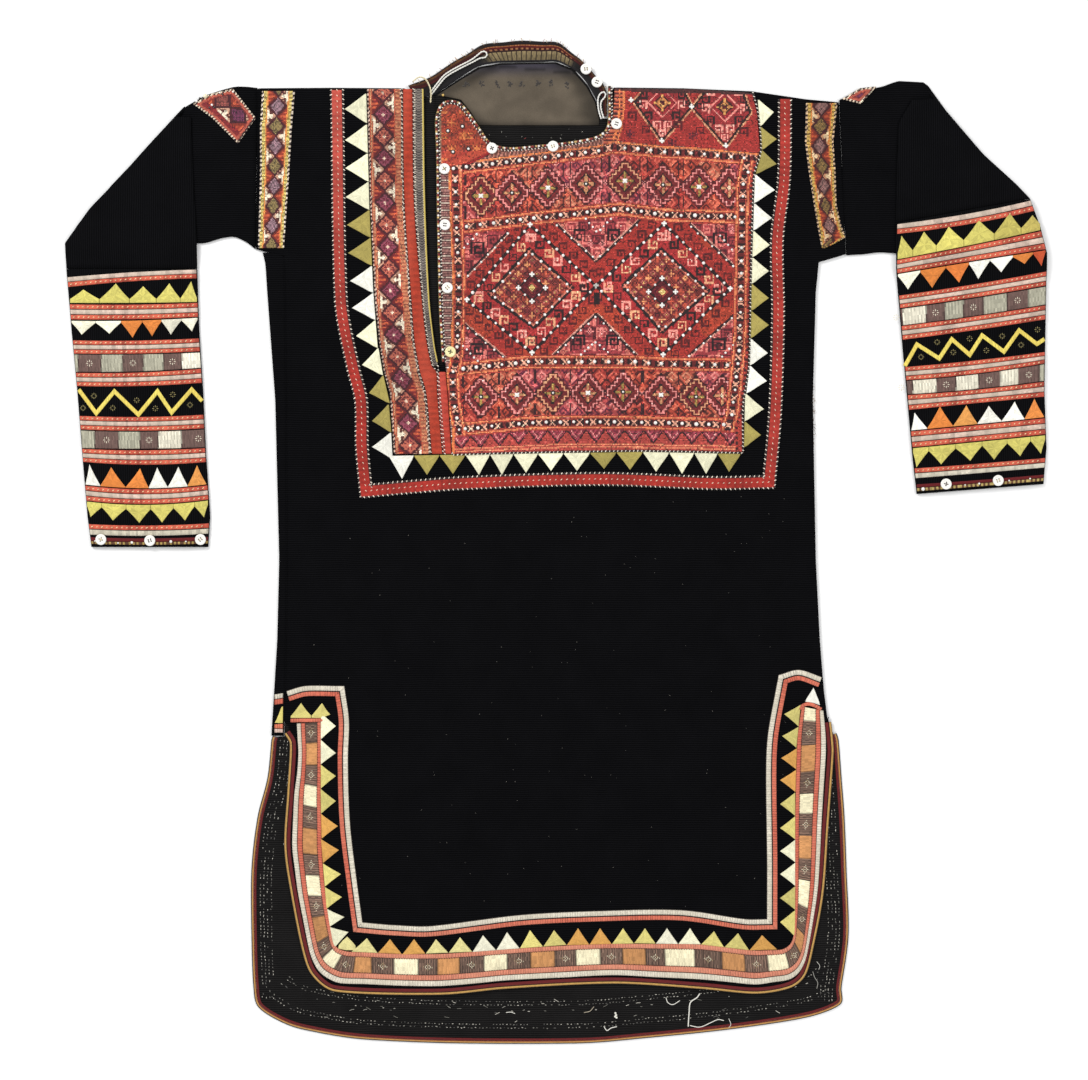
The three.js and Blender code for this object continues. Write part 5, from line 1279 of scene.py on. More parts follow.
H_BASE = [(321, 713), (321, 800), (322, 850), (326, 900), (332, 940), (340, 951), (410, 954), (480, 951), (560, 945), (640, 943), (700, 944), (750, 950), (784, 949), (795, 938), (795, 870), (795, 800), (797, 740), (800, 710), (820, 704)]
ye, orr, ow, py = (208, 196, 118), (210, 156, 82), (234, 230, 206), (222, 212, 146)
H_COLS = [cr, cr, ye, ye, orr, orr, ye, ye, cr, cr, py, orr, orr, py, py, ow, ow, ye, ye, orr, orr, ye, ye, ow, cr, ye, ye, orr, ye, ye, cr, cr, ye, ye, orr, orr, ye, ye]
assert len(H_COLS) == len(H_TIPS)
toothed("teeth_hem", H_TIPS, H_BASE, H_COLS, "hem_dogtooth", back=0.2)
tt = Bag()
for pts_ in ([(290.6, 718.0), (290.6, 716.4), (295.4, 710.6), (301, 703), (306.2, 710.2), (311.2, 715.6), (311.2, 718.0)], [(311.6, 718.0), (311.6, 715.6), (316.6, 709.8), (322, 703), (326.2, 709.6), (330.4, 714.4), (327.6, 715.6), (321.4, 718.0)]):
    plate(tt, A(pts_), ON, 0.75, np.array(ye, float), amount=0.06)
plate(tt, A([(338.2, 948.6), (338.8, 945.2), (342.6, 940.6), (347.2, 936.6), (351.6, 941.0), (355.6, 945.6), (355.6, 950.0), (346, 950.2)]), ON, 0.75, np.array(py, float), amount=0.06)
plate(tt, A([(805.2, 701.6), (806.6, 698.6), (810.0, 693.4), (813.6, 687.8), (816.4, 694.6), (819.2, 701.6), (820.0, 705.2), (813.0, 702.8)]), ON, 0.75, np.array(wh, float), amount=0.06)
ob = tt.make("teeth_hem_top", M_COTTON)
tb_ = even(A([(290.4, 720.6), (300, 720.4), (311, 720.4), (322.6, 720.2)]), 1.3)
ob = lanes("hem_salmon_band_top", [tb_ + [0, d_] for d_ in (-1.8, -1.4, 0, 1.4, 1.8)], bz(0.2, 0.7, 0.95, 0.7, 0.2), M_STRIP, hem_salmon)
te_ = even(curve(A([(800.2, 709.6), (803.0, 705.6), (808.4, 704.0), (815.0, 705.8), (821.2, 709.4)]), 1.3), 1.3)
ob = lanes("hem_salmon_band_end", [offset(te_, d_) for d_ in (-1.7, -1.3, 0, 1.3, 1.7)], [ON + v for v in (0.5, 1.0, 1.2, 1.0, 0.5)], M_STRIP, corded(SALMON, 0.8, 2.5, worn=(226, 140, 112), wear=0.3))

# ------------------------------------------------------------------ placket: plain strips and braid
P0 = np.array(PLACKET, float)
F0 = np.array(FOOT, float)
plain_l = np.vstack([np.column_stack([P0[:, 2], P0[:, 0]]), np.column_stack([F0[:, 2], F0[:, 0]])])
plain_r = np.vstack([np.column_stack([P0[:, 3], P0[:, 0]]), np.column_stack([F0[:, 3], F0[:, 0]])])


def pucker_col(base, worn):
    def f(k, s, x, y):
        # painted shade of the puckers: a ripple of lighter and darker along the strip; the blend toward worn below is
        # wear
        n = np.sin(s * 0.9 + 1.2 * np.sin(s * 0.23)) * 0.5 + 0.5
        c = np.array([base], float) * (0.9 + 0.14 * n[:, None])
        t = 0.5 + 0.5 * np.sin(s * 0.045 + k * 0.6)
        c = c * (1 - 0.25 * t[:, None]) + np.array([worn], float) * 0.25 * t[:, None]
        return np.clip(c * speckle(len(k), 0.06), 0, 255)
    return f


pr_pairs = [((l[0] + 0.3, l[1]), (r[0] - 0.6, r[1])) for l, r in zip(plain_l, plain_r)]
pl = lanes("plain_red_strip_cloth", lane(pr_pairs, [0.0, 0.06, 0.2, 0.4, 0.6, 0.8, 0.94, 1.0], 2.0), bz(0.1, 0.6, 0.85, 0.95, 0.9, 0.95, 0.6, 0.1), M_COTTON, pucker_col((206, 66, 44), (218, 108, 86)))
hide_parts("plain_red_strip")
lo_pairs = [((437.2, 372), (445.6, 372)), ((438.2, 394), (447.6, 394)), ((440.5, 425), (449.6, 425)), ((443.2, 454), (451.6, 454))]
pl2 = lanes("plain_red_strip_lower_cloth", lane(lo_pairs, [0.0, 0.08, 0.3, 0.5, 0.7, 0.92, 1.0], 2.0), bz(0.1, 0.6, 0.9, 0.95, 0.9, 0.6, 0.1), M_COTTON, pucker_col((226, 74, 58), (232, 112, 96)))
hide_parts("plain_red_strip_lower")

br_pairs = [((r[3] + 0.2, r[0]), (r[4], r[0])) for r in PLACKET]


def braid_col(k, s, x, y):
    t = ((s / 2.7) + np.abs(k - 3.5) * 0.34) % 1
    c = np.where((t < 0.5)[:, None], np.array([[122., 113, 106]]), np.array([[66., 60, 58]]))
    e = (k <= 1) | (k == 6)
    c[e] = np.where((((s / 2.1) % 1) < 0.5)[:, None], np.array([[202., 190, 172]]), np.array([[40., 32, 32]]))[e]
    c[(k >= 7)] = (150, 126, 66)
    c[(k >= 7) & ((s / 2.6) % 1 < 0.4)] = (60, 60, 40)
    return np.clip(c * speckle(len(k), 0.10), 0, 255)


br = lanes("placket_braid_cloth", lane(br_pairs, [0, 0.06, 0.2, 0.36, 0.52, 0.68, 0.82, 0.94, 1.0], 1.3), bz(0.2, 1.0, 1.4, 1.5, 1.4, 1.5, 1.4, 1.1, 0.3), M_STRIP, braid_col, thick=1.5)
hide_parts("placket_braid")

# ------------------------------------------------------------------ counted-stitch cloth
def canvas(name, loop, base, t, pattern, zfun=None, pitch=1.2, relief=0.07, rot=0.0, mat=None, node=None):
    """Closed embroidered cloth: a grid of stitches inside a loop, each with its own colour, over a plain back."""
    zfun = zfun or rise
    loop = ccw(np.asarray(loop, float))
    o = loop.mean(0)
    ca, sa = math.cos(rot), math.sin(rot)
    R = np.array([[ca, -sa], [sa, ca]])
    q = (loop - o) @ R
    lo, hi = q.min(0), q.max(0)
    nx, ny = int(math.ceil((hi[0] - lo[0]) / pitch)) + 1, int(math.ceil((hi[1] - lo[1]) / pitch)) + 1
    gx, gy = lo[0] - pitch * 0.5 + np.arange(nx + 1) * pitch, lo[1] - pitch * 0.5 + np.arange(ny + 1) * pitch
    GX, GY = np.meshgrid(gx, gy)
    W = np.column_stack([GX.ravel(), GY.ravel()]) @ R.T + o
    cx, cy = np.meshgrid((gx[:-1] + gx[1:]) / 2, (gy[:-1] + gy[1:]) / 2)
    C = np.column_stack([cx.ravel(), cy.ravel()]) @ R.T + o
    keep = inside(C, loop)
    j, i = np.divmod(np.arange(nx * ny), nx)
    a = j * (nx + 1) + i
    Q = np.column_stack([a, a + 1, a + nx + 2, a + nx + 1])[keep]
    C = C[keep]
    used = np.unique(Q)
    remap = -np.ones(len(W), int)
    remap[used] = np.arange(len(used))
    Q = remap[Q]
    P = W[used]
    # edges of the stitched area move onto the outline
    E = np.vstack([Q[:, [0, 1]], Q[:, [1, 2]], Q[:, [2, 3]], Q[:, [3, 0]]])
    key = E[:, 0].astype(np.int64) * (len(P) + 1) + E[:, 1]
    rev = E[:, 1].astype(np.int64) * (len(P) + 1) + E[:, 0]
    edge = E[~np.isin(key, rev)]
    bv = np.unique(edge)
    A_, B_ = loop, np.roll(loop, -1, 0)
    for v in bv:
        p = P[v]
        d = B_ - A_
        tt = np.clip(((p - A_) * d).sum(1) / ((d * d).sum(1) + 1e-12), 0, 1)
        w = A_ + d * tt[:, None]
        k = ((w - p) ** 2).sum(1).argmin()
        if np.linalg.norm(w[k] - p) < pitch * 1.3:
            P[v] = w[k]
    rng = np.random.RandomState(len(Q) % 9973)
    z0 = zfun(P[:, 0], P[:, 1]) + base
    zt = z0 + t + relief * rng.randn(len(P)).clip(-1.6, 1.6)
    zt[bv] = z0[bv] + t * 0.7
    n = len(P)
    nb = len(bv)
    bi = {v: k for k, v in enumerate(bv)}
    V = [np.column_stack([P, zt]), np.column_stack([P[bv], z0[bv]])]
    faces = [tuple(f) for f in Q]
    nxt = {}
    for a_, b_ in edge:
        faces.append((b_, a_, n + bi[a_], n + bi[b_]))
        nxt.setdefault(a_, []).append(b_)
    # plain back, filled from its own edge
    v = [Vector(p) for p in P[bv]]
    r = delaunay_2d_cdt(v, [(bi[a_], bi[b_]) for a_, b_ in edge], [], 0, 1e-7)
    pts = np.array([(p.x, p.y) for p in r[0]])
    tris = np.array([f for f in r[2] if len(f) == 3], int)
    if len(pts) == nb and len(tris):
        cen = pts[tris].mean(1)
        # keep those over stitched cells
        l = (cen - o) @ R
        ii, jj = np.floor((l[:, 0] - gx[0]) / pitch).astype(int), np.floor((l[:, 1] - gy[0]) / pitch).astype(int)
        grid = np.zeros(nx * ny, bool)
        grid[np.arange(nx * ny)[keep]] = True
        ok = (ii >= 0) & (ii < nx) & (jj >= 0) & (jj < ny)
        ok &= inside(cen, loop)
        tr = tris[ok]
        A2, B2, C2 = pts[tr[:, 0]], pts[tr[:, 1]], pts[tr[:, 2]]
        ar = (B2[:, 0] - A2[:, 0]) * (C2[:, 1] - A2[:, 1]) - (B2[:, 1] - A2[:, 1]) * (C2[:, 0] - A2[:, 0])
        tr[ar > 0] = tr[ar > 0][:, ::-1]
        faces += [tuple(n + q_ for q_ in f) for f in tr[np.abs(ar) > 1e-9]]
    bx, by = C[:, 0] + BX, BY - C[:, 1]
    col = pattern(bx, by, rng)
    cell = (i[keep] + j[keep]) % 2
    col = col * (1 - 0.09 * cell)[:, None] * (1 + 0.10 * rng.randn(len(col), 1)).clip(0.72, 1.3)
    allc = np.tile(np.array([[60., 26, 26]]), (len(faces), 1))
    allc[:len(col)] = col
    ob = make(name, np.vstack(V), faces, mat or M_STITCH, np.clip(allc, 0, 255), smooth=True)
    if node:
        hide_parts(node)
    return ob


def c_(*v):
    return np.array(v, float)


K_RED, K_MAR, K_PINK, K_PUR, K_GOLD = c_(198, 56, 44), c_(124, 28, 34), c_(226, 136, 130), c_(140, 52, 84), c_(222, 124, 72)
K_BLK, K_CRM, K_OLV, K_TAN, K_ORG, K_DRED = c_(34, 20, 22), c_(234, 190, 158), c_(150, 128, 70), c_(176, 116, 78), c_(196, 78, 44), c_(158, 40, 38)


def put(col, mask, rgb):
    col[mask] = rgb


def glyph(col, x, y, cx, cy, rows, cell, rgb, fx=1, fy=1, cellh=None):
    """Stamp a small chart. rows are strings; fx and fy flip it."""
    h, w = len(rows), len(rows[0])
    ch = cellh or cell
    m = (np.abs(x - cx) < cell * w * 0.5) & (np.abs(y - cy) < ch * h * 0.5)
    k = np.nonzero(m)[0]
    if not len(k):
        return
    i = np.floor((x[k] - cx) * fx / cell + w / 2).astype(int).clip(0, w - 1)
    j = np.floor((y[k] - cy) * fy / ch + h / 2).astype(int).clip(0, h - 1)
    bits = np.array([[c == "#" for c in r] for r in rows])
    col[k[bits[j, i]]] = rgb


HOOK = ["######", "#....#", "#.##.#", "#..#.#", "####.#", ".....#"]
EHOOK = ["#####.", "#...#.", "#.#.#.", "#.###.", "#.....", "######"]
SCROLL = [".###...###.", "#...#.#...#", "#.#.#.#.#.#", "#.###.###.#", "#...#.#...#", ".##.#.#.##."]
XX = ["#.#", ".#.", "#.#"]
CROSS = [".#.", "###", ".#."]
FLOWER = ["..#..", ".#.#.", "#.#.#", ".#.#.", "..#.."]
SPIRAL = ["#######", "#.....#", "#.###.#", "#.#.#.#", "#.#...#", "#.#####"]


HOOK5 = ["#####", "#...#", "#.#.#", "#.###", "#...."]
KEY7 = ["#######", "#.....#", "#.###.#", "#.#.#.#", "#.#...#", "#.####.", "#......"]
LEAF = ["..#..", "#.#.#", ".###.", "#.#.#", "..#.."]
TREE = ["#..#..#", ".#.#.#.", "..###..", "#..#..#", ".#####.", "...#..."]


def tiled(col, x, y, m, rows, cell, c1, c2, ox=0.0, oy=0.0, gap=1, turn=0):
    """A chart repeated over the stitches in m, its two colours alternating."""
    if turn:
        ca, sa = math.cos(turn), math.sin(turn)
        x, y = x * ca + y * sa, y * ca - x * sa
    h, w = len(rows), len(rows[0])
    bits = np.zeros((h + gap, w + gap), bool)
    for j, r in enumerate(rows):
        for i, ch in enumerate(r):
            bits[j, i] = ch == "#"
    px, py = (w + gap) * cell, (h + gap) * cell
    qx, qy = (x - ox) / px, (y - oy) / py
    ix, iy = np.floor(qx).astype(int), np.floor(qy).astype(int)
    fx, fy = np.clip(((qx - ix) * (w + gap)).astype(int), 0, w + gap - 1), np.clip(((qy - iy) * (h + gap)).astype(int), 0, h + gap - 1)
    flip = (ix % 2 == 1)
    fx = np.where(flip, np.maximum(w - 1 - fx, 0), fx)
    hit = m & bits[fy, fx]
    col[hit] = np.where(((ix + iy) % 2 == 0)[:, None], c1, c2)[hit]


def dist_curve(x, y, pts):
    """Signed height below a line given by board points."""
    p = np.array(pts, float)
    return y - np.interp(x, p[:, 0], p[:, 1])


C0 = [(448, 170), (452, 169), (525, 160), (599, 151), (613, 147), (664, 152), (690, 153), (746, 158), (762, 160)]
C1 = [(448, 228.5), (464, 227), (529, 219), (620, 209), (663, 215), (737, 217), (752, 218)]
C2 = [(448, 371), (461, 369), (529, 362), (631, 362), (663, 364), (731, 365), (752, 366)]
C3 = [(448, 431), (464, 429), (529, 423), (600, 422), (660, 423), (728, 425), (745, 426)]
VL = [(165, 455), (225, 456.5), (280, 459), (345, 457.5), (362, 456), (375, 452.5), (400, 453.5), (430, 459)]
VR = [(155, 748), (186, 743), (214, 742), (269, 741), (329, 740), (350, 739), (388, 735), (415, 732), (425, 728)]
ROW_A = [(481, 196), (512, 193), (548, 188), (586, 184), (625, 181), (663, 185), (699, 187), (729, 188)]
ROW_B = [(481, 397), (517, 395), (553, 393), (588, 393), (623, 392), (661, 395), (696, 397), (722, 396)]


def stepped(col, x, y, cx, cy, ix, iy, outline, rng_i, hw=16.0, hh=19.0):
    dx, dy = np.abs(x - cx), np.abs(y - cy)
    m = (dx < hw + 3) & (dy < hh + 3)
    k = np.nonzero(m)[0]
    if not len(k):
        return
    a, b = dx[k], dy[k]
    sx, sy = hw / 5, hh / 5
    N = lambda p, q: np.floor(np.maximum(p, 0) / sx) + np.floor(np.maximum(q, 0) / sy)
    n = N(a, b)
    ins = n < 5
    halo = (N(a - 1.4, b) < 5) | (N(a, b - 1.4) < 5) | (N(a - 1.2, b - 1.2) < 5)
    edge = ins & ((N(a + 1.35, b) >= 5) | (N(a, b + 1.35) >= 5) | (N(a + 1.2, b + 1.2) >= 5))
    kk = col[k]
    kk[halo & ~ins] = K_MAR * 0.8
    kk[ins] = c_(128, 34, 36)
    kk[edge] = outline
    r = a / (hw * 0.58) + b / (hh * 0.58)
    kk[ins & ~edge & (r < 1.08) & (r > 0.9)] = K_BLK
    inner = r <= 0.9
    kk[inner] = c_(158, 54, 44)
    kk[inner & ((a < 1.3) | (b < 1.3)) & (r > 0.32)] = c_(196, 138, 96) if rng_i % 2 else c_(158, 128, 66)
    kk[inner & (np.abs(a - b) < 1.2) & (r > 0.4)] = c_(206, 110, 96)
    kk[r < 0.26] = K_CRM
    col[k] = kk


def row_pattern(col, x, y, m, centres, hw, hh, seed):
    k = np.nonzero(m)[0]
    X, Y = x[k], y[k]
    cx = np.array([c[0] for c in centres], float)
    cy = np.interp(X, cx, [c[1] for c in centres])
    j = np.abs(X[:, None] - cx[None]).argmin(1)
    dx, dy = X - cx[j], Y - cy
    gap = np.where(dx > 0, j, j - 1)
    below = dy > 0
    fields = np.array([(204, 70, 50), (186, 70, 68), (182, 82, 62), (196, 58, 48), (192, 80, 80)], float)
    c = fields[(gap * 2 + below * 3 + seed) % 5]
    # diagonal threads through the fields
    tx = ((X + Y) / 2.6).astype(int) % 3 == 0
    ty = ((X - Y) / 2.6).astype(int) % 4 == 0
    c = np.where(tx[:, None], c * 0.9, c)
    c = np.where(ty[:, None], c * 1.06, c)
    lit = np.array([(222, 110, 84), (226, 128, 120), (206, 126, 98), (222, 96, 78), (226, 132, 124)], float)[(gap * 2 + below * 3 + seed) % 5]
    drk = np.array([(92, 26, 26), (96, 28, 48), (84, 34, 28), (86, 24, 26), (104, 34, 54)], float)[(gap * 2 + below * 3 + seed) % 5]
    alm = np.ones(len(X), bool)
    t1, t2 = c.copy(), c.copy()
    tiled(t1, X, Y, alm, HOOK5, 1.7, c_(1, 1, 1), c_(2, 2, 2), 0.8 + seed, 2.0, 1, 0.785)
    c = np.where((t1[:, :1] == 1) & (t1[:, 1:2] == 1), drk, c)
    c = np.where((t1[:, :1] == 2) & (t1[:, 1:2] == 2), lit, c)
    r = np.abs(dx) / (hw + 1.8) + np.abs(dy) / (hh + 1.8)
    c[(r < 1.02)] = c_(140, 36, 40)
    c[(r > 1.0) & (r < 1.12)] = c_(40, 18, 20)
    zz = np.abs(np.abs(dx) - (np.abs(cx[1] - cx[0]) / 2) * (1 - np.clip(np.abs(dy) / hh, 0, 1)) * 0 - np.abs(cx[1] - cx[0]) / 2)
    c[(zz < 0.7) & (np.abs(dy) > hh * 0.55)] = c_(52, 22, 26)
    cc = col.copy()
    cc[k] = c
    mid = (cx[:-1] + cx[1:]) / 2
    for g, mx in enumerate(mid):
        my = np.interp(mx, cx, [q[1] for q in centres])
        for sgn in (-1, 1):
            fcol = fields[(g * 2 + (sgn > 0) * 3 + seed) % 5]
            dark = c_(74, 26, 28) if fcol[2] < 75 else c_(112, 40, 66)
            glyph(cc, x, y, mx, my + sgn * hh * 0.46, CROSS, 1.3, fcol * 1.35)
        glyph(cc, x, y, mx, my, XX, 1.6, K_PINK)
    for g, (ax, ay) in enumerate(centres):
        stepped(cc, x, y, ax, ay, 0, 0, K_PINK if (g + seed) % 4 else c_(214, 150, 112), g, hw, hh)
    col[k] = cc[k]


def seg_d(x, y, p, q):
    d = np.array([q[0] - p[0], q[1] - p[1]], float)
    L = math.hypot(*d)
    t = ((x - p[0]) * d[0] + (y - p[1]) * d[1]) / L
    s = ((x - p[0]) * d[1] - (y - p[1]) * d[0]) / L
    return t, s, L


def in_poly(x, y, pts):
    q = np.column_stack([x, y])
    return inside(q, np.array(pts, float))


def outline(col, x, y, pts, w, rgb, closed=True, inset=0.0):
    n = len(pts)
    for a in range(n if closed else n - 1):
        p, q = pts[a], pts[(a + 1) % n]
        t, s, L = seg_d(x, y, p, q)
        m = (t > -0.5) & (t < L + 0.5) & (np.abs(s - inset) < w / 2)
        col[m] = rgb


DIA_L = [(530, 225), (596, 286), (532, 353), (467, 300)]
DIA_R = [(664, 224), (730, 289), (663, 355), (596, 286)]
INN_L = [(529, 249), (573, 288), (534, 328), (489, 295)]
INN_R = [(661, 249), (709, 291), (662, 333), (622, 286)]


def bead_band(col, x, y, d, s, pitch=13.6, phase=0.0, half=3.1):
    """Maroon band with pink butterflies between the beads and an orange line on each side."""
    m = np.abs(d) < half
    col[m] = c_(118, 32, 32)
    u = ((s - phase) / pitch) % 1
    v = (u - 0.5) * pitch
    b = m & (np.abs(np.abs(v) - np.abs(d) * 0.9) < 0.9) & (np.abs(v) < 3.2)
    col[m & (np.abs(v) < 4.2) & ~b] = c_(52, 22, 24)
    col[b] = c_(236, 168, 140)
    col[m & (np.abs(np.abs(v) - 4.4) < 0.6)] = c_(30, 16, 18)
    col[(np.abs(d) >= half) & (np.abs(d) < half + 1.3)] = c_(186, 66, 50)
    col[(np.abs(np.abs(d) - half - 2.2) < 0.75)] = c_(224, 128, 84)
    col[(np.abs(np.abs(d) - half - 3.8) < 0.7)] = c_(196, 62, 50)


def bib_pattern(x, y, rng):
    n = len(x)
    col = np.tile(K_RED, (n, 1))
    d0, d1, d2, d3 = (dist_curve(x, y, c) for c in (C0, C1, C2, C3))
    xl, xr = np.interp(y, *zip(*VL)), np.interp(y, *zip(*VR))
    # rows of stepped diamonds
    row_pattern(col, x, y, (d0 > 3) & (d1 < -3), ROW_A, 16.0, 18.6, 0)
    row_pattern(col, x, y, (d2 > 3) & (d3 < -3), ROW_B, 15.6, 18.4, 2)
    # centre field
    mid = (d1 >= 3) & (d2 <= -3)
    g = c_(200, 52, 42)
    col[mid] = g
    col[mid & (((y * 0.8).astype(int) % 2) == 0)] = g * 0.95
    sh = mid & (np.sin(x * 0.05) * np.sin(y * 0.07 + 1) > 0.35)
    col[sh] = c_(206, 66, 42)
    # dark hooks standing on the diamonds' outer edges
    for D in (DIA_L, DIA_R):
        cxm, cym = sum(p[0] for p in D) / 4, sum(p[1] for p in D) / 4
        for a in range(4):
            p, q = np.array(D[a], float), np.array(D[(a + 1) % 4], float)
            L = np.linalg.norm(q - p)
            nrm = np.array([cxm, cym]) - (p + q) / 2
            nrm = nrm / np.linalg.norm(nrm)
            k = 6
            for t in range(k):
                c = p + (q - p) * ((t + 0.9) / (k + 0.6)) - nrm * 6.6
                sub = col.copy()
                glyph(sub, x, y, c[0], c[1], HOOK5, 1.75, c_(100, 24, 26), 1 if c[0] > cxm else -1, -1 if c[1] > cym else 1, 1.9)
                far = in_poly(x, y, D)
                col[mid & ~far] = sub[mid & ~far]
    # corner and side triangles
    PU = c_(178, 58, 62)
    tris = [([(461, 233), (508, 231), (463, 279)], [(508, 232), (465, 277)]), ([(461, 323), (461, 364), (508, 360)], [(464, 324), (507, 360)]), ([(690, 222), (736, 224), (734, 268)], [(690, 224), (734, 267)]),
            ([(734, 314), (736, 360), (686, 360)], [(734, 315), (686, 358)]), ([(553, 220), (640, 216), (596, 263)], [(553, 221), (596, 262), (640, 220)]), ([(596, 313), (638, 357), (553, 357)], [(553, 356), (596, 314), (637, 356)])]
    for pts, edge in tris:
        m = in_poly(x, y, pts) & mid
        col[m] = PU
        tiled(col, x, y, m, KEY7, 1.6, c_(92, 28, 36), c_(220, 118, 108), pts[0][0], pts[0][1] + 2)
        cx, cy = np.mean([p[0] for p in pts]), np.mean([p[1] for p in pts])
        if len(edge) == 3:
            for ox in (-17, 17):
                s_ = col.copy()
                glyph(s_, x, y, cx + ox, cy + (2 if cy < 290 else -2), SPIRAL, 1.8, c_(36, 16, 22), np.sign(ox), 1)
                glyph(s_, x, y, cx + ox * 0.35, cy + (11 if cy < 290 else -11), FLOWER, 1.5, K_PINK)
                glyph(s_, x, y, cx + ox * 1.9, cy - (9 if cy < 290 else -9), FLOWER, 1.4, c_(206, 120, 100))
                col[m] = s_[m]
        else:
            s_ = col.copy()
            glyph(s_, x, y, cx, cy, SPIRAL, 2.0, c_(34, 16, 22))
            glyph(s_, x, y, cx + (12 if cx > 600 else -10), cy - 8, FLOWER, 1.4, K_PINK)
            glyph(s_, x, y, cx, cy + (12 if cy > 290 else -12), FLOWER, 1.4, c_(204, 112, 96))
            col[m] = s_[m]
        for a in range(len(edge) - 1):
            outline(col, x, y, [edge[a], edge[a + 1]], 2.6, c_(40, 18, 22), False)
            outline(col, x, y, [edge[a], edge[a + 1]], 1.1, c_(214, 150, 132), False, 1.6)
    # the two beaded diamonds
    for D, I, cen in ((DIA_L, INN_L, (532, 288)), (DIA_R, INN_R, (662, 292))):
        mo, mi = in_poly(x, y, D), in_poly(x, y, I)
        ring = mo & ~mi
        col[ring] = c_(196, 46, 46)
        for a in range(4):
            p, q = np.array(D[a], float), np.array(D[(a + 1) % 4], float)
            pi, qi = np.array(I[a], float), np.array(I[(a + 1) % 4], float)
            nrm = np.array(cen, float) - (p + q) / 2
            nrm = nrm / np.linalg.norm(nrm)
            k = 7
            for rank, dd in ((0, 7.4),):
                for t in range(k - rank):
                    c = p + (q - p) * ((t + 0.75 + rank * 0.5) / (k + 0.5)) + nrm * dd
                    s_ = col.copy()
                    rgb = (c_(240, 150, 136), c_(44, 20, 22), c_(226, 160, 120))[(t + a) % 3]
                    if rank:
                        rgb = c_(226, 160, 128) if t % 2 else c_(112, 52, 40)
                    glyph(s_, x, y, c[0], c[1], HOOK5, 1.9, rgb, -1 if c[0] > cen[0] else 1, 1 if c[1] > cen[1] else -1, 2.0)
                    col[ring] = s_[ring]
        # inner field
        u, v = (x - cen[0]) / 9.2, (y - cen[1]) / 9.2
        a_, b_ = (u + v) / 1.0, (u - v) / 1.0
        ia, ib = np.floor(a_ + 0.5), np.floor(b_ + 0.5)
        fa, fb = a_ - ia, b_ - ib
        r = np.maximum(np.abs(fa), np.abs(fb))
        cells = np.array([(160, 50, 44), (140, 52, 46), (172, 62, 50), (132, 42, 44)], float)
        c = cells[((ia * 2 + ib * 3) % 4).astype(int)]
        kind = ((ia + 2 * ib) % 4).astype(int)
        ax_, ay_ = np.abs(fa + fb), np.abs(fa - fb)
        petal = (np.minimum(ax_, ay_) < 0.15) & (r < 0.36)
        ringm = (r > 0.18) & (r < 0.34) & ~((fa > 0.1) & (fb < -0.1))
        c[(kind == 0) & ringm] = c_(46, 22, 24)
        c[(kind == 1) & petal] = c_(214, 140, 92)
        c[(kind == 2) & petal] = c_(206, 84, 60)
        c[(kind == 3) & ringm] = c_(168, 96, 84)
        c[(kind == 3) & (r < 0.12)] = c_(200, 160, 90)
        c[(r > 0.44)] = c_(104, 36, 34)
        col[mi] = c[mi]
        outline(col, x, y, I, 3.0, K_BLK)
        outline(col, x, y, I, 1.2, c_(196, 110, 90), True, -2.2)
        outline(col, x, y, D, 3.0, c_(38, 18, 20))
        sm = np.abs(x - cen[0]) + np.abs(y - cen[1])
        col[sm < 12] = c_(98, 20, 30)
        col[(sm >= 12) & (sm < 14.5)] = K_BLK
        col[(sm < 3.4)] = c_(222, 190, 120)
        col[(sm >= 4.4) & (sm < 6.0)] = c_(170, 60, 50)
    # dangling black tab where the diamonds meet
    tab = (np.abs(x - 597) < 2.6) & (y > 292) & (y < 305)
    col[tab] = K_BLK
    # bottom zigzag
    bot = d3 >= 3
    col[bot] = c_(208, 76, 66)
    col[bot & ((y * 0.8).astype(int) % 2 == 0)] = c_(200, 66, 56)
    ph = ((x - 471) / 19.2) % 1
    zig = 6.5 + 12.5 * (1 - np.abs(ph * 2 - 1) * 1.0)
    zz = bot & (d3 > 6.0) & (d3 < zig + 1.6)
    col[zz] = c_(158, 60, 74)
    col[zz & (((x + y) / 2.4).astype(int) % 2 == 0)] = c_(132, 40, 52)
    col[bot & (np.abs(d3 - zig - 1.2) < 1.15) & (d3 > 6.0)] = c_(44, 20, 24)
    inn = np.array([1.0])
    col[bot & (np.abs(d3 - zig + 3.6) < 0.8) & (zig > 12)] = K_PINK
    bdist = dist_curve(x, y, [(440, 455), (515, 452), (568, 449.5), (640, 450), (742, 452)])
    for q in (-2.6, -5.4):
        col[(np.abs(bdist - q) < 0.65) & bot] = c_(224, 132, 96)
    # bead bands
    for d, ph_ in ((d1, 464), (d2, 461 + 2), (d3, 464)):
        m = (x > xl - 4) & (x < xr + 7) & (np.abs(d) < 8)
        c = col.copy()
        bead_band(c, x, y, d, x, 13.6, ph_)
        col[m & (np.abs(d) < 7.6)] = c[m & (np.abs(d) < 7.6)]
    m = (np.abs(d0) < 8)
    c = col.copy()
    bead_band(c, x, y, d0, x, 13.6, 452)
    col[m & (np.abs(d0) < 7.6)] = c[m & (np.abs(d0) < 7.6)]
    vr = x - xr
    c = col.copy()
    bead_band(c, x, y, vr, y, 13.6, 160)
    m = (np.abs(vr) < 7.6) & (d0 > 2) & (d3 < 6)
    col[m] = c[m]
    # right of the right band: plain red with a dashed edge
    m = (vr >= 7.4) & (d0 > 4)
    col[m] = c_(196, 60, 48)
    col[m & (((y / 2.6).astype(int)) % 2 == 0) & (vr < 9.4)] = c_(60, 26, 26)
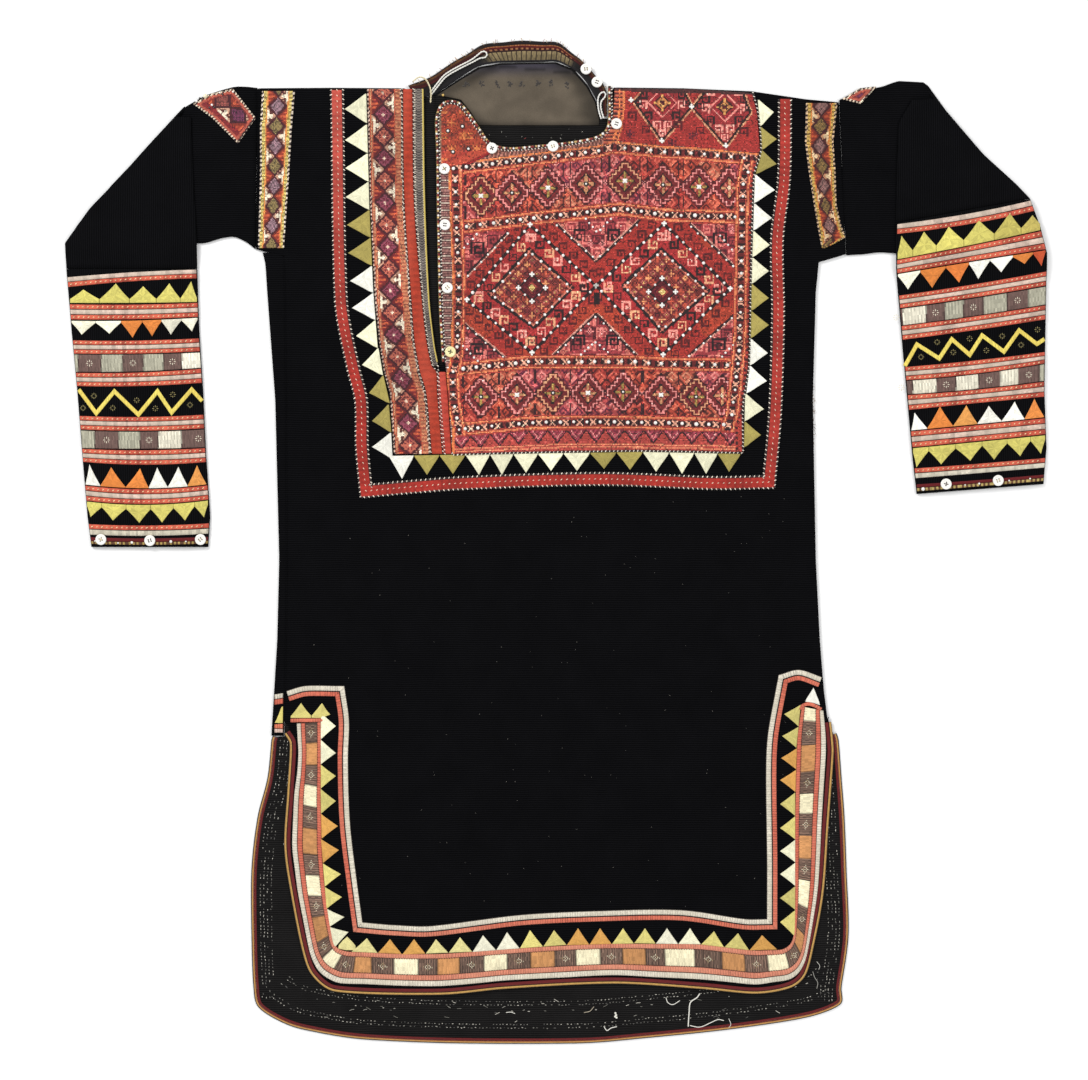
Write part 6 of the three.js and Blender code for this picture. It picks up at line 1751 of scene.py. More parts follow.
    # left bands
    vl = x - xl
    c = col.copy()
    bead_band(c, x, y, vl, y, 13.6, 158)
    m = (np.abs(vl) < 7.4) & (d0 > 1) & (y < 436)
    col[m] = c[m]
    m = (vl < -4.6) & (d0 > -2)
    gy = np.floor(y / 1.25).astype(int)
    w = np.where((gy % 2 == 0)[:, None], c_(150, 104, 96), c_(92, 52, 52))
    w = np.where((gy % 6 == 0)[:, None], c_(196, 178, 160), w)
    col[m] = w[m]
    col[m & (vl > -6.4)] = c_(216, 118, 66)
    return col, d0, xl


def shoulder_part(col, x, y, d0):
    """Above the neck bead band: the flap on the left and the shoulder part on the right."""
    up = d0 < -3.0
    # whip band over the bead band
    m = up & (d0 > -16.5)
    k = np.floor((x + y * 0.3) / 1.3).astype(int) % 3
    w = np.where((k == 0)[:, None], c_(96, 58, 52), np.where((k == 1)[:, None], c_(172, 112, 96), c_(124, 76, 64)))
    col[m] = w[m]
    col[up & (np.abs(d0 + 4.8) < 0.8)] = K_GOLD
    col[up & (np.abs(d0 + 16.0) < 0.8)] = c_(214, 120, 70)
    # the flap
    fl = up & (x < 492) & (d0 < -6.5)
    seam = dist_curve(x, y, [(440, 172), (452, 169), (470, 163), (484, 156), (500, 148)])
    flap = (seam < 0) & (x < 500) & up
    col[flap] = c_(206, 74, 52)
    g = flap & (((x * 0.5 + y).astype(int) // 3) % 4 == 0)
    col[g] = c_(184, 56, 44)
    tiled(col, x, y, flap & (seam < -9), LEAF, 1.8, c_(132, 52, 44), c_(214, 116, 70), 447, 106, 2)
    top_ = flap & (y < 112)
    col[top_ & (((x + y) / 2.4).astype(int) % 2 == 0)] = c_(150, 64, 52)
    col[(np.abs(seam) < 1.3) & (x < 500) & up] = c_(170, 26, 30)
    col[flap & (x < 442)] = c_(150, 110, 96)
    # the shoulder part
    sp = (x > 611) & (d0 < -6.0)
    col[sp] = c_(196, 54, 46)
    col[sp & ((y * 0.8).astype(int) % 2 == 0)] = c_(186, 46, 42)
    for P, cc_ in (([(634.7, 101.7), (650, 84), (680, 84), (691.6, 107), (661.8, 140.7)], (662.4, 102.8)), ([(693.3, 108), (711, 84), (741, 88), (750, 112.5), (725.8, 146)], (724.7, 107))):
        m = sp & in_poly(x, y, P)
        col[m] = c_(176, 46, 48)
        s_ = col.copy()
        dxx, dyy = x - cc_[0], y - cc_[1]
        for ox, oy, k in ((-19, 2, 0), (19, 2, 0), (-14, 13, 1), (14, 13, 1), (-5.5, 22, 0), (5.5, 22, 0), (-19, -8, 1), (19, -8, 1), (-14, -16, 0), (14, -16, 0), (-24, -2, 1), (24, 0, 1), (0, 31, 0), (-9, 28, 2), (9, 28, 2), (-17, 21, 2), (17, 21, 2)):
            rgb = (c_(238, 150, 136), c_(46, 22, 24), c_(196, 112, 92))[k]
            glyph(s_, x, y, cc_[0] + ox, cc_[1] + oy, HOOK5, 1.6, rgb, 1 if ox > 0 else -1, 1 if oy > 0 else -1, 1.7)
        col[m] = s_[m]
        r = np.abs(dxx) / 13.5 + np.abs(dyy) / 13.5
        col[m & (r < 1.12)] = c_(232, 140, 128)
        col[m & (r < 1.0)] = c_(176, 40, 46)
        col[m & (r < 0.66)] = c_(60, 26, 26)
        col[m & (r < 0.66) & (np.minimum(np.abs(dxx), np.abs(dyy)) < 1.0)] = c_(206, 150, 84)
        col[m & (np.abs(r - 0.4) < 0.08)] = c_(190, 120, 70)
        col[m & (r < 0.18)] = c_(96, 26, 34)
        for q in range(5):
            e0, e1 = P[q], P[(q + 1) % 5]
            s_ = col.copy()
            outline(s_, x, y, [e0, e1], 2.2, c_(40, 20, 20), False)
            outline(s_, x, y, [e0, e1], 1.4, c_(206, 142, 106), False, 1.9)
            if q != 1:
                col[sp] = s_[sp]
    for cx, cy in ((646, 130), (678, 126), (700, 131), (744, 132), (632, 116)):
        s_ = col.copy()
        glyph(s_, x, y, cx, cy, HOOK5, 1.8, c_(96, 24, 28), 1 if cx in (646, 700) else -1, 1)
        free = sp & (np.abs(x - cx) < 8)
        col[free] = s_[free]
    for cx, cy in ((630, 134), (693, 136), (672, 143)):
        s_ = col.copy()
        glyph(s_, x, y, cx, cy, LEAF, 1.7, c_(92, 28, 40))
        col[sp] = s_[sp]
    n_ = x - np.interp(y, [85, 110, 130, 150], [613.5, 613.5, 611, 604])
    m = (x > 604) & (n_ < 11) & (y < 150) & (d0 < -5)
    kk = np.floor(y / 1.3).astype(int)
    ww = np.where((kk % 3 == 0)[:, None], c_(66, 34, 34), np.where((kk % 3 == 1)[:, None], c_(206, 108, 76), c_(168, 62, 50)))
    col[m] = ww[m]
    col[m & (np.abs(n_ - 6.0) < 1.0)] = K_GOLD
    col[m & (np.abs(n_ - 10.3) < 0.8)] = c_(216, 120, 72)
    top = y - np.interp(x, [613, 640, 700, 752], [87, 90.5, 91, 93])
    col[sp & (top < 2.2)] = c_(70, 34, 34)
    return col


def bib_all(x, y, rng):
    col, d0, xl = bib_pattern(x, y, rng)
    col = shoulder_part(col, x, y, d0)
    # soft fading and stains
    f = 0.5 + 0.5 * np.sin(x * 0.021 + 1.1) * np.sin(y * 0.026 + 0.3)
    col = col * (0.95 + 0.10 * f)[:, None]
    fl = (x < 505) & (y < 150)
    col[fl] = col[fl] * c_(0.87, 0.90, 0.82)
    swap = rng.rand(len(x)) < 0.09
    col[swap] = col[swap] * 0.5
    lit = rng.rand(len(x)) < 0.05
    col[lit] = np.minimum(col[lit] * 1.25 + 14, 255)
    return col


foot_pts = [(r[4] + 0.3, r[0]) for r in FOOT]
bib_loop = np.vstack([offset(neck[:-1], -3.4)[::-1], A(foot_pts), A(BIB_EDGE)[::-1], A([(700, 89.4), (640, 88.6), (614.5, 88.4)])])
bib_loop = poly(np.vstack([bib_loop, bib_loop[:1]]), 2.0)[:-1]
bib = canvas("bib_embroidery", bib_loop, ON, 1.3, bib_all, node="bib_panel")


def snow(col, x, y, cx, cy, R, rgb):
    dx, dy = np.abs(x - cx), np.abs(y - cy)
    r = np.maximum(dx, dy)
    m = (r < R) & ((np.minimum(dx, dy) < 0.9) | (np.abs(dx - dy) < 1.1) | ((dx + dy > R * 0.95) & (dx + dy < R * 1.25) & (np.minimum(dx, dy) > 1.2)))
    col[m] = rgb


def ladder(col, u, y, m, W, y0, period, gems, star=False):
    """Lozenges one above another, with a triangle on each side between them, in turn red and white."""
    t = (y - y0) / period
    k = np.floor(t + 0.5).astype(int)
    dv, du = (t - k) * period, u - W / 2
    g = np.floor(t).astype(int)
    nb = np.abs(t - g - 0.5) * period
    col[m] = c_(70, 22, 30)
    r = np.abs(du) / 8.0 + np.abs(dv) / 9.0
    gem = np.where((k % 2 == 0)[:, None], gems[0], gems[1])
    h = period / 2 - 0.6
    for side in (0, 1):
        e = u if side == 0 else W - u
        tri = m & (e / (W / 2 - 0.6) + nb / h < 1)
        white = (g % 2 == 0) if side == 0 else (g % 2 != 0)
        red = c_(158, 38, 40) if star else c_(182, 60, 40)
        rim = (e / (W / 2 - 0.6) + nb / h > 0.72)
        cw = np.where(rim[:, None], c_(196, 150, 124), c_(238, 224, 198))
        mark = ((np.abs(e - 3.4) < 1.0) & (nb > 1.6) & (nb < 6.2)) | ((np.abs(nb - 3.2) < 0.9) & (e > 2.4) & (e < 6.6))
        cw = np.where(mark[:, None], c_(92, 46, 40), cw)
        cr = np.where(((nb < 1.2) | (np.abs(nb - 3.8) < 0.7))[:, None], c_(206, 92, 58), red)
        cr = np.where(rim[:, None], red * 0.8, cr)
        c = np.where(white[:, None], cw, cr)
        col[tri] = c[tri]
    if star:
        X, Y = np.abs(du), np.abs(dv)
        body = m & (r < 1.0)
        col[body] = c_(112, 30, 44)
        s = ((np.minimum(X, Y) < 0.9) | (np.abs(X - Y) < 1.1) | (np.abs(X + Y - 7.4) < 0.8)) & (np.maximum(X, Y) < 8.4)
        col[m & s & (r < 1.12)] = gem[m & s & (r < 1.12)]
        col[m & (X + Y < 1.8)] = c_(238, 206, 180)
    else:
        body = m & (r < 0.94)
        col[body] = gem[body]
        sp_ = (((du + dv) / 1.7).astype(int) % 2 == 0) & (((du - dv) / 1.7).astype(int) % 2 == 0)
        col[body & sp_] = (gem * 1.2)[body & sp_]
        sp_ = (((du + dv) / 1.7).astype(int) % 3 == 1) & (((du - dv) / 1.7).astype(int) % 2 == 1)
        col[body & sp_] = (gem * 0.6)[body & sp_]


def strip_pattern(x, y, rng):
    l = np.interp(y, [89, 200, 300, 340, 366, 372, 394, 454], [367, 370, 375, 379, 383, 384, 390, 394])
    r = np.interp(y, [89, 200, 300, 340, 366, 372, 394, 454], [402.1, 403.6, 410.6, 413.6, 418, 419, 425.6, 431])
    u = (x - l) / (r - l) * 35.5
    col = np.tile(c_(150, 34, 44), (len(x), 1))
    fieldm = (u > 5.0) & (u < 27)
    ladder(col, u - 5.0, y, fieldm, 22.0, 114.5 + 0.0 * y, 22.05, (c_(140, 64, 82), c_(182, 96, 76)), star=True)
    col[(u <= 5.0)] = c_(176, 84, 58)
    col[(u <= 1.8)] = np.where((((y + x) / 2.2).astype(int) % 2 == 0)[:, None], c_(206, 176, 156), c_(52, 26, 26))[(u <= 1.8)]
    col[(u > 3.0) & (u < 4.0)] = c_(206, 142, 102)
    pe = (u >= 27)
    col[pe] = c_(196, 124, 88)
    k = ((y / 1.25).astype(int)) % 3
    col[pe & (k == 0)] = c_(160, 78, 58)
    col[(u >= 27) & (u < 28.0)] = c_(196, 84, 56)
    col[(u >= 33.6)] = np.where((((y + x) / 2.2).astype(int) % 2 == 0)[:, None], c_(214, 190, 168), c_(60, 30, 30))[(u >= 33.6)]
    sw = rng.rand(len(x)) < 0.08
    col[sw] *= 0.6
    return col * (0.96 + 0.08 * np.sin(y * 0.03))[:, None]


strip_loop = A([(r[1], r[0]) for r in PLACKET] + [(r[1], r[0]) for r in FOOT] + [(r[2] - 0.4, r[0]) for r in FOOT[::-1]] + [(r[2] - 0.4, r[0]) for r in PLACKET[::-1]])
strip = canvas("strip_embroidery", poly(np.vstack([strip_loop, strip_loop[:1]]), 2.0)[:-1], ON, 0.95, strip_pattern, node="strip_panel", pitch=1.15)


def shoulder_pattern(rows, tone=(1, 1, 1)):
    r = np.array(rows, float)
    def f(x, y, rng):
        l, q = np.interp(y, r[:, 0], r[:, 1]), np.interp(y, r[:, 0], r[:, 2])
        w = q - l
        u = (x - l) / w
        col = np.tile(c_(140, 36, 46), (len(x), 1))
        mid = (u > 0.2) & (u < 0.81)
        ladder(col, (u - 0.2) * w * 22 / (0.61 * w), y, mid, 22.0, 106.4 + 0.0 * y, 19.9, (c_(132, 102, 110), c_(120, 102, 64)))
        yc = np.where(((y / 1.2).astype(int) % 3 == 0)[:, None], c_(150, 126, 66), c_(210, 188, 108))
        ys = ~mid
        col[ys] = yc[ys]
        col[(np.abs(u - 0.185) < 0.022) | (np.abs(u - 0.825) < 0.022)] = c_(216, 140, 70)
        ed = (u <= 0.065) | (u >= 0.935)
        ec = np.where((((y + x * 0.5) / 2.3).astype(int) % 2 == 0)[:, None], c_(226, 210, 190), c_(40, 24, 26))
        col[ed] = ec[ed]
        sw = rng.rand(len(x)) < 0.07
        col[sw] *= 0.6
        return col * np.array([tone], float)
    return f


SSL = [(91, 262, 295), (126, 260, 292), (176, 260, 289), (248, 258, 284)]
SSR = [(103, 806, 837.5), (142, 805, 833.5), (170, 808.5, 835.6), (205, 814, 836.6), (226, 817.5, 841.6), (237, 819.6, 845.6), (242, 820.4, 838), (248, 822, 825)]
for nm, rows, node in (("shoulder_embroidery_left", SSL, "shoulder_strip_left"), ("shoulder_embroidery_right", SSR, "shoulder_strip_right")):
    lp = A([(r[1], r[0]) for r in rows] + [(r[2], r[0]) for r in rows[::-1]])
    canvas(nm, poly(np.vstack([lp, lp[:1]]), 2.0)[:-1], ON, 0.95, shoulder_pattern(rows, (1, 1, 1) if rows is SSL else (0.9, 0.82, 0.72)), node=node, pitch=1.1)


def patch_pattern(cx, cy, ang, half):
    """A folded piece of strip: a lozenge row on the slant, a plain pink rim and whipped edges."""
    ca, sa = math.cos(ang), math.sin(ang)
    def f(x, y, rng):
        v, w = (x - cx) * ca + (y - cy) * sa, -(x - cx) * sa + (y - cy) * ca
        col = np.tile(c_(140, 30, 38), (len(x), 1))
        ladder(col, w + 11.0, v, np.abs(w) < 11, 22.0, 0.0 * y, 22.0, (c_(96, 42, 68), c_(122, 62, 56)))
        out = (w >= 11)
        col[out & (((v / 3.1).astype(int) + (w / 2.7).astype(int)) % 2 == 0)] = c_(168, 44, 42)
        col[w < -11] = c_(150, 40, 52)
        sw = rng.rand(len(x)) < 0.10
        col[sw] *= 0.6
        return col
    return f


def rimmed(f, loop):
    """A pattern with a pink rim and black and white whipping along its outline."""
    L = np.vstack([loop, loop[:1]])
    def g(x, y, rng):
        col = f(x, y, rng)
        d = np.full(len(x), 1e9)
        for p, q in zip(L[:-1], L[1:]):
            u, s, n = seg_d(x, y, p, q)
            d = np.minimum(d, np.hypot(np.maximum(0, np.maximum(-u, u - n)), s))
        col[d < 5.4] = c_(176, 84, 66)
        col[(d < 5.4) & (d > 4.4)] = c_(146, 44, 44)
        e = d < 2.0
        col[e] = np.where((((x + y * 0.7) / 1.9).astype(int) % 2 == 0)[:, None], c_(226, 206, 180), c_(46, 24, 26))[e]
        return col
    return g


pl_ = A([(193, 104), (210, 94), (233, 88.5), (256, 118), (238, 144), (212, 118)])
canvas("sleeve_embroidery_left", poly(np.vstack([pl_, pl_[:1]]), 1.5)[:-1], 0.3, 0.95, rimmed(patch_pattern(238.3, 115.6, 0.76, 24), [(193, 104), (210, 94), (233, 88.5), (256, 118), (238, 144), (212, 118)]), zfun=lambda X, Y: UP_LEFT.z(X, Y), node="sleeve_patch_left", pitch=1.1, rot=0.0)
pr_ = A([(841.5, 99), (860, 88), (877, 86), (861, 104)])
canvas("sleeve_embroidery_right", poly(np.vstack([pr_, pr_[:1]]), 1.5)[:-1], 0.3, 0.95, rimmed(patch_pattern(861, 92, 0.5, 17), [(841.5, 99), (860, 88), (877, 86), (861, 104)]), zfun=lambda X, Y: UP_RIGHT.z(X, Y), node="sleeve_patch_right", pitch=1.1)

# ------------------------------------------------------------------ cuff bands
cuff_marks = Bag()


def cuff_line(tube, ys, n=44, u0=0.006, u1=0.994):
    """A line across a cuff at the board heights ys, given left to right."""
    yl, yr = ys[0], ys[-1]
    u = np.linspace(u0, u1, n)
    k = np.linspace(0, 1, len(ys))
    y = np.polyval(np.polyfit(k, ys, len(ys) - 1), u)
    xl, xr = np.interp(yl, tube.c0, tube.e0), np.interp(yr, tube.c1, tube.e1)
    x = xl + (xr - xl) * u
    # keep to the edges of the tube
    a, b = np.interp(y, tube.c0, tube.e0), np.interp(y, tube.c1, tube.e1)
    x = a + (b - a) * u if len(ys) else x
    return np.column_stack([x - BX, BY - y])


def cuff_band(name, tube, top, bot, colf, prof=(0.25, 0.7, 0.92, 0.7, 0.25), fr=(0, 0.1, 0.5, 0.9, 1), n=60, mat=None):
    t, b = cuff_line(tube, top, n), cuff_line(tube, bot, n)
    L = [t * (1 - f) + b * f for f in fr]
    ob = lanes(name, L[::-1], list(prof), mat or M_STRIP, colf, zfun=tube.z, thick=0.72)
    return ob


C_RED, C_WHITE, C_GREY = (208, 88, 68), (212, 188, 172), (170, 164, 146)
red_f = corded(C_RED, 0.84, 2.6, worn=(222, 122, 92), wear=0.4)
white_f = corded(C_WHITE, 0.88, 2.6, worn=(190, 180, 162), wear=0.5)


def stripes(tag, tube, top, bot, parts=("r", "w", "r")):
    """Narrow corded strips between two lines, with cream dashes on the red ones."""
    top, bot = np.array(top, float), np.array(bot, float)
    n = len(parts)
    for i, p in enumerate(parts):
        a, b = top + (bot - top) * (i + 0.06) / n, top + (bot - top) * (i + 0.94) / n
        cuff_band("%s_%d" % (tag, i + 1), tube, a, b, red_f if p == "r" else white_f)
        if p == "r":
            mid = cuff_line(tube, (a + b) / 2, 60, 0.03, 0.97)
            x, y, ang, s = along(mid, 0, 5.0)
            k = len(x)
            cuff_marks.stitch(x, y, tube.z(x, y) + 0.95, ang + math.radians(32) + RNG.randn(k) * 0.15, 2.5 + RNG.randn(k) * 0.25, 0.95, 0.3, np.clip(np.array([[240., 208, 160]]) * speckle(k, 0.08), 0, 255))


def cuff_teeth(name, tube, tips, base, cols, valley=2.5, t=0.62):
    line = cuff_line(tube, base, 90)
    T = A(tips)
    xs = line[:, 0]
    bag = Bag()
    n = len(T)
    bnd = [(T[i, 0] + T[i + 1, 0]) / 2 for i in range(n - 1)]
    bnd = [max(xs[0] + 0.3, T[0, 0] - (bnd[0] - T[0, 0]))] + bnd + [min(xs[-1] - 0.3, T[-1, 0] + (T[-1, 0] - bnd[-1]))]
    for i in range(n):
        x0, x1 = bnd[i] + 0.12, bnd[i + 1] - 0.12
        yb = lambda q: float(np.interp(q, xs, line[:, 1]))
        up = 1 if T[i, 1] > yb(T[i, 0]) else -1
        tip = T[i].copy()
        tip[0] = min(max(tip[0], x0 + 1), x1 - 1)
        v0, v1 = np.array([x0, yb(x0) + up * valley]), np.array([x1, yb(x1) + up * valley])
        m = 6
        e1 = [v0 + (tip - v0) * k / m + np.array([(x1 - x0) * 0.02, 0]) * math.sin(math.pi * k / m) for k in range(m)]
        e2 = [tip + (v1 - tip) * k / m - np.array([(x1 - x0) * 0.02, 0]) * math.sin(math.pi * k / m) for k in range(m + 1)]
        b = [np.array([x1 + (x0 - x1) * k / 5, yb(x1 + (x0 - x1) * k / 5) + up * 0.15]) for k in range(6)]
        plate(bag, e1 + e2 + b, 0.28, t, np.array(cols[i], float) * (1 + 0.03 * RNG.randn()), zfun=tube.z, amount=0.08, puff=0.25)
    ob = bag.make(name, M_COTTON)
    return ob


def squares(name, tube, top, bot, xs, cols):
    xs = np.array(xs, float)
    cs = np.array([{"b": (104, 82, 76), "g": (166, 163, 144), "w": (218, 212, 192), "c": (228, 222, 204)}[c] for c in cols], float)

    def f(k, s, x, y):
        i = np.clip(np.searchsorted(xs, x, side="right") - 1, 0, len(cs) - 1)
        c = cs[i] * (1 + 0.08 * np.sin(x * 1.9 + 0.6 * np.sin(y)))[:, None]
        c[(np.abs(x[:, None] - xs[None]).min(1) < 0.7)] *= 0.72
        return np.clip(c * speckle(len(k), 0.08), 0, 255)
    cuff_band(name, tube, top, bot, f, prof=(0.25, 0.62, 0.85, 0.92, 0.85, 0.62, 0.25), fr=(0, 0.06, 0.25, 0.5, 0.75, 0.94, 1), n=90, mat=M_COTTON)
    t, b = cuff_line(tube, top, 90), cuff_line(tube, bot, 90)
    for i, c in enumerate(cols):
        if c != "b" or xs[i + 1] - xs[i] < 12:
            continue
        cx = (xs[i] + xs[i + 1]) / 2 - BX
        cy = (np.interp(cx, t[:, 0], t[:, 1]) + np.interp(cx, b[:, 0], b[:, 1])) / 2
        for u, v, a, ln in ((0, 2.3, 90, 2.6), (0, -2.3, 90, 2.6), (-2.3, 0, 0, 2.6), (2.3, 0, 0, 2.6), (-1.9, 1.9, 135, 1.3), (1.9, 1.9, 45, 1.3), (-1.9, -1.9, 45, 1.3), (1.9, -1.9, 135, 1.3)):
            x, y = np.array([cx + u]), np.array([cy + v])
            cuff_marks.stitch(x, y, tube.z(x, y) + 0.9, math.radians(a), ln, 0.8, 0.3, (238, 228, 204))


def zigzag(name, tube, pts, crosses):
    p = A(pts)
    ob = ribbon(name, p, [-2.0, -1.7, -0.9, 0.9, 1.7, 2.0], [0.3, 0.7, 0.9, 0.9, 0.7, 0.3], M_COTTON, corded((232, 214, 104), 0.92, 2.2, worn=(222, 190, 86), wear=0.4), zfun=tube.z, step=1.4, thick=0.7)
    for cx, cy in crosses:
        c = A([(cx, cy)])[0]
        for u, v, a, ln in ((0, 2.1, 90, 2.4), (0, -2.1, 90, 2.4), (-2.1, 0, 0, 2.4), (2.1, 0, 0, 2.4), (1.7, 1.7, 45, 1.1), (-1.7, 1.7, 135, 1.1), (-1.7, -1.7, 45, 1.1), (1.7, -1.7, 135, 1.1)):
            x, y = np.array([c[0] + u]), np.array([c[1] + v])
            cuff_marks.stitch(x, y, tube.z(x, y) + 0.12, math.radians(a), ln, 0.75, 0.3, (150, 138, 84))


L, Rr = CUFF_L, CUFF_R
YG = (206, 196, 104)
WH_, OR_ = (240, 238, 226), (216, 128, 60)
cuff_band("cuff_left_top_white", L, (277.4, 272.6, 269.6), (281.8, 276.8, 273.6), white_f)
stripes("cuff_left_top_red", L, (282.0, 277.0, 273.8), (287.4, 281.8, 278.6), ("r",))
cuff_teeth("cuff_left_teeth_1", L, [(83.5, 289.6), (116.2, 283.6), (143.6, 286.4), (169.6, 283.4), (191.3, 281.2)], (303, 303.2, 302), [YG] * 5, 4.0)
stripes("cuff_left_stripes_1", L, (304, 304.5, 302.5), (319.6, 319.6, 317))
cuff_teeth("cuff_left_teeth_2", L, [(81.8, 334.8), (109.7, 334), (132.9, 338), (152.4, 336.5), (171, 334.8), (192, 331.5)], (320.6, 320.6, 317.6), [(238, 234, 208), (238, 234, 208), OR_, OR_, (240, 236, 214), (240, 236, 214)], 2.0)
stripes("cuff_left_stripes_2", L, (340, 340.5, 338), (353.8, 354, 351.4))
squares("cuff_left_squares_1", L, (354.4, 354.6, 352.5), (371.8, 371.5, 367.6), [60, 78, 101.4, 123, 143.6, 163.5, 181.8, 206], "gbgbgbc")
stripes("cuff_left_stripes_3", L, (372.5, 372.4, 368.4), (386.2, 386.4, 383))
zigzag("cuff_left_zigzag", L, [(78.6, 389.5), (96.4, 413.4), (114.6, 391.4), (138.7, 414.8), (157.7, 391.4), (171.8, 412.6), (191.7, 389.5), (202, 401.0)], [(94, 396), (113, 408), (137, 400.3), (155.5, 408.5), (173, 394.6), (190, 405), (83, 408)])
stripes("cuff_left_stripes_4", L, (415.6, 416.8, 414.4), (429.6, 431, 428.5))
squares("cuff_left_squares_2", L, (430.4, 431.8, 429.4), (448, 448.8, 447.2), [60, 94.7, 118.8, 140.3, 158.6, 181.8, 215], "gbgbwb")
stripes("cuff_left_stripes_5", L, (448.6, 450, 447.8), (462, 465, 462.2))
cuff_teeth("cuff_left_teeth_3", L, [(89.4, 464.3), (111.3, 467.2), (140.3, 468.3), (157.4, 467.5), (178.5, 466.7), (197, 465.2)], (484.6, 488.4, 484.4), [WH_, OR_, OR_, WH_, WH_, (220, 148, 76)], 1.0)
stripes("cuff_left_stripes_6", L, (485.2, 489, 485), (500.8, 504.2, 499.6))
cuff_teeth("cuff_left_teeth_4", L, [(90.5, 517), (113, 520.6), (139.5, 523), (162.2, 522.6), (185.1, 520.6), (204, 517.5)], (501.3, 504.8, 500.2), [YG] * 6, 4.5)
stripes("cuff_left_low_red", L, (523.8, 525.2, 523), (529, 530.4, 528), ("r",))
cuff_band("cuff_left_low_white", L, (529.4, 530.8, 528.6), (534.6, 535.8, 533.6), corded((206, 198, 178), 0.88, 2.6, worn=(180, 174, 156), wear=0.5))


def dashes_f(c0, c1, pitch):
    a, b = np.array(c0, float), np.array(c1, float)
    def f(k, s, x, y):
        c = np.where(((s / pitch) % 1 < 0.5)[:, None], a[None], b[None])
        return np.clip(c * speckle(len(k), 0.12), 0, 255)
    return f


cuff_band("cuff_left_dark_red", L, (537.2, 538.4, 536.8), (540.8, 541.8, 540.4), bands([(120, 28, 30)]), prof=(0.15, 0.45, 0.55, 0.45, 0.15))
cuff_band("cuff_left_gold", L, (541.2, 542.2, 540.8), (543.8, 544.8, 543.4), dashes_f((168, 142, 82), (92, 64, 44), 4.6), prof=(0.15, 0.45, 0.55, 0.45, 0.15))

cuff_band("cuff_right_top_white", Rr, (224.6, 214.5, 200.8), (229.0, 219.5, 205.4), white_f)
stripes("cuff_right_top_red", Rr, (229.2, 219.8, 205.8), (234.6, 225, 211.2), ("r",))
cuff_teeth("cuff_right_teeth_1", Rr, [(901, 236), (923.5, 232), (948, 227), (978, 220.5), (1009, 213), (1032, 215.5)], (260, 245.5, 230.2), [YG, YG, YG, YG, (196, 184, 96), (188, 172, 92)], 6.5)
stripes("cuff_right_stripes_1", Rr, (260.4, 246, 230.8), (273.8, 261.5, 249.6))
cuff_teeth("cuff_right_teeth_2", Rr, [(908, 289.5), (932, 288), (958.8, 283), (978, 279.4), (1000.6, 272.7), (1024, 264.4), (1041, 266.5)], (274.4, 262.2, 250.2), [(238, 236, 214), OR_, (214, 120, 58), WH_, WH_, OR_, (208, 84, 48)], 2.0)
stripes("cuff_right_stripes_2", Rr, (295.4, 284.5, 271.2), (308.4, 298, 285.6))
squares("cuff_right_squares_1", Rr, (309.2, 298.8, 286.4), (325.4, 316, 304.2), [890, 902.6, 926, 944.5, 963, 983, 1006.7, 1028, 1060], "bwbgbgbg")
stripes("cuff_right_stripes_3", Rr, (325.9, 316.5, 304.8), (340, 330.6, 319.4))
zigzag("cuff_right_zigzag", Rr, [(905, 366), (917, 344.4), (939, 358.6), (951.6, 339.4), (969.4, 355), (981.8, 335.6), (1003.7, 351.8), (1019, 330.4), (1037, 344.0), (1044.6, 339)], [(921, 357), (937, 342.2), (953, 352.4), (969.4, 338.8), (986, 350.6), (1002, 336.2), (1021, 345), (1037.6, 329.6)])
stripes("cuff_right_stripes_4", Rr, (366.8, 360.4, 351.6), (380.4, 374, 363.4))
squares("cuff_right_squares_2", Rr, (381, 374.6, 364), (394.2, 389, 380.6), [890, 912.9, 936.3, 955.7, 978, 999.6, 1018, 1039.4, 1060], "bwbwbwbg")
stripes("cuff_right_stripes_5", Rr, (394.8, 389.6, 381.2), (410.2, 403.4, 396.8))
cuff_teeth("cuff_right_teeth_3", Rr, [(914.5, 412.6), (939.8, 406.4), (966, 405.3), (988.4, 405.9), (1014.5, 401.6), (1034.3, 398.6)], (430.6, 424.2, 417.2), [WH_, OR_, (220, 152, 80), WH_, WH_, (218, 134, 66)], 1.0)
stripes("cuff_right_stripes_6", Rr, (431.2, 424.8, 417.8), (447.6, 441.2, 434.4))
cuff_teeth("cuff_right_teeth_4", Rr, [(916.5, 467.4), (941, 464.5), (970, 461), (993.9, 459.8), (1020, 456.3), (1041, 454)], (448.2, 441.8, 435), [YG] * 6, 4.5)
stripes("cuff_right_low_red", Rr, (468.2, 463.4, 457.6), (473.2, 468.2, 462.4), ("r",))
cuff_band("cuff_right_low_white", Rr, (473.6, 468.6, 462.8), (478.2, 473, 467.4), corded((212, 204, 186), 0.88, 2.6, worn=(186, 180, 162), wear=0.4))
cuff_band("cuff_right_dark_red", Rr, (484.4, 480, 474.6), (487.6, 483, 477.6), bands([(120, 28, 30)]), prof=(0.15, 0.45, 0.55, 0.45, 0.15))
cuff_band("cuff_right_gold", Rr, (488.2, 483.4, 478), (491.2, 486.2, 480.8), dashes_f((172, 150, 92), (96, 66, 44), 4.6), prof=(0.15, 0.45, 0.55, 0.45, 0.15))
cm = cuff_marks.make("cuff_stitches", M_THREAD)

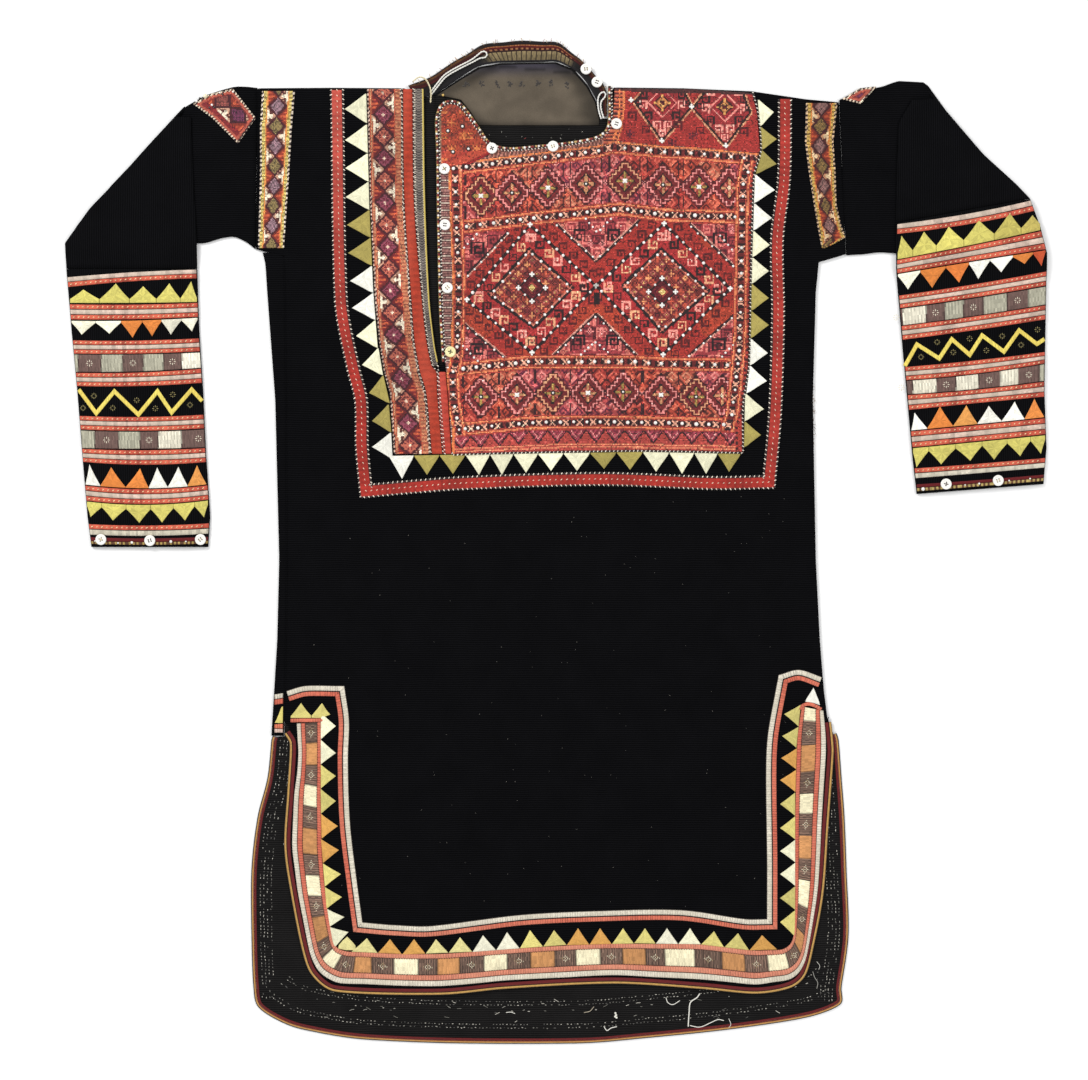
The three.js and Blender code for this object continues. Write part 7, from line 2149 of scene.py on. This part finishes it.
# the hem's bands carried on across the gore
gz = lambda X, Y: np.full(np.shape(X), 2.86)
for nm, tp, bt, c in (("gore_white_band", (694.6, 693.2), (699.2, 697.8), (220, 212, 194)), ("gore_salmon_band", (699.8, 698.4), (704.8, 703.6), SALMON), ("gore_salmon_band_low", (724.4, 724.0), (728.4, 728.6), (222, 122, 92)), ("gore_white_band_low", (729.0, 729.2), (732.6, 732.6), (226, 196, 180))):
    a, b = A([(274.4, tp[0]), (282.9, tp[1])]), A([(274.4, bt[0]), (282.9, bt[1])])
    a, b = even(a, 1.2), even(b, 1.2)
    q = [b * (1 - f) + a * f for f in (0, 0.12, 0.5, 0.88, 1)]
    ob = lanes(nm, q, [0.1, 0.45, 0.6, 0.45, 0.1], M_STRIP, corded(c, 0.84, 2.4), zfun=gz, thick=0.55)
gt = Bag()
plate(gt, A([(274.6, 722.8), (276.4, 719.6), (279.0, 713.5), (281.2, 707.4), (282.8, 706.2), (282.8, 714), (282.6, 723.0), (278.6, 723.2)]), 0.08, 0.5, (212, 198, 112), zfun=gz)
ob = gt.make("gore_tooth", M_COTTON)

# ------------------------------------------------------------------ beads
beads = Bag()
BW = (238, 236, 230)


def bead_z(x, y):
    return rise(x, y) + ON + 1.3


def bead_line(pts, pitch, r, start=0.0, end=0.0, col=BW, skip=0.0, dz=0.0, zf=None):
    """Beads sewn along board points."""
    L_ = A(pts)
    D = np.concatenate([[0], np.cumsum(np.linalg.norm(np.diff(L_, axis=0), axis=1))])
    n = max(1, int(round((D[-1] - start - end) / pitch)))
    s = np.linspace(start, D[-1] - end, n + 1)
    s = s + RNG.randn(len(s)) * 0.25
    if skip:
        s = s[RNG.rand(len(s)) > skip]
    x, y = np.interp(s, D, L_[:, 0]), np.interp(s, D, L_[:, 1])
    x, y = x + RNG.randn(len(s)) * 0.22, y + RNG.randn(len(s)) * 0.22
    rr = r * (1 + RNG.randn(len(s)) * 0.09)
    c = np.clip(np.tile(np.array([col], float), (len(s), 1)) * (1 + RNG.randn(len(s), 1) * 0.03), 0, 255)
    beads.ball(x, y, (zf or bead_z)(x, y) + rr * 0.55 + dz, rr, c)


bead_line([(453, 169), (525, 160), (599, 151), (613, 147), (664, 152), (690, 153), (744, 158)], 13.6, 2.05, 0, 0, skip=0.03)
bead_line([(464, 227), (529, 219), (620, 209), (663, 215), (737, 217)], 13.6, 2.05, 3, 2, skip=0.03)
bead_line([(462, 369), (529, 362), (631, 362), (663, 364), (731, 365)], 13.6, 2.05, 1, 3, skip=0.03)
bead_line([(464, 429), (529, 423), (600, 422), (660, 423), (726, 425)], 13.6, 2.05, 1, 3, skip=0.03)
bead_line([(455.5, 181), (456.5, 225), (459, 280), (457.5, 345), (456, 362), (452.5, 375), (453.5, 400), (459, 430)], 12.2, 1.75, 0, 0, skip=0.04)
bead_line([(748, 172), (743, 186), (742, 214), (741, 269), (740, 329), (739, 350), (735, 388), (732, 415)], 13.0, 1.8, 0, 0, skip=0.04)
for D_, I_ in ((DIA_L, INN_L), (DIA_R, INN_R)):
    for a in range(4):
        bead_line([D_[a], D_[(a + 1) % 4]], 9.4, 1.75, 8.5, 8.5)
        p, q = np.array(I_[a], float), np.array(I_[(a + 1) % 4], float)
        cen = np.mean(I_, axis=0)
        p, q = p + (cen - p) * 0.055, q + (cen - q) * 0.055
        bead_line([tuple(p), tuple(q)], 11.0, 1.6, 5, 5)
for vx, vy in DIA_L + DIA_R:
    x, y = A([(vx, vy)])[0]
    for dx, dy in ((0, 0), (1.7, 0.3), (-1.6, 0.4), (0.2, 1.7), (-0.1, -1.7)):
        xx, yy = np.array([x + dx]), np.array([y + dy])
        beads.ball(xx, yy, bead_z(xx, yy) + 0.8, 1.35, BW)
for cx, cy in ((532, 288), (662, 292)):
    for dx, dy in ((0, -13.5), (0, 13.5), (13.5, 0), (-13.5, 0)):
        x, y = A([(cx + dx, cy + dy)])[0]
        for ex, ey in ((0, 1.7), (1.7, 0), (-1.7, 0), (0, -1.7), (0, 0)):
            xx, yy = np.array([x + ex]), np.array([y + ey])
            beads.ball(xx, yy, bead_z(xx, yy) + 0.7, 1.25, BW)
    for dx, dy in ((-7, -7), (7, -7), (7, 7), (-7, 7)):
        x, y = A([(cx + dx, cy + dy)])[0]
        xx, yy = np.array([x]), np.array([y])
        beads.ball(xx, yy, bead_z(xx, yy) + 0.7, 1.4, BW)
    for dx in (-2.2, 0, 2.2):
        xx, yy = np.array([cx + dx - BX]), np.array([BY - cy])
        beads.ball(xx, yy, bead_z(xx, yy) + 0.5, 1.1, (232, 206, 130))
# row centres: a white disc, or a bead ringed in black
rings = Bag()
for k, (cx, cy) in enumerate(ROW_A[:-1] + ROW_B[:-1]):
    x, y = A([(cx, cy)])[0]
    xx, yy = np.array([x]), np.array([y])
    if k % 2 == 0:
        beads.ball(xx, yy, bead_z(xx, yy) + 0.5, 2.3, (240, 238, 232), 0.5)
        for ex, ey in ((1.6, 1.4), (-1.6, 1.4), (1.6, -1.4), (-1.6, -1.4)):
            beads.ball(xx + ex, yy + ey, bead_z(xx, yy) + 0.5, 1.0, BW)
    else:
        th = np.linspace(0, 2 * math.pi, 17)
        rings.tube(np.column_stack([x + 1.9 * np.cos(th), y + 1.9 * np.sin(th), np.full(17, float(bead_z(xx, yy)[0]) + 0.35)]), 0.55, (30, 20, 20), 6)
        beads.ball(xx, yy, bead_z(xx, yy) + 0.6, 1.2, BW)
# triangles' beads
for pts, p in (([(508, 234), (468, 276)], 9.6), ([(468, 328), (503, 357)], 10.5), ([(691, 227), (733, 266)], 9.6), ([(732, 318), (689, 356)], 9.6), ([(557, 226), (596, 260), (637, 225)], 10.0), ([(558, 352), (596, 317), (634, 352)], 10.0), ([(586, 219), (597, 233), (611, 219)], 5.6), ([(581, 355), (595, 342), (608, 352)], 5.4),
               ([(464, 248), (477, 235)], 6.0), ([(463, 346), (478, 361)], 6.0), ([(720, 236), (732, 250)], 6.0), ([(722, 357), (733, 345)], 6.0)):
    bead_line(pts, p, 1.3)
# flap, shoulder part and whip edge
for fx, fy in ((448, 131), (462.5, 126.5), (453, 152), (468.5, 149)):
    xx, yy = A([(fx, fy)]).T
    beads.ball(xx, yy, bead_z(xx, yy) + 0.6, 1.5, BW)
    th = np.linspace(0, 2 * math.pi, 13)
    rings.tube(np.column_stack([xx[0] + 1.9 * np.cos(th), yy[0] + 1.9 * np.sin(th), np.full(13, float(bead_z(xx, yy)[0]) + 0.3)]), 0.5, (40, 22, 22), 6)
for cx, cy in ((631, 100), (691.6, 106.6), (661.8, 140.7), (725.8, 145.6)):
    for ex, ey in ((1.6, 0.2), (-1.6, 0.3), (0.2, 1.7), (-0.1, -1.7), (0, 0)):
        xx, yy = A([(cx + ex, cy + ey)]).T
        beads.ball(xx, yy, bead_z(xx, yy) + 0.6, 1.3, BW)
edge_z = lambda x, y: rise(x, y) + 3.0
bl_line = offset(bind_path, -1.55)
bd_ = np.concatenate([[0], np.cumsum(np.linalg.norm(np.diff(bl_line, axis=0), axis=1))])
bs_ = np.arange(4, bd_[-1] - 2, 8.3)
bs_ = bs_ + RNG.randn(len(bs_)) * 0.9
x, y = np.interp(bs_, bd_, bl_line[:, 0]), np.interp(bs_, bd_, bl_line[:, 1])
beads.ball(x, y, edge_z(x, y) + 0.5, 1.3 * (1 + RNG.randn(len(bs_)) * 0.12), BW)
# the collar, the cuffs
for cx, cy, r, z in ((443, 95, 1.5, 2.9), (447, 65, 1.3, 2.9)):
    xx, yy = A([(cx, cy)]).T
    beads.ball(xx, yy, z + r * 0.6, r, (206, 170, 90) if cx == 443 else BW)
for t, pts in ((CUFF_L, [(132, 542.5, 1.6), (171, 541.5, 1.7), (118, 543, 1.0), (186, 541.5, 1.0), (95, 541, 0.9)]), (CUFF_R, [(923, 489, 2.1), (979, 483.6, 1.2), (1009, 480.6, 1.0), (1030, 478.6, 1.0), (965, 485, 0.9)])):
    for cx, cy, r in pts:
        xx, yy = A([(cx, cy)]).T
        beads.ball(xx, yy, t.z(xx, yy) + r * 0.6 + 0.4, r, BW)
for cx, cy, r, c in ((205.4, 96.2, 2.6, (232, 222, 190)), (196.6, 101.2, 1.5, BW), (212.0, 105.0, 1.4, BW), (214.2, 107.4, 1.2, (30, 28, 28)), (222.6, 94.2, 1.3, (34, 30, 30)), (219.8, 92.6, 1.1, BW), (199.6, 98.0, 1.2, (36, 32, 32)), (209.6, 107.6, 1.2, (34, 30, 30)), (233.0, 92.0, 1.1, BW)):
    xx, yy = A([(cx, cy)]).T
    beads.ball(xx, yy, UP_LEFT.z(xx, yy) + 1.0 + r * 0.5, r, c)
bd = beads.make("beads", M_BEAD)
rg = rings.make("bead_rings", M_THREAD)

# ------------------------------------------------------------------ buttons
BUTTONS = [(492, 148.5, "bib", 0), (553, 146.5, "bib", 0), (616.5, 124, "bib", 0), (444.5, 169, "bib", 0), (445, 225, "bib", 0), (447.5, 288, "bib", 0), (450.5, 352, "bib", 0), (586, 69, "collar", 0), (597, 82, "collar", 0),
           (101, 539.5, "cuff", 0.45), (150, 540.5, "cuff", 0.95), (200.5, 539.5, "cuff", 0.45), (946, 484, "cuff", 0.8), (998, 480.5, "cuff", 0.95)]


def button_mesh():
    """A turned four-hole button: rim, dished face, holes cut right through."""
    prof = [(0, 0.0), (4.6, 0.0), (5.25, 0.3), (5.5, 0.85), (5.38, 1.4), (5.05, 1.85), (4.6, 2.08), (4.15, 2.05), (3.75, 1.82), (3.45, 1.6), (2.6, 1.5), (0, 1.46)]
    n = 40
    bm = bmesh.new()
    rings_ = []
    for r, z in prof:
        if r == 0:
            rings_.append([bm.verts.new((0, 0, z * MM))])
        else:
            rings_.append([bm.verts.new((r * math.cos(2 * math.pi * k / n) * MM, r * math.sin(2 * math.pi * k / n) * MM, z * MM)) for k in range(n)])
    for a, b in zip(rings_[:-1], rings_[1:]):
        for k in range(n):
            j = (k + 1) % n
            if len(a) == 1:
                bm.faces.new((a[0], b[j], b[k]))
            elif len(b) == 1:
                bm.faces.new((a[k], a[j], b[0]))
            else:
                bm.faces.new((a[k], a[j], b[j], b[k]))
    bmesh.ops.recalc_face_normals(bm, faces=bm.faces)
    me = bpy.data.meshes.new("turned")
    bm.to_mesh(me)
    bm.free()
    ob = bpy.data.objects.new("turned", me)
    bpy.context.scene.collection.objects.link(ob)
    cm_ = bmesh.new()
    for dx, dy in ((1.2, 1.2), (-1.2, 1.2), (1.2, -1.2), (-1.2, -1.2)):
        r = bmesh.ops.create_cone(cm_, cap_ends=True, segments=14, radius1=0.68 * MM, radius2=0.68 * MM, depth=6 * MM)
        bmesh.ops.translate(cm_, verts=r["verts"], vec=(dx * MM, dy * MM, 1 * MM))
    cme = bpy.data.meshes.new("holes")
    cm_.to_mesh(cme)
    cm_.free()
    co = bpy.data.objects.new("holes", cme)
    bpy.context.scene.collection.objects.link(co)
    md = ob.modifiers.new("cut", "BOOLEAN")
    md.object, md.operation, md.solver = co, "DIFFERENCE", "EXACT"
    dg = bpy.context.evaluated_depsgraph_get()
    out = bpy.data.meshes.new_from_object(ob.evaluated_get(dg))
    for o in (ob, co):
        m_ = o.data
        bpy.data.objects.remove(o)
        bpy.data.meshes.remove(m_)
    return out


turned = button_mesh()
bv_ = np.array([v.co[:] for v in turned.vertices]) / MM
bf_ = [tuple(p.vertices) for p in turned.polygons]
bpy.data.meshes.remove(turned)
threads = Bag()
for i, (bx, by, on, up) in enumerate(BUTTONS):
    name = "button_%02d" % (i + 1)
    x, y = bx - BX, BY - by
    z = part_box(name)[0][2] / MM
    a = math.radians(-((bx * 7 + by * 3) % 90) + 12 * math.sin(i * 2.3))
    ca, sa = math.cos(a), math.sin(a)
    rx_, ry_ = 0.05 * math.sin(i * 1.7), 0.05 * math.cos(i * 2.9)
    V = np.column_stack([bv_[:, 0] * ca - bv_[:, 1] * sa, bv_[:, 0] * sa + bv_[:, 1] * ca, bv_[:, 2]])
    V[:, 2] += 0.28 + V[:, 0] * rx_ + V[:, 1] * ry_
    V += np.array([x, y, z])
    col = (236, 226, 168) if i == 6 else (241, 239, 233)
    ob = make(name + "_turned", V, bf_, M_SHELL, np.array([col], float))
    for p in ob.data.polygons:
        p.use_smooth = True
    ob.data.set_sharp_from_angle(angle=math.radians(38))
    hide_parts(name)
    tc = [(70, 52, 40), (206, 190, 150), (40, 34, 32), (150, 130, 80)][i % 4]
    for u in ((1.2, 1.2, -1.2, 1.2), (1.2, -1.2, -1.2, -1.2)) if i % 3 else ((1.2, 1.2, -1.2, -1.2), (1.2, -1.2, -1.2, 1.2)):
        p0 = np.array([u[0] * ca - u[1] * sa, u[0] * sa + u[1] * ca])
        p1 = np.array([u[2] * ca - u[3] * sa, u[2] * sa + u[3] * ca])
        t = np.linspace(0, 1, 9)
        q = p0[None] * (1 - t[:, None]) + p1[None] * t[:, None]
        zz = z + 0.28 + 1.5 + 0.45 * np.sin(math.pi * t) - 0.9 * (np.abs(t - 0.5) * 2) ** 6 + (q[:, 0] * rx_ + q[:, 1] * ry_)
        threads.tube(np.column_stack([q + np.array([x, y]), zz]), 0.34, tc, 6)

# ------------------------------------------------------------------ loose threads and running stitches
def run_stitch(P, d, pitch, ln, zf, base, cols, w=0.75, skip=0.15, jitter=0.25):
    x, y, a, s = along(P, d, pitch)
    k = RNG.rand(len(x)) > skip
    x, y, a = x[k], y[k], a[k]
    n = len(x)
    x, y = x + RNG.randn(n) * jitter, y + RNG.randn(n) * jitter
    c = np.array(cols, float)[RNG.randint(0, len(cols), n)]
    threads.stitch(x, y, zf(x, y) + base, a + RNG.randn(n) * 0.12, ln * (1 + 0.25 * RNG.randn(n)), w, 0.3, c)


back_edge = np.vstack([A([(r[1], r[0]) for r in BACK_LOWER]), A(BACK_HEM), A([(r[2], r[0]) for r in BACK_LOWER[::-1]])])
flat_top = lambda X, Y: np.full(np.shape(X), 1.27)
GR = [(150, 148, 138), (110, 108, 100), (196, 192, 180), (90, 88, 84)]
hem_line = curve(A(BACK_HEM), 3)
left_line = curve(A([(r[1], r[0]) for r in BACK_LOWER] + [(253, 1000)]), 3)
right_line = curve(A([(842, 1000)] + [(r[2], r[0]) for r in BACK_LOWER[::-1]]), 3)
for d, sk, pt, ln in ((16, 0.25, 3.6, 1.7), (19.5, 0.3, 3.4, 1.6), (33, 0.72, 5.6, 2.4), (39, 0.25, 3.4, 1.7), (42.5, 0.3, 3.4, 1.6)):
    run_stitch(hem_line[2:-2], d, pt, ln, flat_top, 0.0, GR, skip=sk)
for d in (9.5, 13, 16.5, 20.5):
    run_stitch(left_line, d, 3.4, 1.9, flat_top, 0.0, GR, skip=0.3)
    run_stitch(right_line, d, 3.4, 1.9, flat_top, 0.0, GR, skip=0.3)
run_stitch(A([(289.5, 790), (283, 850)]), 0, 5, 2.6, flat_top, 0.0, [(170, 166, 154)], skip=0.3)


def thread(pts, z, r=0.34, col=(226, 224, 214)):
    p = curve(A(pts), 1.2)
    n = len(p)
    zz = z + 0.25 + 0.35 * np.abs(np.sin(np.arange(n) * 0.35))
    threads.tube(np.column_stack([p, zz]), r, col, 6)


thread([(700, 994), (697, 998), (690.5, 1003), (689.3, 1012), (688.3, 1027)], 1.3, 0.62)
thread([(690, 1026), (700, 1027.5), (710, 1023.5), (718, 1020), (724, 1021)], 1.3, 0.45)
thread([(604, 1027), (607, 1031), (611, 1028.5), (617, 1027)], 1.3, 0.45)
thread([(666, 998), (668, 1003), (673, 1005), (680, 1001)], 1.3, 0.42)
thread([(584, 1013), (590, 1011.5), (594, 1007)], 1.3, 0.36, (170, 160, 140))
thread([(506, 1013), (511, 1012.5), (515, 1014)], 1.3, 0.36)
thread([(729, 1019), (731, 1025), (728, 1029)], 1.3, 0.3)
for cx, cy in ((615.5, 1013.5), (616.2, 1015.5), (615.2, 1017), (616.6, 1018)):
    x, y = A([(cx, cy)]).T
    threads.ball(x, y, 1.7, 1.25, (230, 228, 216), 0.5)
thread([(813, 972), (815, 978), (818, 983), (817, 989)], 1.3, 0.3, (160, 158, 150))
thread([(817, 962), (820, 966), (819, 970)], 1.3, 0.3, (190, 188, 180))
for k in range(34):
    x0, y0 = 300 + 500 * RNG.rand(), 998 + 26 * RNG.rand()
    a = RNG.rand() * 1.2 - 0.6
    ln = 2 + 3 * RNG.rand()
    thread([(x0, y0), (x0 + ln * 0.5, y0 + ln * 0.3 * math.sin(a * 3)), (x0 + ln, y0 + ln * a)], 1.25, 0.26, GR[k % 4])
# dark dots along the lining, pale specks below it
for cx in (466, 481, 497, 510, 522, 538, 551, 567):
    x, y = A([(cx, 83 + 1.2 * math.sin(cx))]).T
    for k in range(8):
        threads.stitch(x + RNG.randn() * 1.1, y + RNG.randn() * 1.5, 2.42, RNG.rand() * 3, 2.8, 1.4, 0.2, (50, 44, 40))
for k in range(14):
    x, y = A([(485 + 105 * RNG.rand(), 128 + 12 * RNG.rand())]).T
    threads.stitch(x, y, 1.3, RNG.rand() * 3, 1.2 + RNG.rand(), 0.5, 0.25, GR[k % 4])
x, y = A([(525, 138)]).T
threads.stitch(x, y, 1.3, 0.6, 3.0, 0.8, 0.3, (150, 40, 40))
# lint on the black cloth
n = 130
fx, fy = 300 + 500 * RNG.rand(n), 490 + 420 * RNG.rand(n)
x, y = fx - BX, BY - fy
threads.stitch(x, y, rise(x, y) + CLOTH, RNG.rand(n) * 3.1, 0.7 + 0.8 * RNG.rand(n), 0.35, 0.18, np.array([[120., 116, 108]]) * (0.5 + 0.7 * RNG.rand(n, 1)))
# frayed ends on the collar and the worn right side
for k in range(46):
    i = int(RNG.rand() * (len(collar_q) - 1))
    p = collar_q[i, :2]
    o_ = collar_q[i, :2] - collar_q[i, 2:]
    o_ = o_ / np.linalg.norm(o_)
    ln = 1.5 + 2.6 * RNG.rand()
    b = np.array([-o_[1], o_[0]]) * RNG.randn() * 0.9
    pts = np.array([p - o_ * 1.5, p + o_ * ln * 0.4 + b * 0.4, p + o_ * ln * 0.8 + b])
    q = curve(pts, 0.9)
    threads.tube(np.column_stack([q, 2.6 - np.linspace(0, 1.2, len(q))]), 0.24, [(150, 110, 60), (120, 50, 40), (90, 70, 50), (200, 180, 150)][k % 4], 5)
for k in range(26):
    fy_ = 378 + 66 * RNG.rand()
    p = A([(np.interp(fy_, [r[0] for r in BODY_SIDES], [r[3] for r in BODY_SIDES]) - 0.6, fy_)])[0]
    ln = 1.2 + 2.2 * RNG.rand()
    q = curve(np.array([p, p + [ln * 0.5, RNG.randn() * 0.7], p + [ln, RNG.randn() * 1.4]]), 0.8)
    threads.tube(np.column_stack([q, 2.4 - np.linspace(0, 1.4, len(q))]), 0.2, [(110, 84, 66), (80, 66, 56), (140, 120, 100)][k % 3], 5)
th_ob = threads.make("loose_threads", M_THREAD)

# seam where the gore meets the front, and the sleeves' seams
seams = Bag()
sm = A([(r[2], r[0]) for r in BODY_SIDES])
sm = even(sm, 3.0)
body_seams = Bag()
body_seams.tube(np.column_stack([sm, np.full(len(sm), 2.62)]), 0.75, BLACK, 6)
for pts_ in ([(257.9, 89), (257.9, 126), (257.6, 176), (256.4, 247)], [(843.0, 150), (843.4, 178), (844.4, 205), (846.0, 226)]):
    q_ = even(A(pts_), 3.0)
    body_seams.tube(np.column_stack([q_, np.full(len(q_), 2.3)]), 1.0, BLACK, 6)
bs = body_seams.make("black_seams", M_BLACK)
wh_ = [(236, 226, 212), (40, 22, 22)]
for P_, d_ in ((bind_path, -3.7), ):
    whip(P_, d_, 1.7, ON + 1.35, 2.2, 1.0, 0.4, -55, cols=wh_)
be_ = A(BIB_EDGE)
whip(soft(be_, corners=[7]), 1.0, 2.0, ON + 1.25, 2.6, 1.1, 0.45, 55, cols=wh_)
bb_ = A([(foot_pts[-1][0], foot_pts[-1][1])] + [BIB_EDGE[-1]]) if BIB_EDGE[-1][1] > BIB_EDGE[0][1] else A([(foot_pts[-1][0], foot_pts[-1][1])] + [BIB_EDGE[0]])
whip(even(bb_, 3.0), 0.8, 2.0, ON + 1.25, 2.4, 1.0, 0.4, 55, cols=wh_)
for line_, d_ in (([(438, 366), (440, 394), (442.4, 425), (445, 454)], 0),):
    whip(soft(A(line_)), d_, 2.0, ON + 1.05, 2.2, 1.0, 0.4, 55, cols=wh_)
for side_, d_ in ((plain_l, -0.4), (plain_r, 0.2)):
    whip(soft(A([(p_[0], p_[1]) for p_ in side_])), d_, 2.2, ON + 1.0, 2.2, 0.9, 0.4, 55, cols=wh_)
gl_ = soft(A([(422.6, 89), (424.2, 200), (428.6, 300), (433.6, 345), (437, 362)]))
seams.tube(np.column_stack([gl_, rise(gl_[:, 0], gl_[:, 1]) + CLOTH + 0.9]), 0.95, (196, 174, 88), 8)
seams.tube(np.column_stack([offset(gl_, 1.9 if offset(gl_, 1.9)[0, 0] < gl_[0, 0] else -1.9), rise(gl_[:, 0], gl_[:, 1]) + CLOTH + 0.9]), 0.8, (110, 26, 30), 8)
so = seams.make("side_seam", M_THREAD)
wo = whips.make("whip_stitches", M_THREAD)

# ------------------------------------------------------------------ the cloth pieces and the size each was cut to, given to cut(), which only converts the sizes
nm = lambda s: bpy.data.objects[s]


def cut(ob, w, l, held, rests, pieces=(), area=None):
    """A cloth piece cut to w by l millimetres; the sizes are only turned into metres."""
    w, l = w * MM, l * MM


def along_of(ob, w, held, rests, pieces=()):
    """A strip cut w wide, whose length is its own area over that width."""
    half = sum(p.area for p in ob.data.polygons) / 2
    l = half / (w * MM) / MM
    cut(ob, w, l * 0.97, held, rests, pieces)


def box_of(loop):
    return np.ptp(loop[:, 0]), np.ptp(loop[:, 1])


cut(back, *box_of(back_loop), "laid", [], [bpip, bline2], area_of(back_loop))
cut(front, *box_of(front_loop), "laid", [back], [pip, line2, binding, w_ob, s1, s2, mk, wo, so, nm("black_seams"), nm("hem_salmon_band_top"), nm("hem_salmon_band_end"), nm("teeth_hem_top")], area_of(front_loop))
cut(gore_ob, 39, 480, "folded", [back], pieces=[nm("gore_white_band"), nm("gore_salmon_band"), nm("gore_salmon_band_low"), nm("gore_white_band_low"), nm("gore_tooth")])
for t, rests, extra in ((UP_LEFT, [], [cr_l]), (LOW_LEFT, [UP_LEFT.ob], []), (CUFF_L, [], [o for o in bpy.data.objects if o.name.startswith(("cuff_left_", "cuff_st")) and o != CUFF_L.ob]), (UP_RIGHT, [], [cr_r]), (LOW_RIGHT, [UP_RIGHT.ob], []), (CUFF_R, [], [o for o in bpy.data.objects if o.name.startswith("cuff_right_") and o != CUFF_R.ob])):
    ws = np.hypot(t.c1 - t.c0, t.e1 - t.e0) if not t.up else np.abs(np.hypot(t.c1 - t.c0, t.e1 - t.e0))
    half = sum(p.area for p in t.ob.data.polygons) / 2 / MM / MM
    w = 2 * float(ws.max()) + 3
    cut(t.ob, w, half / w * 1.06, "folded", rests, extra)
mid_c = (collar_q[:, :2] + collar_q[:, 2:]) / 2
cut(collar_ob, 20, float(np.linalg.norm(np.diff(mid_c, axis=0), axis=1).sum()), "folded", [back])
cut(lining, *box_of(lin_loop), "laid", [back], area=area_of(lin_loop))
cut(bib, *box_of(bib_loop), "laid", [front], [bd, rg], area_of(bib_loop))
sl_ = A([(r[1], r[0]) for r in PLACKET] + [(r[1], r[0]) for r in FOOT] + [(r[2], r[0]) for r in FOOT[::-1]] + [(r[2], r[0]) for r in PLACKET[::-1]])
cut(strip, *box_of(strip_loop), "laid", [front], area=area_of(strip_loop))
along_of(bo, 12.8, "laid", [front])
along_of(ho, 15, "laid", [front])
along_of(b_ob, 15, "laid", [front])
for nm_, w, node in (("plain_red_strip_cloth", 10, 0), ("plain_red_strip_lower_cloth", 10, 0), ("placket_braid_cloth", 10, 0)):
    along_of(nm(nm_), w, "laid", [front])
for s_ in ("left", "bottom", "right", "hem"):
    along_of(nm("teeth_" + s_), 18, "laid", [front])
cut(nm("shoulder_embroidery_left"), 34, 171, "laid", [front], area=area_of(A([(r[1], r[0]) for r in SSL] + [(r[2], r[0]) for r in SSL[::-1]])))
cut(nm("shoulder_embroidery_right"), 33, 155, "laid", [front], area=area_of(A([(r[1], r[0]) for r in SSR] + [(r[2], r[0]) for r in SSR[::-1]])))
cut(nm("sleeve_embroidery_left"), 52, 48, "laid", [UP_LEFT.ob], area=area_of(pl_))
cut(nm("sleeve_embroidery_right"), 36, 20, "laid", [UP_RIGHT.ob], area=area_of(pr_))
